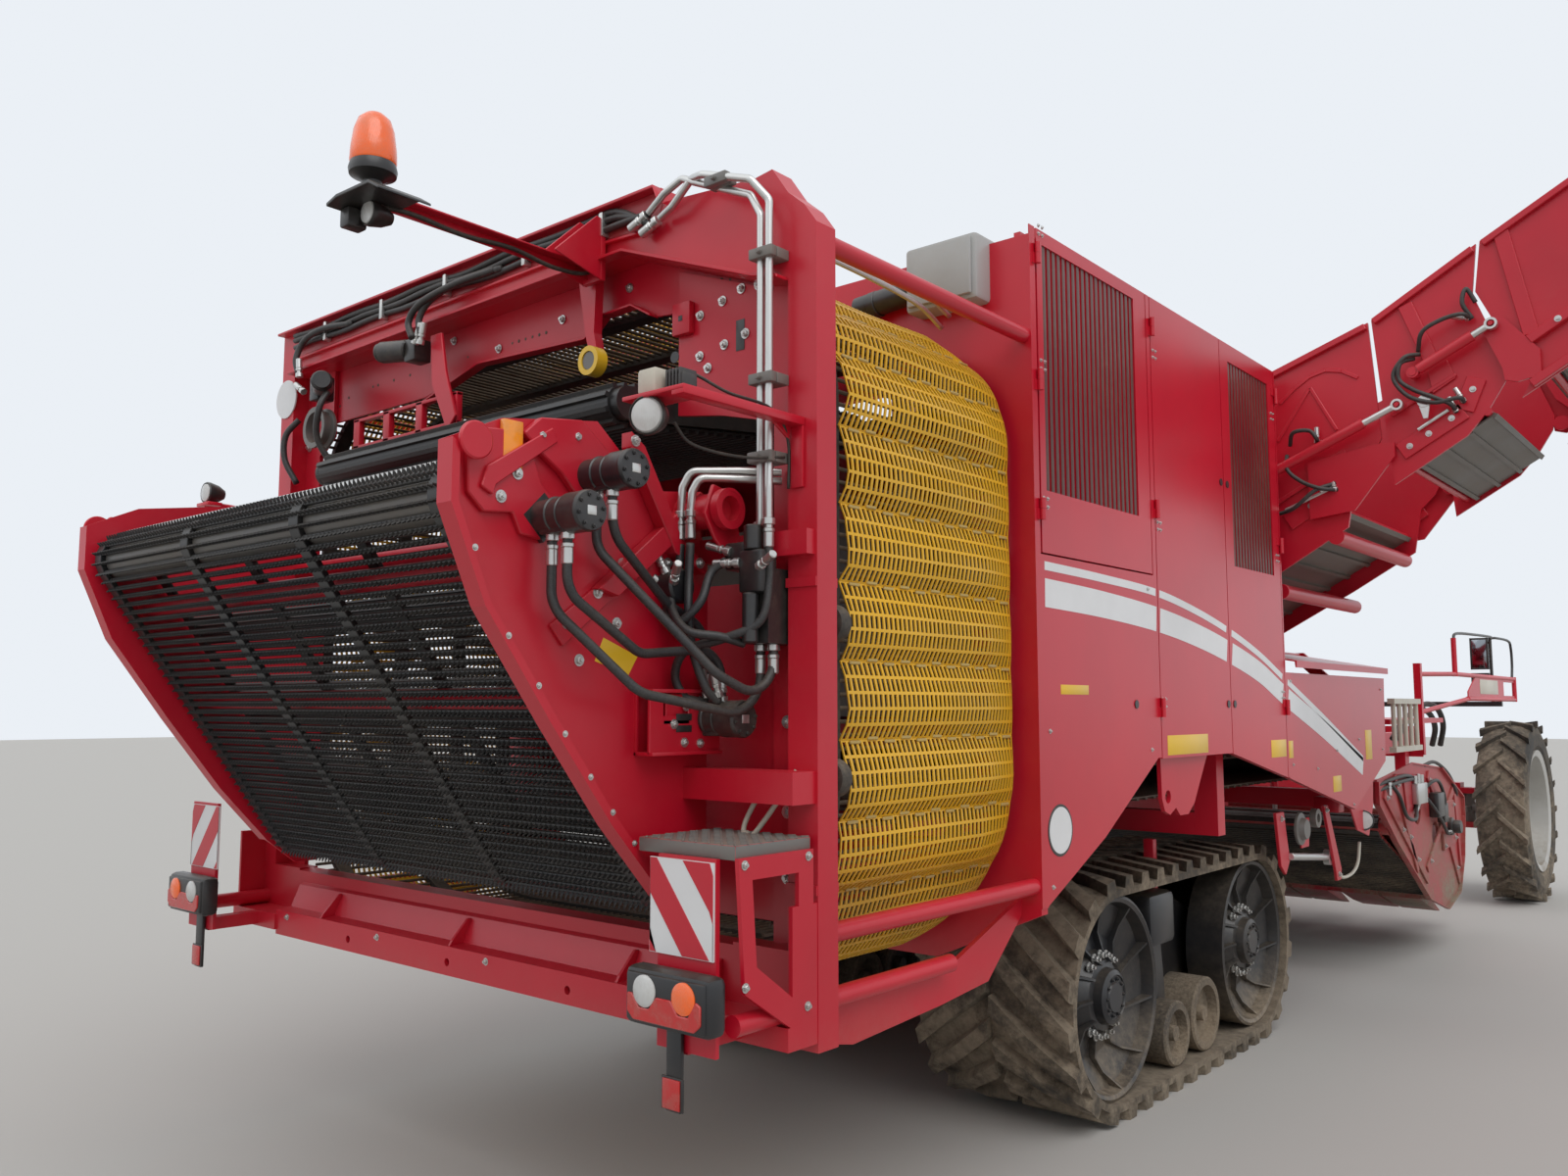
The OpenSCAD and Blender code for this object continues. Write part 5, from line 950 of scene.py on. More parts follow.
def stripe(points, width, y0, y1, side):
    """A painted stripe on a side panel, following a curve in y and z."""
    path = [v for v in smooth_path([(0, *p) for p in points], 12) if y0 <= v.y <= y1]
    verts, faces = [], []
    for i, v in enumerate(path):
        a, b = path[max(i - 1, 0)], path[min(i + 1, len(path) - 1)]
        n = Vector((0, -(b.z - a.z), b.y - a.y)).normalized()
        for half in (-0.5, 0.5):
            p = v + n * width * half
            verts += [at(HALF_W + 0.0012, p.y, p.z), at(HALF_W - 0.002, p.y, p.z)]
    for i in range(len(path) - 1):
        a, b = i * 4, (i + 1) * 4
        faces += [(a, b, b + 2, a + 2), (a + 1, a + 3, b + 3, b + 1), (a, a + 1, b + 1, b),
                  (a + 2, b + 2, b + 3, a + 3)]
    end = (len(path) - 1) * 4
    faces += [(0, 2, 3, 1), (end, end + 1, end + 3, end + 2)]
    o = from_points("stripe", verts, [], faces)
    outward(o)
    if side > 0:
        return o
    left = mirrored(o)
    bpy.data.objects.remove(o)
    return left


PANEL_SPANS = [(1.462, 2.588, "chassis"), (2.602, 3.494, "door_middle"), (3.506, 4.352, "door_vent_front"),
               (4.366, 5.88, "chassis")]
for k, (y0, y1, body) in enumerate(PANEL_SPANS):
    for side, name, rider in ((1, "right", body), (-1, "left", "chassis")):
        pair = joined([stripe(WIDE_STRIPE, 0.118, y0, y1, side), stripe(THIN_STRIPE, 0.036, y0, y1, side)])
        done(pair, f"stripes_{name}_{k}", white_paint, rider)

# ---------------------------------------------------------------- fittings, pipes and valve of the rear web
def along(p, d, length):
    """A point at a distance from p along d, in the machine frame."""
    return tuple(a + b * length for a, b in zip(p, d))


def swage(p, d, r=0.0175):
    """Hose end: hexagon nut, collar and pressed sleeve, from p along d."""
    d = Vector(d).normalized()
    return [bar(p, along(p, d, 0.022), r * 1.25, 6, 0.002),
            bar(along(p, d, 0.021), along(p, d, 0.034), r * 0.8, 14, 0.001),
            bar(along(p, d, 0.033), along(p, d, 0.046), r * 1.15, 6, 0.002),
            bar(along(p, d, 0.045), along(p, d, 0.095), r, 18, 0.003)]


def swages(spots, r=0.0175):
    """Hose ends at each of the places, each with its direction."""
    return [part for p, d in spots for part in swage(p, d, r)]


ends = []
for _, route in HOSES:
    ends += swages([(route[0], Vector(route[1]) - Vector(route[0])),
                    (route[-1], Vector(route[-2]) - Vector(route[-1]))])
PIPE_A = [(0.995, -0.034, 3.79), (1.09, -0.05, 3.83), (1.19, -0.058, 3.855), (1.26, -0.062, 3.82),
          (1.52, -0.062, 3.70), (1.565, -0.062, 3.62), (1.565, -0.062, 2.60), (1.545, -0.058, 2.53),
          (1.545, -0.05, 2.44)]
PIPE_B = [(1.055, -0.034, 3.755), (1.13, -0.05, 3.77), (1.24, -0.06, 3.84), (1.33, -0.10, 3.815),
          (1.55, -0.10, 3.735), (1.605, -0.066, 3.66), (1.605, -0.066, 2.82), (1.612, -0.075, 2.70),
          (1.612, -0.075, 2.58)]
PIPE_C = [(1.55, 0.06, 2.745), (1.47, -0.04, 2.748), (1.375, -0.15, 2.748), (1.357, -0.165, 2.70),
          (1.355, -0.17, 2.62)]
PIPE_D = [(1.55, 0.06, 2.775), (1.45, -0.04, 2.778), (1.335, -0.15, 2.775), (1.312, -0.165, 2.72),
          (1.31, -0.17, 2.62)]
tubes = [to_mesh(line_tube([at(*p) for p in bent(route, 0.035, 6)], 0.0135, 4))
         for route in (PIPE_A, PIPE_B, PIPE_C, PIPE_D)]
PIPE_ENDS = [((1.612, -0.075, 2.60), (0, 0, -1)), ((1.355, -0.17, 2.64), (0, 0, -1)),
             ((1.31, -0.17, 2.64), (0, 0, -1)), ((0.985, -0.034, 3.785), (-1, 0, -0.35)),
             ((1.045, -0.034, 3.75), (-1, 0, -0.35)), ((1.545, -0.05, 2.50), (0, 0, 1))]
pipes = joined(tubes + ends + swages(PIPE_ENDS))
bpy.ops.object.shade_smooth_by_angle(angle=math.radians(35))
done(pipes, "web_pipes", steel)
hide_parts("hydraulic_lines")
clamps = []
for x, y, z, tilt in ((1.585, -0.062, 3.48, 0), (1.585, -0.062, 3.06, 0), (1.585, -0.066, 2.80, 0),
                      (1.40, -0.085, 3.775, 1)):
    clamps += [block((x - 0.05, y - 0.03, z - 0.018), (x + 0.05, y - 0.0005, z + 0.018), 0.004),
               block((x - 0.05, y + 0.0005, z - 0.018), (x + 0.05, 0.0 if not tilt else y + 0.03, z + 0.018),
                     0.004), bar((x, y - 0.045, z), (x, y - 0.02, z), 0.009, 6)]
done(joined(clamps), "pipe_clamps", grey_iron)

# Short hoses between the pipes' feet and the manifold, held at both ends
LOOSE = [[(1.612, -0.075, 2.52), (1.615, -0.075, 2.40), (1.60, -0.10, 2.27), (1.50, -0.16, 2.215),
          (1.37, -0.20, 2.18), (1.31, -0.19, 2.10), (1.33, -0.16, 2.03), (1.37, -0.10, 2.012)],
         [(1.355, -0.17, 2.53), (1.36, -0.18, 2.42), (1.38, -0.20, 2.30), (1.37, -0.17, 2.18),
          (1.40, -0.14, 2.06), (1.42, -0.10, 2.012)], [(1.31, -0.17, 2.53), (1.312, -0.18, 2.44),
                                                       (1.33, -0.23, 2.33), (1.42, -0.25, 2.24),
                                                       (1.50, -0.18, 2.22), (1.53, -0.10, 2.20)],
         [(1.47, -0.12, 2.47), (1.43, -0.15, 2.43), (1.43, -0.20, 2.33), (1.36, -0.24, 2.26),
          (1.30, -0.22, 2.32), (1.30, -0.19, 2.36)], ]
loose = joined([tube(route, 0.0145, 5) for route in LOOSE])
done(loose, "manifold_hoses", hose_black)
manifold = [bar((1.272, -0.19, 2.39), (1.345, -0.19, 2.39), 0.058, 28, 0.008),
            block((1.44, -0.10, 2.44), (1.53, -0.03, 2.53), 0.01),
            bar((1.565, -0.11, 2.20), (1.565, -0.11, 2.36), 0.026, 20, 0.005),
            bar((1.56, -0.09, 2.50), (1.56, -0.09, 2.58), 0.034, 6, 0.004),
            block((1.515, -0.115, 2.36), (1.612, -0.03, 2.50), 0.012)]
done(joined(manifold), "manifold", black_iron)
elbows = swages([((1.30, -0.19, 2.36), (-0.3, -0.5, 0.5)), ((1.34, -0.23, 2.40), (0.6, -0.4, 0.5)),
                 ((1.30, -0.22, 2.43), (-0.4, -0.3, 0.9)), ((1.47, -0.10, 2.50), (-1, -0.2, 0.3)),
                 ((1.52, -0.11, 2.46), (-1, -0.3, 0)), ((1.60, -0.11, 2.44), (1, -0.3, 0.4)),
                 ((1.37, -0.10, 2.03), (0, -0.3, 1)), ((1.42, -0.10, 2.03), (0, -0.3, 1))], 0.014)
done(joined(elbows), "manifold_fittings", steel)

# ---------------------------------------------------------------- motors
MOTORS = [(-0.718, 2.557), (-0.549, 2.704), (-0.065, 1.96)]
motor_caps, cap_bolts, cap_plates = [], [], []
screw = hex_bolt(0.007, 0.006)
for y, z in MOTORS:
    motor_caps += [lathe([(0.0, 0.0), (0.0605, 0.0), (0.0615, 0.004), (0.0615, 0.012), (0.057, 0.020),
                          (0.045, 0.0225), (0.0, 0.0225)], (1.483, y, z), (1, 0, 0), 36),
                   lathe([(0.052, 0.0), (0.056, 0.004), (0.056, 0.010), (0.052, 0.014)], (1.345, y, z),
                         (1, 0, 0), 32), lathe([(0.052, 0.0), (0.0555, 0.003), (0.0555, 0.007),
                                                (0.052, 0.010)], (1.395, y, z), (1, 0, 0), 32),
                   block((1.30, y - 0.03, z - 0.056), (1.415, y + 0.03, z - 0.03), 0.008)]
    cap_bolts += [Matrix.Translation(at(0, y, z)) @ m for m in around(8, 0.046, 1.503, 0.2)]
    cap_plates += [block((1.503, y - 0.017, z - 0.014), (1.5075, y + 0.017, z + 0.014), 0.002)]
done(joined(motor_caps), "motor_caps", black_iron)
done(copies(screw, cap_bolts), "motor_screws", black_iron)
done(joined(cap_plates), "motor_plates", steel)

# ---------------------------------------------------------------- finger plates
def bolts(places, name, body="chassis", r=0.012, axis=(1, 0, 0), mirror=False):
    """Hexagon bolts at places in the machine frame, all pointing along axis."""
    o = copies(hex_bolt(r, r * 0.8, axis), [Matrix.Translation(at(*p)) for p in places])
    if mirror:
        o = both(o)
    return done(o, name, steel, body)


FX = 1.27
# Swing arms of the two upper motors, bent upper edge and braces
FINGER_ARMS = [
    # low and high face beyond the side plate, broken edge, outline in y and z
    (0, 0.02, 0.004, [(-0.99, 2.735), (-0.965, 2.79), (-0.86, 2.80), (-0.76, 2.74), (-0.73, 2.66),
                      (-0.66, 2.60), (-0.66, 2.52), (-0.72, 2.49), (-0.80, 2.50), (-0.83, 2.56),
                      (-0.93, 2.55), (-0.985, 2.60)]),
    (0, 0.028, 0.004, [(-0.80, 2.80), (-0.74, 2.855), (-0.58, 2.875), (-0.47, 2.79), (-0.46, 2.70),
                       (-0.51, 2.64), (-0.60, 2.64), (-0.66, 2.70), (-0.74, 2.75)]),
    (0.02, 0.034, 0.003, [(-0.95, 2.62), (-0.93, 2.68), (-0.70, 2.83), (-0.68, 2.79), (-0.90, 2.63),
                          (-0.91, 2.60)]),
    (0, 0.05, 0.003, [(-0.40, 2.87), (-0.34, 2.83), (-0.17, 2.55), (-0.06, 2.47), (-0.06, 2.44),
                      (-0.20, 2.50), (-0.40, 2.82)]),
    (0, 0.045, 0.003, [(-0.52, 2.36), (-0.47, 2.40), (-0.08, 2.72), (-0.04, 2.70), (-0.04, 2.66),
                       (-0.44, 2.34)]),
    (0, 0.012, 0.002, [(-0.68, 2.24), (-0.46, 2.40), (-0.42, 2.35), (-0.63, 2.18)]),
]
plate_parts = [plate(outline, "x", FX + low, FX + high, edge) for low, high, edge, outline in FINGER_ARMS]
done(both(joined(plate_parts)), "finger_arms", red_paint)
end_disc = lathe([(0.0, 0.0), (0.052, 0.0), (0.055, 0.003), (0.055, 0.010), (0.050, 0.014), (0.0, 0.014)],
                 (FX + 0.051, -0.99, 2.74), (1, 0, 0), 30)
done(both(end_disc), "end_discs", red_paint)
# The side reflectors glow faintly through their finish: painted glow.
done(both(block((FX + 0.001, -0.87, 2.69), (FX + 0.022, -0.80, 2.83), 0.004)), "side_reflectors", amber_painted_glow_lens)
PLATE_BOLTS = [
    # height over the side plate, then y and z
    (0.020, -0.735, 2.80), (0.020, -0.818, 2.675), (0.020, -0.875, 2.60), (0.020, -0.60, 2.82),
               (0.012, -0.62, 2.25),
    (0.012, -0.50, 2.35), (0, -0.56, 2.14), (0, -0.41, 2.26), (0, -0.39, 2.45), (0, -0.19, 2.47),
               (0.05, -0.385, 2.84),
    (0.05, -0.09, 2.475)]
bolts([(FX + h, y, z) for h, y, z in PLATE_BOLTS], "plate_bolts", r=0.013, mirror=True)
rim_line = [(-0.99, 2.44), (-0.87, 2.20), (-0.76, 2.06), (-0.66, 1.92), (-0.56, 1.79), (-0.47, 1.68),
            (-0.38, 1.58), (-0.30, 1.49)]
bolts([(FX + 0.049, y + 0.012, z) for y, z in rim_line], "rim_bolts", r=0.007, mirror=True)
sticker = plate([(-0.463, 2.213), (-0.319, 2.159), (-0.357, 2.099), (-0.497, 2.139)], "x", FX - 0.0005,
                FX + 0.0012, 0.0003)
done(sticker, "plate_decal", decal_yellow)
washer = bar((FX, -0.03, 1.748), (FX + 0.006, -0.03, 1.748), 0.036, 28, 0.002)
done(washer, "round_washer", grey_iron)
bolts([(FX + 0.006, -0.03, 1.748)], "washer_bolt", r=0.016)

# Drive box of the lower web with its slotted adjusters
box_parts = [block((FX - 0.005, -0.33, 1.845), (FX + 0.085, -0.012, 1.857), 0.002),
             block((FX - 0.005, -0.33, 2.043), (FX + 0.085, -0.012, 2.055), 0.002),
             block((FX - 0.005, -0.33, 1.845), (FX + 0.010, -0.318, 2.055), 0.002),
             plate([(-0.33, 1.85), (-0.33, 2.05), (-0.27, 2.05), (-0.27, 1.97), (-0.16, 1.97), (-0.16, 2.05),
                    (-0.012, 2.05), (-0.012, 1.85)], "x", FX + 0.060, FX + 0.072, 0.002),
             block((FX + 0.062, -0.27, 1.944), (FX + 0.072, -0.155, 1.956), 0.001),
             plate([(-0.25, 1.862), (-0.12, 1.862), (-0.12, 2.04), (-0.25, 2.04)], "x", FX + 0.052,
                   FX + 0.062, 0.002)]
done(joined(box_parts), "drive_box", red_paint)
# Thin black strips standing for the adjusters' slots: painted shade inside the slots.
slot_shade_strips = [block((FX + 0.0715, -0.215, z), (FX + 0.0735, -0.145, z + 0.022), 0.0005) for z in (1.955, 1.918)]
done(joined(slot_shade_strips), "drive_slots_painted_shade", black_iron)
bolts([(FX + 0.072, y, z) for y, z in ((-0.171, 2.001), (-0.225, 1.944), (-0.178, 1.885), (-0.105, 1.881),
                                       (-0.105, 2.02))], "drive_bolts", r=0.011)
collar = lathe([(0.058, 0.0), (0.068, 0.0), (0.068, 0.03), (0.058, 0.03), (0.058, 0.0)], (1.451, -0.11, 2.64),
               (1, 0, 0), 30)
brace = plate([(-0.15, 2.72), (-0.05, 2.70), (-0.02, 2.55), (-0.02, 2.44), (-0.14, 2.54), (-0.19, 2.62)], "x",
              1.425, 1.440, 0.003)
done(joined([collar, brace]), "carrier_collar", red_paint)

# --------------------------------------------------------------- top beam: flanges, hoses, inner beam, roller
def edge_strip(line, depth, thick, y):
    """A flange standing out from a beam along a line in x and z."""
    verts, faces = [], []
    for x, z in line:
        verts += [at(x, y, z), at(x, y - depth, z), at(x, y - depth, z - thick), at(x, y, z - thick)]
    for i in range(len(line) - 1):
        a, b = i * 4, i * 4 + 4
        faces += [(a + k, a + (k + 1) % 4, b + (k + 1) % 4, b + k) for k in range(4)]
    faces += [(3, 2, 1, 0), tuple(range(len(verts) - 4, len(verts)))]
    o = from_points("strip", verts, [], faces)
    return soften(outward(o), 0.002, 1)


beam = [edge_strip([(-1.74, 3.889), (1.02, 3.889), (1.045, 3.83)], 0.045, 0.012, 0.002),
        edge_strip([(-1.62, 3.668), (0.86, 3.688), (1.505, 3.442), (1.62, 3.412)], 0.05, 0.012, 0.002),
        edge_strip([(-1.62, 3.742), (0.62, 3.762), (0.98, 3.745)], 0.02, 0.012, 0.002)]
done(joined(beam), "beam_flanges", red_paint)
# A darker worn-red plate laid in the channel recess: painted shade of the deep channel, over the beam's red.
recess_shade_plate = plate([(-1.60, 3.752), (0.62, 3.772), (1.0, 3.752), (1.03, 3.82), (1.01, 3.876), (-1.60, 3.876)],
               "y", -0.002, 0.001, 0.0004)
done(recess_shade_plate, "beam_recess_painted_shade", worn_red)
beam_runs = []
for k, z in enumerate((3.795, 3.825, 3.85)):
    line = [at(-1.60 + 0.16 * i, -0.017 - 0.004 * math.sin(i + k), z + 0.006 * math.sin(1.7 * i + k))
            for i in range(16)]
    line.append(at(0.99, -0.03, 3.79 - 0.02 * k))
    beam_runs.append(to_mesh(line_tube(smooth_path(line, 4), 0.013, 4)))
for p in [[(0.10, -0.02, 3.80), (-0.12, -0.05, 3.795), (-0.30, -0.08, 3.75), (-0.37, -0.10, 3.67),
           (-0.35, -0.10, 3.58)], [(0.06, -0.03, 3.80), (-0.14, -0.07, 3.78), (-0.34, -0.11, 3.73),
                                   (-0.42, -0.12, 3.66), (-0.39, -0.12, 3.58)],
          [(-1.06, -0.02, 3.81), (-1.28, -0.05, 3.82), (-1.43, -0.06, 3.79), (-1.47, -0.08, 3.70),
           (-1.44, -0.08, 3.62)], [(-1.12, -0.10, 3.47), (-1.12, -0.14, 3.38), (-1.16, -0.12, 3.25),
                                   (-1.14, -0.04, 3.12)], [(-1.55, -0.01, 3.10), (-1.60, -0.05, 3.22),
                                                           (-1.60, -0.05, 3.34), (-1.55, -0.01, 3.42)]]:
    beam_runs.append(tube(p, 0.015))
done(joined(beam_runs), "beam_hoses", hose_black)
hooks = [block((x, -0.038, 3.77), (x + 0.022, -0.002, 3.862), 0.003) for x in (-1.3, -0.8, -0.3, 0.25, 0.72)]
done(joined(hooks), "hose_hooks", steel)
inner = plate([(-1.60, 3.72), (-1.60, 3.40), (-0.62, 3.40), (-0.17, 3.475), (0.53, 3.438), (0.63, 3.512),
               (0.795, 3.512), (0.90, 3.455), (1.55, 3.40), (1.55, 3.56), (1.05, 3.74)], "y", 0.102, 0.114,
              0.002)
inner_rim = edge_strip([(-0.62, 3.362), (-0.17, 3.474), (0.53, 3.442), (0.63, 3.515), (0.795, 3.52),
                        (0.90, 3.46)], 0.05, 0.010, 0.11)
window_bar = [block((-1.00, -0.03, 3.19), (-0.18, 0.00, 3.205), 0.002),
              block((-1.00, -0.03, 3.315), (-0.18, 0.00, 3.33), 0.002)]
window_bar += [block((x, -0.03, 3.19), (x + 0.05, 0.0, 3.33), 0.004) for x in (-1.00, -0.75, -0.49, -0.23)]
arm_l = plate([(-0.36, 3.60), (-0.28, 3.60), (-0.24, 3.42), (-0.16, 3.22), (-0.22, 3.16), (-0.34, 3.38)], "y",
              -0.05, -0.035, 0.003)
done(joined([inner, inner_rim, arm_l] + window_bar), "inner_beam", red_paint)
red_box = block((1.03, 0.052, 3.34), (1.12, 0.08, 3.46), 0.006)
done(red_box, "red_box", red_paint)
# Flat black patches standing for holes in the plate: their dark is painted shade inside the holes.
hole_shade_patches = [block((1.325, 0.078, 3.235), (1.365, 0.0795, 3.345), 0.0005),
              bar((1.02, 0.0785, 3.272), (1.02, 0.0798, 3.272), 0.022, 20, 0.0004),
              block((1.065, 0.0505, 3.39), (1.085, 0.0518, 3.41), 0.0004)]
done(joined(hole_shade_patches), "plate_holes_painted_shade", black_iron)
bolts([(1.15, 0.079, 3.40), (1.26, 0.079, 3.43), (1.35, 0.079, 3.455), (1.27, 0.079, 3.27),
       (1.37, 0.079, 3.29), (1.15, 0.079, 3.25), (1.19, 0.079, 3.20), (0.75, 0.10, 3.60), (0.35, 0.10, 3.56),
       (-0.07, 0.10, 3.52), (-0.40, 0.10, 3.62), (1.43, 0.079, 3.45), (1.46, 0.079, 3.14)], "inner_bolts",
      r=0.013, axis=(0, -1, 0))
roller_rim = lathe([(0.036, 0.0), (0.056, 0.0), (0.056, 0.05), (0.036, 0.05), (0.036, 0.0)],
                   (0.70, -0.062, 3.29), (0, 1, 0), 32)
done(roller_rim, "deflection_roller", decal_yellow)
roller_hub = bar((0.70, -0.058, 3.29), (0.70, 0.002, 3.29), 0.0355, 28)
done(roller_hub, "roller_hub", grey_iron)

# ---------------------------------------------------------------- camera arm, work lamps and beacon
def lamp_round(centre, r, axis):
    """A round work lamp: shell, rim and ribbed lens."""
    shell = lathe([(0.0, -0.075), (r * 0.45, -0.07), (r * 0.8, -0.04), (r * 0.95, -0.01), (r, 0.0),
                   (r, 0.012), (r * 0.93, 0.018), (r * 0.90, 0.010), (0.0, 0.010)], centre, axis, 36)
    lens = lathe([(0.0, 0.011), (r * 0.89, 0.011), (r * 0.80, 0.019), (r * 0.4, 0.024), (0.0, 0.025)], centre,
                 axis, 36)
    return shell, lens


shells, lenses = [], []
for centre, r, axis in (((1.533, -0.528, 2.862), 0.060, (0.35, -1, -0.1)),
                        ((-1.70, -0.37, 3.02), 0.052, (0, -1, 0)), ((0.64, -0.93, 3.60), 0.045, (0, -1, 0)),
                        ((1.66, 6.14, 1.215), 0.07, (0.5, -1, 0))):
    shell, lens = lamp_round(centre, r, axis)
    shells.append(shell)
    lenses.append(lens)
done(joined(shells), "lamp_shells", black_plastic)
done(joined(lenses), "lamp_lenses", clear_lens)
arm = [block((1.44, -0.552, 2.914), (1.70, -0.43, 2.928), 0.003),
       block((1.65, -0.55, 2.90), (1.702, -0.0005, 2.928), 0.003),
       block((1.65, -0.012, 2.70), (1.70, -0.0005, 2.928), 0.003),
       plate([(-0.02, 2.86), (-0.14, 2.93), (0.0, 2.93)], "x", 1.64, 1.652, 0.002)]
done(joined(arm), "camera_arm", red_paint)
box_cream = block((1.475, -0.525, 2.931), (1.555, -0.44, 3.012), 0.012)
done(box_cream, "camera_box", cream_paint)
cam_ribs = [block((1.572 + 0.014 * i, -0.50, 2.931), (1.580 + 0.014 * i, -0.43, 3.0), 0.003)
            for i in range(5)]
cam_ribs.append(block((1.568, -0.495, 2.931), (1.645, -0.435, 2.985), 0.006))
done(joined(cam_ribs), "camera_black", black_plastic)
wire_line = [(1.52, -0.44, 3.0), (1.58, -0.40, 3.01), (1.64, -0.30, 2.96), (1.66, -0.12, 2.94),
             (1.645, -0.02, 2.86), (1.64, -0.01, 2.70)]
wire_two = [(1.53, -0.42, 2.86), (1.55, -0.36, 2.80), (1.60, -0.20, 2.78), (1.64, -0.03, 2.80)]
cables = [tube(route, 0.005, 3) for route in (wire_line, wire_two)]
done(joined(cables), "camera_cables", black_rubber)

GUSSET = [(-0.03, 3.60), (-0.03, 3.84), (-0.055, 3.845), (-0.25, 3.66), (-0.25, 3.655)]
beacon_bar = [block((0.655, -0.90, 3.652), (0.705, -0.03, 3.658), 0.001),
              block((0.655, -0.90, 3.615), (0.661, -0.03, 3.655), 0.001),
              plate(GUSSET, "x", 0.628, 0.636, 0.002), plate(GUSSET, "x", 0.726, 0.734, 0.002),
              block((0.625, -0.035, 3.60), (0.737, -0.012, 3.84), 0.003)]
beacon_red = done(joined(beacon_bar), "beacon_arm_red", red_paint)
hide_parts("beacon_arm")
base = [lathe([(0.0, 0.0), (0.030, 0.0), (0.032, 0.006), (0.030, 0.040), (0.045, 0.050), (0.074, 0.062),
               (0.077, 0.078), (0.072, 0.098), (0.0, 0.098)], (0.69, -0.96, 3.640), (0, 0, 1), 36),
        block((0.545, -0.99, 3.555), (0.60, -0.92, 3.62), 0.008),
        plate([(0.54, 3.628), (0.60, 3.642), (0.79, 3.636), (0.85, 3.60), (0.85, 3.592), (0.79, 3.625),
               (0.60, 3.630), (0.54, 3.616)], "y", -1.035, -0.845, 0.002)]
done(joined(base), "beacon_base", black_plastic)
dome = lathe([(0.0, 0.0), (0.071, 0.0), (0.074, 0.006), (0.072, 0.05), (0.064, 0.11), (0.052, 0.146),
              (0.030, 0.166), (0.0, 0.172)], (0.69, -0.96, 3.739), (0, 0, 1), 44)
done(dome, "beacon_dome", orange_lens)
arm_cable = [(0.66, -0.93, 3.62), (0.672, -0.80, 3.628), (0.67, -0.60, 3.618), (0.675, -0.40, 3.63),
             (0.68, -0.20, 3.61), (0.70, -0.05, 3.64), (0.72, -0.03, 3.80)]
done(tube(arm_cable, 0.008, 3), "beacon_cable", black_rubber)

# --------------------------------------------------------- rear beam: lamps, warning plates, step, reflectors
# Tail lamp housing, the bar that carries it and the strap that hangs from it
rear_lamp = [block((1.38, -0.46, 1.07), (1.73, -0.3805, 1.24), 0.024),
             block((1.395, -0.465, 1.085), (1.715, -0.45, 1.225), 0.012),
             block((1.50, -0.40, 0.83), (1.56, -0.385, 1.08), 0.003),
             block((1.485, -0.405, 0.835), (1.575, -0.398, 0.93), 0.003)]
housings = both(joined(rear_lamp))
done(housings, "tail_lamp_housings", black_plastic)
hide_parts("lamps")
clear_round, orange_round = [lathe([(0.0, 0.0), (0.046, 0.0), (0.046, 0.006), (0.036, 0.012), (0.0, 0.013)],
                                   (x, -0.463, 1.176), (0, -1, 0), 32) for x in (1.475, 1.635)]
red_field = plate([(1.405, 1.112), (1.43, 1.09), (1.68, 1.09), (1.705, 1.112), (1.705, 1.165), (1.685, 1.175),
                   (1.655, 1.128), (1.615, 1.128), (1.585, 1.165), (1.525, 1.165), (1.495, 1.128),
                   (1.455, 1.128), (1.425, 1.165), (1.405, 1.165)], "y", -0.471, -0.462, 0.003)
done(both(red_field), "tail_lenses_red", red_lens)
done(both(orange_round), "tail_lenses_orange", orange_lens)
done(both(clear_round), "tail_lenses_clear", clear_lens)
done(both(block((1.495, -0.411, 0.84), (1.565, -0.404, 0.925), 0.002)), "strap_reflectors", red_lens)
stripes_red = []
low_x, high_x, low_z, high_z = 1.412, 1.673, 1.272, 1.548
BAND_WIDTH, BAND_LEAN = 0.11, 0.22
for k in (-1, 0, 1, 2):
    foot = low_x + 0.137 + BAND_LEAN * k
    band = [(foot - BAND_LEAN * i / 8, low_z + (high_z - low_z) * i / 8) for i in range(9)]
    other = [(x + BAND_WIDTH, z) for x, z in reversed(band)]
    # Each slanted band is kept inside the plate
    line = [(min(max(x, low_x), high_x), z) for x, z in band + other]
    keep = []
    for p in line:
        if not keep or (abs(p[0] - keep[-1][0]) + abs(p[1] - keep[-1][1])) > 0.001:
            keep.append(p)
    if len(keep) > 2 and max(p[0] for p in keep) - min(p[0] for p in keep) > 0.02:
        stripes_red.append(plate(keep, "y", -0.3878, -0.3855, 0.0003))
done(both(joined(stripes_red)), "warning_bands", panel_red)
step_cells = []
stud = block((0.0, 0.0, 0.0), (0.026, 0.007, 0.004), 0.0015)
stud.data.transform(Matrix.Translation(-at(0, 0, 0)))
for i in range(15):
    for j in range(12):
        turn = Matrix.Rotation(math.radians(45 if (i + j) % 2 else -45), 4, "Z")
        step_cells.append(Matrix.Translation(at(1.345 + i * 0.0265, -0.345 + j * 0.0275, 1.6)) @ turn)
done(copies(stud, step_cells), "step_studs", grey_iron)
step_top = block((1.331, -0.361, 1.558), (1.736, -0.019, 1.6008), 0.004)
done(step_top, "step_plate", grey_iron)
bolts([(1.748, -0.335, 1.545), (1.748, -0.045, 1.545), (1.748, -0.33, 1.20), (1.748, -0.05, 1.10)],
      "step_bolts", r=0.010)
bolts([(x, -0.128, 1.045) for x in (-1.25, -0.5, 0.25, 1.25)], "beam_bolts", r=0.010, axis=(0, -1, 0))
rope = [(1.60, -0.012, 1.775), (1.545, -0.04, 1.72), (1.50, -0.06, 1.63), (1.505, -0.065, 1.585),
        (1.54, -0.06, 1.60), (1.60, -0.04, 1.68), (1.66, -0.02, 1.77), (1.675, -0.012, 1.80)]
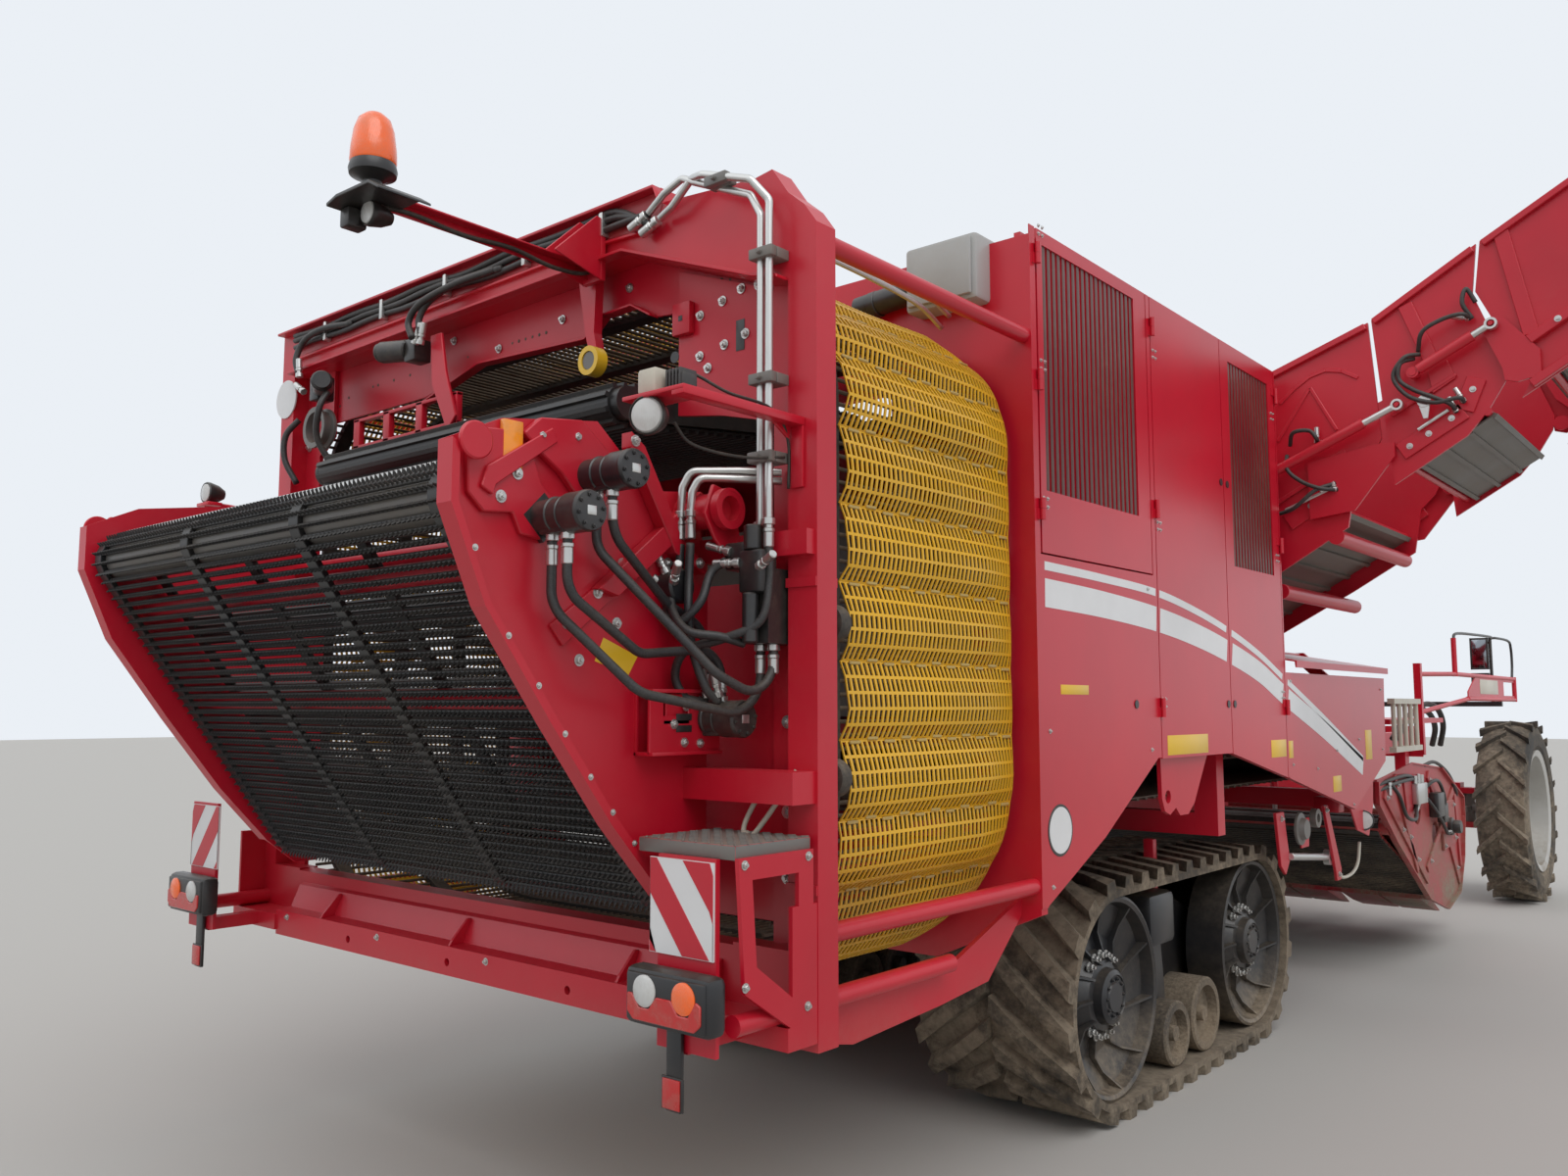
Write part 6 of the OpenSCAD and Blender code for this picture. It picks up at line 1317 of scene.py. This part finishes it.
done(tube(rope, 0.0085, 3), "rope_loop", cream_paint)
knot = lathe([(0.0, -0.02), (0.018, -0.014), (0.022, 0.0), (0.017, 0.014), (0.0, 0.02)],
             (1.508, -0.066, 1.588), (1, 0, 0.4), 14)
done(knot, "rope_knot", cream_paint)

# ---------------------------------------------------------- posts: bolts, collars, rubber rollers of the ring
bolts([(1.60, 0.079, z) for z in (3.30, 3.02, 2.88, 2.84, 2.30, 2.02, 1.62)]
      + [(1.56, 0.079, z) for z in (1.95, 1.75, 1.66, 1.45)], "post_bolts", r=0.015, axis=(0, -1, 0),
      mirror=True)
rubber_rolls = [lathe([(0.0, 0.0), (0.030, 0.0), (0.058, 0.006), (0.062, 0.014), (0.062, 0.050),
                       (0.058, 0.058), (0.030, 0.062), (0.0, 0.062)], (1.688, 0.125, z), (0, 1, 0), 36)
                for z in (2.27, 1.77)]
done(both(joined(rubber_rolls)), "edge_rollers", black_rubber)

# -------------------------------------------------------- side panels: latches, hinges, signs, blank stickers
def latch(y, z):
    """A round push latch of a panel."""
    return lathe([(0.0, 0.0), (0.018, 0.0), (0.020, 0.002), (0.020, 0.004), (0.0, 0.0045)], (HALF_W, y, z),
                 (1, 0, 0), 20)


latch_spots = [("door_middle", 3.46, 2.013), ("door_vent_front", 3.55, 2.013), ("chassis", 2.324, 2.01),
               ("door_middle", 3.46, 3.2), ("door_vent_front", 3.55, 3.2)]
for k, (body, y, z) in enumerate(latch_spots):
    done(latch(y, z), f"latch_{k}", black_plastic, body)
for k, (body, spots) in enumerate([("door_vent_rear", [(1.50, z) for z in (2.72, 3.30, 3.88)]),
                                   ("door_middle", [(2.63, z) for z in (1.90, 2.75, 3.60)]),
                                   ("door_vent_front", [(4.31, z) for z in (1.95, 2.75, 3.60)])]):
    bolts([(HALF_W, y + dy, z + dz) for y, z in spots for dy in (-0.012, 0.02) for dz in (0.10, 0.135)],
          f"hinge_bolts_{k}", body, 0.006)
STICKERS = [
    # name, body, and y0, y1, z0, z1 of each blank sticker
    ("sticker_middle", "door_middle", [(2.66, 3.16, 1.768, 1.862)]),
    ("sticker_front", "door_vent_front", [(4.09, 4.34, 1.712, 1.81)]),
    ("stickers_fixed", "chassis", [(4.385, 4.46, 1.70, 1.80), (5.95, 6.10, 1.64, 1.84),
                                   (5.20, 5.37, 1.46, 1.56),
                                   (1.60, 1.85, 2.05, 2.09)]),
]
for name, body, places in STICKERS:
    blanks = [block((HALF_W - 0.001, y0, z0), (HALF_W + 0.001, y1, z1), 0.0003) for y0, y1, z0, z1 in places]
    done(joined(blanks), name, decal_yellow, body)
disc = bar((HALF_W - 0.002, 1.57, 1.50), (HALF_W + 0.002, 1.57, 1.50), 0.105, 48, 0.001)
inner_disc = bar((HALF_W + 0.001, 1.57, 1.50), (HALF_W + 0.0032, 1.57, 1.50), 0.094, 48, 0.0005)
left_disc = bar((-1.70, -0.006, 3.55), (-1.70, 0.002, 3.55), 0.098, 48, 0.001)
done(disc, "sign_rim", black_plastic)
done(inner_disc, "sign_face", white_paint)
done(left_disc, "sign_left_post", white_paint)
small_bolts = [(HALF_W, y, z) for y, z in ((4.45, 1.66), (4.9, 1.62), (5.3, 1.72), (5.8, 1.78), (4.45, 2.15),
                                           (6.38, 2.12), (6.36, 1.70), (5.62, 1.36), (1.50, 1.28),
                                           (1.50, 1.9), (2.48, 1.80), (2.48, 2.55))]
bolts(small_bolts, "panel_bolts", r=0.007)

# ---------------------------------------------------------------- bunker and boom: ribs, rails, hoses
BOOM_Y0, BOOM_Y1 = 4.50, 6.05
TIP_SLOPE = math.tan(math.radians(31))


def both_walls(make):
    """The same raised pieces on the boom's rear and front wall; make(y, s) places them on one face."""
    return joined(make(BOOM_Y0, -1) + make(BOOM_Y1, 1))


def raised(outline, y, s, high):
    return plate(outline, "y", min(y - s * 0.001, y + s * high), max(y - s * 0.001, y + s * high), 0.003)


def strip_outlines(line, width):
    """The outline of a strip of one width over each stretch of a line in a plane."""
    outlines = []
    for (u0, z0), (u1, z1) in zip(line, line[1:]):
        n = Vector((z0 - z1, u1 - u0)).normalized() * width / 2
        outlines.append([(u0 + n.x, z0 + n.y), (u1 + n.x, z1 + n.y), (u1 - n.x, z1 - n.y),
                         (u0 - n.x, z0 - n.y)])
    return outlines


def band_along(line, width, y, s, high):
    """A raised strip of one width along a line in x and z."""
    return [raised(outline, y, s, high) for outline in strip_outlines(line, width)]


def base_ribs(y, s):
    arch = [(1.74 + 0.09 * i, 3.83 + 0.16 * math.sin(i * 0.52)) for i in range(6)]
    return (band_along([(1.70, 4.01), (2.245, 4.205)], 0.035, y, s, 0.03)
            + band_along(arch, 0.022, y, s, 0.008)
            + band_along([(1.72, 3.60), (1.92, 3.90), (2.06, 3.62)], 0.020, y, s, 0.008)
            + band_along([(1.76, 3.10), (2.16, 3.34)], 0.11, y, s, 0.018)
            + band_along([(1.70, 3.22), (2.10, 3.44)], 0.025, y, s, 0.018)
            + [raised([(1.96, 3.26), (2.14, 3.36), (2.10, 3.50), (1.96, 3.44)], y, s, 0.016)])


def mid_ribs(y, s):
    return (band_along([(2.29, 4.225), (2.815, 4.53)], 0.035, y, s, 0.03)
            + band_along([(2.46, 4.29), (2.585, 3.93)], 0.075, y, s, 0.018)
            + band_along([(2.40, 3.44), (2.73, 3.63), (2.80, 3.80)], 0.10, y, s, 0.016)
            + band_along([(2.36, 3.66), (2.70, 3.84)], 0.022, y, s, 0.02)
            + [raised([(2.58, 3.75), (2.70, 3.82), (2.66, 3.93), (2.56, 3.88)], y, s, 0.016)])


def tip_ribs(y, s):
    def under(x):
        return 3.66 + (x - 3.01) * TIP_SLOPE

    def top(x):
        return 4.57 + (x - 2.85) * 0.549

    parts = band_along([(2.865, 4.55), (4.45, top(4.45) - 0.02)], 0.035, y, s, 0.03)
    parts += band_along([(3.06, under(3.06) + 0.27), (4.56, under(4.56) + 0.27)], 0.05, y, s, 0.045)
    parts += band_along([(3.06, under(3.06) + 0.03), (4.56, under(4.56) + 0.03)], 0.045, y, s, 0.045)
    for x in (2.955, 3.42, 3.88, 4.34):
        parts += band_along([(x, top(x) - 0.035), (x + 0.115, under(x + 0.115) + 0.30)], 0.075, y, s, 0.018)
    return parts


done(both_walls(base_ribs), "bunker_ribs", red_paint)
done(both_walls(mid_ribs), "boom_mid_ribs", red_paint, "boom_mid")
done(both_walls(tip_ribs), "boom_tip_ribs", red_paint, "boom_tip")
cross_tube = bar((1.70, BOOM_Y0 + 0.02, 2.69), (1.70, BOOM_Y1 - 0.02, 2.69), 0.045, 28)
done(cross_tube, "cross_tube", red_paint)
boom_hose_lines = [("boom_mid", [(2.50, 4.46, 3.96), (2.44, 4.40, 3.93), (2.43, 4.38, 3.84),
                                 (2.50, 4.38, 3.77), (2.60, 4.39, 3.71), (2.68, 4.42, 3.66),
                                 (2.70, 4.46, 3.62)]), ("boom_mid",
                                                        [(2.53, 4.46, 3.98), (2.46, 4.37, 3.96),
                                                         (2.40, 4.35, 3.86), (2.47, 4.35, 3.74),
                                                         (2.60, 4.37, 3.68), (2.72, 4.42, 3.69),
                                                         (2.74, 4.46, 3.67)]),
                   ("boom_mid", [(2.52, 4.47, 4.00), (2.56, 4.40, 4.09), (2.66, 4.38, 4.14),
                                 (2.76, 4.40, 4.15), (2.79, 4.46, 4.13)]),
                   ("boom_mid", [(2.80, 4.47, 4.13), (2.76, 4.44, 4.22), (2.78, 4.45, 4.30),
                                 (2.82, 4.47, 4.22)]), ("chassis",
                                                        [(1.80, 4.47, 3.56), (1.84, 4.36, 3.62),
                                                         (1.93, 4.34, 3.62), (1.97, 4.38, 3.57),
                                                         (1.96, 4.46, 3.55)]),
                   ("chassis", [(1.78, 4.47, 3.50), (1.80, 4.36, 3.40), (1.88, 4.34, 3.32),
                                (1.98, 4.36, 3.27), (2.06, 4.46, 3.26)]),
                   ("chassis", [(1.72, 4.46, 3.15), (1.83, 4.40, 3.17), (1.95, 4.40, 3.26),
                                (2.05, 4.46, 3.30)]), ]
# The front vent door, opened to 90 degrees, stands just behind these hoses
HOSE_CLEAR_Y = 4.405
for body in ("chassis", "boom_mid"):
    group = []
    for owner, line in boom_hose_lines:
        if owner == body:
            clear = [(x, max(y, HOSE_CLEAR_Y), z) for x, y, z in line]
            group.append(tube(clear, 0.012))
    done(joined(group), f"boom_hoses_{body}", hose_black, body)
for body, spots in (("chassis", [((2.06, 4.455, 3.262), (-1, 0, 0.2)), ((1.96, 4.455, 3.55), (0, 0, 1)),
                                 ((2.05, 4.455, 3.30), (-1, 0, -0.5))]),
                    ("boom_mid", [((2.70, 4.455, 3.62), (-0.4, 0, 1)), ((2.74, 4.455, 3.67), (-0.5, 0, 1)),
                                  ((2.79, 4.455, 4.13), (-0.9, 0, 0.3))])):
    fits = swages(spots, 0.014)
    if body == "boom_mid":
        fits += [bar((2.547, 4.432, 3.70), (2.547, 4.418, 3.70), 0.036, 28),
                 plate([(2.515, 3.69), (2.579, 3.69), (2.563, 3.60), (2.54, 3.60)], "y", 4.42, 4.43, 0.002),
                 bar((2.50, 4.462, 3.55), (2.66, 4.462, 3.64), 0.010, 12)]
    else:
        fits += [bar((1.76, 4.462, 3.17), (2.02, 4.462, 3.27), 0.010, 12),
                 bar((1.40, 4.60, 2.62), (1.66, 4.66, 2.70), 0.010, 12),
                 bar((1.40, 4.63, 2.57), (1.66, 4.69, 2.668), 0.010, 12)]
    done(joined(fits), f"boom_fittings_{body}", steel, body)
bolts([(x, BOOM_Y0 - 0.016, z) for x, z in ((2.668, 3.595), (2.55, 3.525), (2.45, 3.468), (2.78, 3.74))],
      "boom_bolts_mid", "boom_mid", 0.012, axis=(0, -1, 0))
bolts([(x, BOOM_Y0 - 0.018, z) for x, z in ((2.02, 3.255), (1.90, 3.185), (2.12, 3.315), (2.06, 3.43))],
      "boom_bolts_base", "chassis", 0.012, axis=(0, -1, 0))
bolts([(x, BOOM_Y0 - 0.045, 3.66 + (x - 3.01) * TIP_SLOPE + 0.27) for x in (3.2, 3.6, 4.0, 4.4)],
      "boom_bolts_tip", "boom_tip", 0.012, axis=(0, -1, 0))

# Dark strips on the louvred doors, one strip over each slat of the frame: painted shade of the louvres, under
# a real dust film
for name, body, y0, y1, z0, z1, n in (("louvre_rear", "door_vent_rear", 1.515, 2.41, 2.89, 3.94, 20),
                                      ("louvre_front", "door_vent_front", 3.62, 4.25, 2.76, 3.90, 14)):
    pitch = (y1 - y0) / n
    strips = [block((HALF_W - 0.0065, y0 + (i + 0.5) * pitch - pitch * 0.31, z0),
                    (HALF_W - 0.0045, y0 + (i + 0.5) * pitch + pitch * 0.31, z1), 0.0008) for i in range(n)]
    done(joined(strips), name, shaded_dusty_slat, body)

# ---------------------------------------------------------------- left end of the rear beam
left_motors = [bar((-0.50, -0.06, 3.56), (-0.655, -0.10, 3.57), 0.048, 30, 0.006),
               bar((-0.655, -0.10, 3.57), (-0.672, -0.104, 3.571), 0.042, 30, 0.004),
               bar((-1.24, -0.06, 3.52), (-1.12, -0.13, 3.52), 0.050, 30, 0.006),
               bar((-1.12, -0.13, 3.52), (-1.10, -0.142, 3.52), 0.043, 30, 0.004),
               block((-0.50, -0.09, 3.50), (-0.42, -0.002, 3.60), 0.008),
               block((-1.31, -0.09, 3.46), (-1.23, -0.002, 3.58), 0.008)]
done(joined(left_motors), "upper_motors", black_iron)
reel = lathe([(0.075, 0.0), (0.10, 0.0), (0.10, 0.012), (0.085, 0.02), (0.085, 0.045), (0.10, 0.053),
              (0.10, 0.065), (0.075, 0.065), (0.075, 0.0)], (-1.30, -0.002, 3.335), (0, -1, 0), 32)
done(reel, "chain_guard", grey_iron)
fits = swages([((-0.40, -0.10, 3.56), (0.5, 0, 0.9)), ((-0.36, -0.10, 3.55), (0.3, 0, 1)),
               ((-1.43, -0.08, 3.60), (-0.1, 0, 1)), ((-1.38, -0.08, 3.52), (-0.8, 0, 0.5))], 0.015)
done(joined(fits), "upper_fittings", steel)
bracket = [bar((-1.70, -0.385, 2.965), (-1.74, -0.12, 2.96), 0.018, 6),
           bar((-1.74, -0.12, 2.96), (-1.69, -0.001, 2.90), 0.018, 6),
           block((-1.76, -0.40, 2.955), (-1.64, -0.33, 2.972), 0.003)]
done(joined(bracket), "lamp_bracket", red_paint)
web_bar = bar((-1.215, -0.90, 2.702), (1.215, -0.90, 2.702), 0.034, 24)
done(web_bar, "web_top_bar", steel)

# ---------------------------------------------------------------- under the right sill: ram, arms, plates
ram_rod = [bar((1.60, 4.80, 1.085), (1.60, 5.50, 1.018), 0.022, 20),
           lathe([(0.022, 0), (0.05, 0), (0.05, 0.04), (0.022, 0.04), (0.022, 0)], (1.58, 5.53, 1.015),
                 (1, 0, 0), 24)]
done(joined(ram_rod), "sill_ram", steel)
arms = [plate([(5.36, 1.36), (5.44, 1.36), (5.68, 0.93), (5.66, 0.86), (5.58, 0.86), (5.56, 0.93)], "x", 1.62,
              1.64, 0.003), plate([(5.75, 1.42), (6.36, 1.62), (6.42, 1.56), (6.38, 1.30), (6.25, 1.10),
                                   (5.98, 1.16)], "x", 1.655, 1.667, 0.003),
        plate([(4.60, 1.36), (4.74, 1.36), (4.82, 1.06), (4.74, 0.98), (4.66, 1.04)], "x", 1.57, 1.59, 0.003),
        plate([(4.95, 1.30), (5.15, 1.30), (5.12, 1.12), (4.98, 1.12)], "x", 1.60, 1.612, 0.003),
        block((1.50, 5.60, 1.30), (1.66, 5.72, 1.40), 0.006)]
done(joined(arms), "sill_arms", red_paint)
chain_wheel = [
    lathe([(0.0, 0.0), (0.10, 0.0), (0.10, 0.015), (0.07, 0.02), (0.06, 0.05), (0.0, 0.05)],
          (1.60, 4.98, 1.24), (1, 0, 0), 28),
    lathe([(0.03, 0.0), (0.06, 0.0), (0.06, 0.04), (0.03, 0.04), (0.03, 0.0)], (1.60, 5.24, 1.29),
          (1, 0, 0), 24)]
done(joined(chain_wheel), "chain_wheels", grey_iron)
bolts([(1.64, 5.62, 0.90), (1.64, 5.40, 1.33), (1.667, 6.30, 1.55), (1.667, 5.95, 1.42), (1.667, 6.20, 1.20),
       (1.59, 4.69, 1.32)], "sill_bolts", r=0.013)
slack = [(1.63, 5.60, 0.90), (1.63, 5.75, 0.865), (1.63, 5.95, 0.875), (1.62, 6.12, 0.93), (1.60, 6.25, 1.05)]
done(tube(slack, 0.011), "sill_cable", cream_paint)

# -------------------------------------------- digging unit: flanges, ribs, motor and valve on the side plates
DIG_X = 1.64
DIG_OUTLINE = [(6.56, 1.30), (6.56, 1.46), (6.72, 1.47), (7.60, 1.55), (8.50, 1.48), (9.24, 1.20),
               (9.24, 1.04), (9.15, 0.70), (8.95, 0.42), (8.50, 0.33), (7.90, 0.48), (7.00, 1.00)]
edge = []
for (y0, z0), (y1, z1) in zip(DIG_OUTLINE, DIG_OUTLINE[1:] + DIG_OUTLINE[:1]):
    n = Vector((z0 - z1, y1 - y0)).normalized() * 0.012
    edge.append(plate([(y0, z0), (y1, z1), (y1 + n.x, z1 + n.y), (y0 + n.x, z0 + n.y)], "x", DIG_X - 0.001,
                      DIG_X + (0.012 if min(z0, z1) > 1.4 else 0.028), 0.001))
DIG_RIBS = [([(6.75, 1.36), (7.9, 0.62)], 0.07), ([(7.05, 1.48), (7.60, 0.72)], 0.05),
            ([(8.05, 1.45), (8.62, 0.95), (9.0, 0.50)], 0.08), ([(7.90, 0.70), (8.90, 1.28)], 0.06),
            ([(8.95, 1.24), (9.06, 0.62)], 0.05)]
for line, width in DIG_RIBS:
    edge += [plate(outline, "x", DIG_X - 0.001, DIG_X + 0.016, 0.003)
             for outline in strip_outlines(line, width)]
edge.append(plate([(8.40, 1.20), (8.86, 1.20), (8.90, 0.84), (8.45, 0.80)], "x", DIG_X - 0.001, DIG_X + 0.022,
                  0.004))
edge.append(plate([(7.30, 1.44), (7.86, 1.46), (7.86, 1.20), (7.38, 1.14)], "x", DIG_X - 0.001, DIG_X + 0.012,
                  0.004))
done(both(joined(edge)), "dig_ribs", worn_red, "digging_unit")
unit_black = [lathe([(0.0, 0.0), (0.075, 0.0), (0.075, 0.03), (0.055, 0.04), (0.055, 0.085), (0.050, 0.095),
                     (0.0, 0.095)], (DIG_X + 0.02, 8.65, 0.99), (1, 0, 0), 32),
              block((DIG_X, 8.08, 1.10), (DIG_X + 0.075, 8.30, 1.30), 0.012),
              block((DIG_X, 8.34, 1.04), (DIG_X + 0.06, 8.48, 1.20), 0.01)]
done(joined(unit_black), "dig_motor", black_iron, "digging_unit")
unit_hoses = [
    [(1.62, 6.62, 1.42), (1.65, 6.90, 1.455), (1.655, 7.30, 1.47), (1.65, 7.55, 1.45), (1.66, 7.63, 1.41)],
    [(1.62, 6.64, 1.38), (1.655, 6.95, 1.42), (1.66, 7.35, 1.435), (1.66, 7.62, 1.43), (1.66, 7.72, 1.40)],
    [(1.66, 7.60, 1.24), (1.70, 7.40, 1.14), (1.71, 7.10, 1.18), (1.70, 6.95, 1.34), (1.66, 6.86, 1.44)],
    [(1.66, 7.84, 1.30), (1.70, 8.0, 1.18), (1.70, 8.25, 1.05), (1.69, 8.45, 0.95), (1.68, 8.58, 0.95)],
    [(1.66, 7.84, 1.34), (1.70, 8.0, 1.40), (1.70, 8.2, 1.38), (1.70, 8.36, 1.24), (1.67, 8.42, 1.12)],
    [(1.63, 8.00, 1.52), (1.65, 8.30, 1.54), (1.655, 8.70, 1.44), (1.65, 9.00, 1.28), (1.62, 9.15, 1.20)],
]
done(joined([tube(line, 0.014) for line in unit_hoses]), "dig_hoses", hose_black, "digging_unit")
unit_silver = [block((DIG_X + 0.012, 7.52, 1.24), (DIG_X + 0.062, 7.80, 1.40), 0.006),
               *[bar((DIG_X + 0.03, y, 1.40), (DIG_X + 0.03, y, z), 0.018, 6) for y,
                 z in ((7.56, 1.46), (7.66, 1.47), (7.76, 1.46))]]
unit_silver += swages([((1.66, 6.86, 1.44), (0, -0.1, -1)), ((1.68, 8.60, 0.95), (0, -1, 0)),
                       ((1.67, 8.42, 1.14), (0, -0.2, 1)), ((1.67, 7.62, 1.24), (0, -0.6, -0.5)),
                       ((1.66, 7.82, 1.30), (0, 1, -0.6)), ((1.66, 7.82, 1.34), (0, 1, 0.4))], 0.015)
done(joined(unit_silver), "dig_fittings", steel, "digging_unit")
bolts([(DIG_X + 0.016, y, z) for y, z in ((6.80, 1.33), (7.2, 1.07), (7.6, 0.81), (8.1, 1.40), (8.6, 1.07),
                                          (8.9, 0.62), (8.0, 0.76), (8.5, 1.05), (7.1, 1.41), (7.4, 1.0))]
      + [(DIG_X + 0.022, y, z) for y, z in ((8.46, 1.16), (8.84, 1.16), (8.86, 0.88), (8.48, 0.84))],
      "dig_bolts", "digging_unit", 0.014, mirror=True)

# ------------------------------------------------------------- front: guard plate, arched hoses, mirror glass
guard_sheet = plate([(9.75, 2.09), (9.75, 2.14), (10.1, 2.29), (12.0, 2.29), (12.0, 2.25), (11.4, 2.25),
                     (11.4, 2.11), (12.0, 2.11), (12.0, 2.07)], "x", 1.634, 1.646, 0.003)
done(guard_sheet, "guard_sheet", red_paint)
blank = block((1.645, 10.25, 2.12), (1.6485, 11.1, 2.26), 0.001)
done(blank, "guard_label", cream_paint)
loop = [(1.64, 9.27, 2.60), (1.64, 9.40, 2.66), (1.64, 10.2, 2.685), (1.62, 11.0, 2.70),
        (1.585, 11.205, 2.695)]
drop = [(1.64, 11.9, 2.29), (1.64, 11.95, 2.45), (1.64, 11.93, 2.62), (1.64, 11.80, 2.69),
        (1.62, 11.30, 2.70), (1.585, 11.21, 2.695)]
arches = [[(1.15, 9.20, 1.70), (1.22, 9.35, 1.90), (1.28, 9.70, 2.02), (1.30, 10.10, 1.98),
           (1.28, 10.40, 1.82), (1.22, 10.52, 1.62)], [(1.10, 9.24, 1.70), (1.16, 9.40, 1.86),
                                                       (1.22, 9.72, 1.97), (1.24, 10.06, 1.93),
                                                       (1.22, 10.34, 1.79), (1.16, 10.46, 1.62)]]
done(joined([tube(line, 0.013) for line in (loop, drop)]), "mirror_loop", black_plastic)
done(joined([tube(line, 0.026, 5) for line in arches]), "front_hoses", hose_black)
glasses = [block((1.415, 11.1785, z0), (1.545, 11.1815, z1), 0.001) for z0,
           z1 in ((2.395, 2.685), (2.175, 2.325))]
done(both(joined(glasses)), "mirror_glass", mirror_face)
rim_parts = []
for z0, z1 in ((2.38, 2.70), (2.16, 2.34)):
    rim_parts += [block((1.398, 11.170, z0 - 0.002), (1.412, 11.20, z1 + 0.002), 0.003),
                  block((1.548, 11.170, z0 - 0.002), (1.562, 11.20, z1 + 0.002), 0.003),
                  block((1.398, 11.170, z0 - 0.002), (1.562, 11.20, z0 + 0.012), 0.003),
                  block((1.398, 11.170, z1 - 0.012), (1.562, 11.20, z1 + 0.002), 0.003)]
done(both(joined(rim_parts)), "mirror_rims", black_plastic)

# ---------------------------------------------------------------- on top: grey box, silver pipe
top_grey = [block((1.20, 1.30, 3.70), (1.56, 1.50, 3.99), 0.02),
            block((1.22, 1.28, 3.72), (1.54, 1.30, 3.97), 0.008)]
done(joined(top_grey), "air_box", grey_paint)
air_pipe = [bar((0.90, 1.36, 3.80), (1.21, 1.36, 3.82), 0.055, 32, 0.004),
            bar((0.98, 1.36, 3.802), (1.02, 1.36, 3.805), 0.060, 32, 0.003)]
done(joined(air_pipe), "air_pipe", black_plastic)
thin_pipes = [[(1.50, 0.14, 3.70), (1.54, 0.30, 3.66), (1.56, 0.60, 3.64), (1.56, 0.90, 3.62),
               (1.50, 1.18, 3.60)], [(1.46, 0.14, 3.66), (1.50, 0.32, 3.62), (1.52, 0.62, 3.60),
                                     (1.52, 0.92, 3.58), (1.46, 1.18, 3.56)]]
done(joined([tube(line, 0.011) for line in thin_pipes]), "top_pipes", steel)

# ---------------------------------------------------- red sheet behind the right post, rods of the intake web
back_sheet = plate([(1.16, 1.30), (1.512, 1.30), (1.512, 2.42), (1.16, 2.42)], "y", 0.105, 0.115, 0.002)
done(back_sheet, "post_sheet", red_paint)
intake_low, intake_high = Vector((8.3464, 0.5256)), Vector((6.9, 1.11))
INTAKE_R = 0.07
intake = [web_band(-1.575, 1.575, 0.0005, 0.0095, intake_high, intake_low, INTAKE_R, 72)]
around_web = 2 * (intake_low - intake_high).length + 2 * math.pi * INTAKE_R
for i in range(66):
    p, _ = web_point(i * around_web / 66, 0.012, intake_high, intake_low, INTAKE_R)
    intake.append(bar((-1.57, p.x, p.y), (1.57, p.x, p.y), 0.007, 6, 0.001))
done(joined(intake), "intake_rods", web_rubber, "digging_unit")
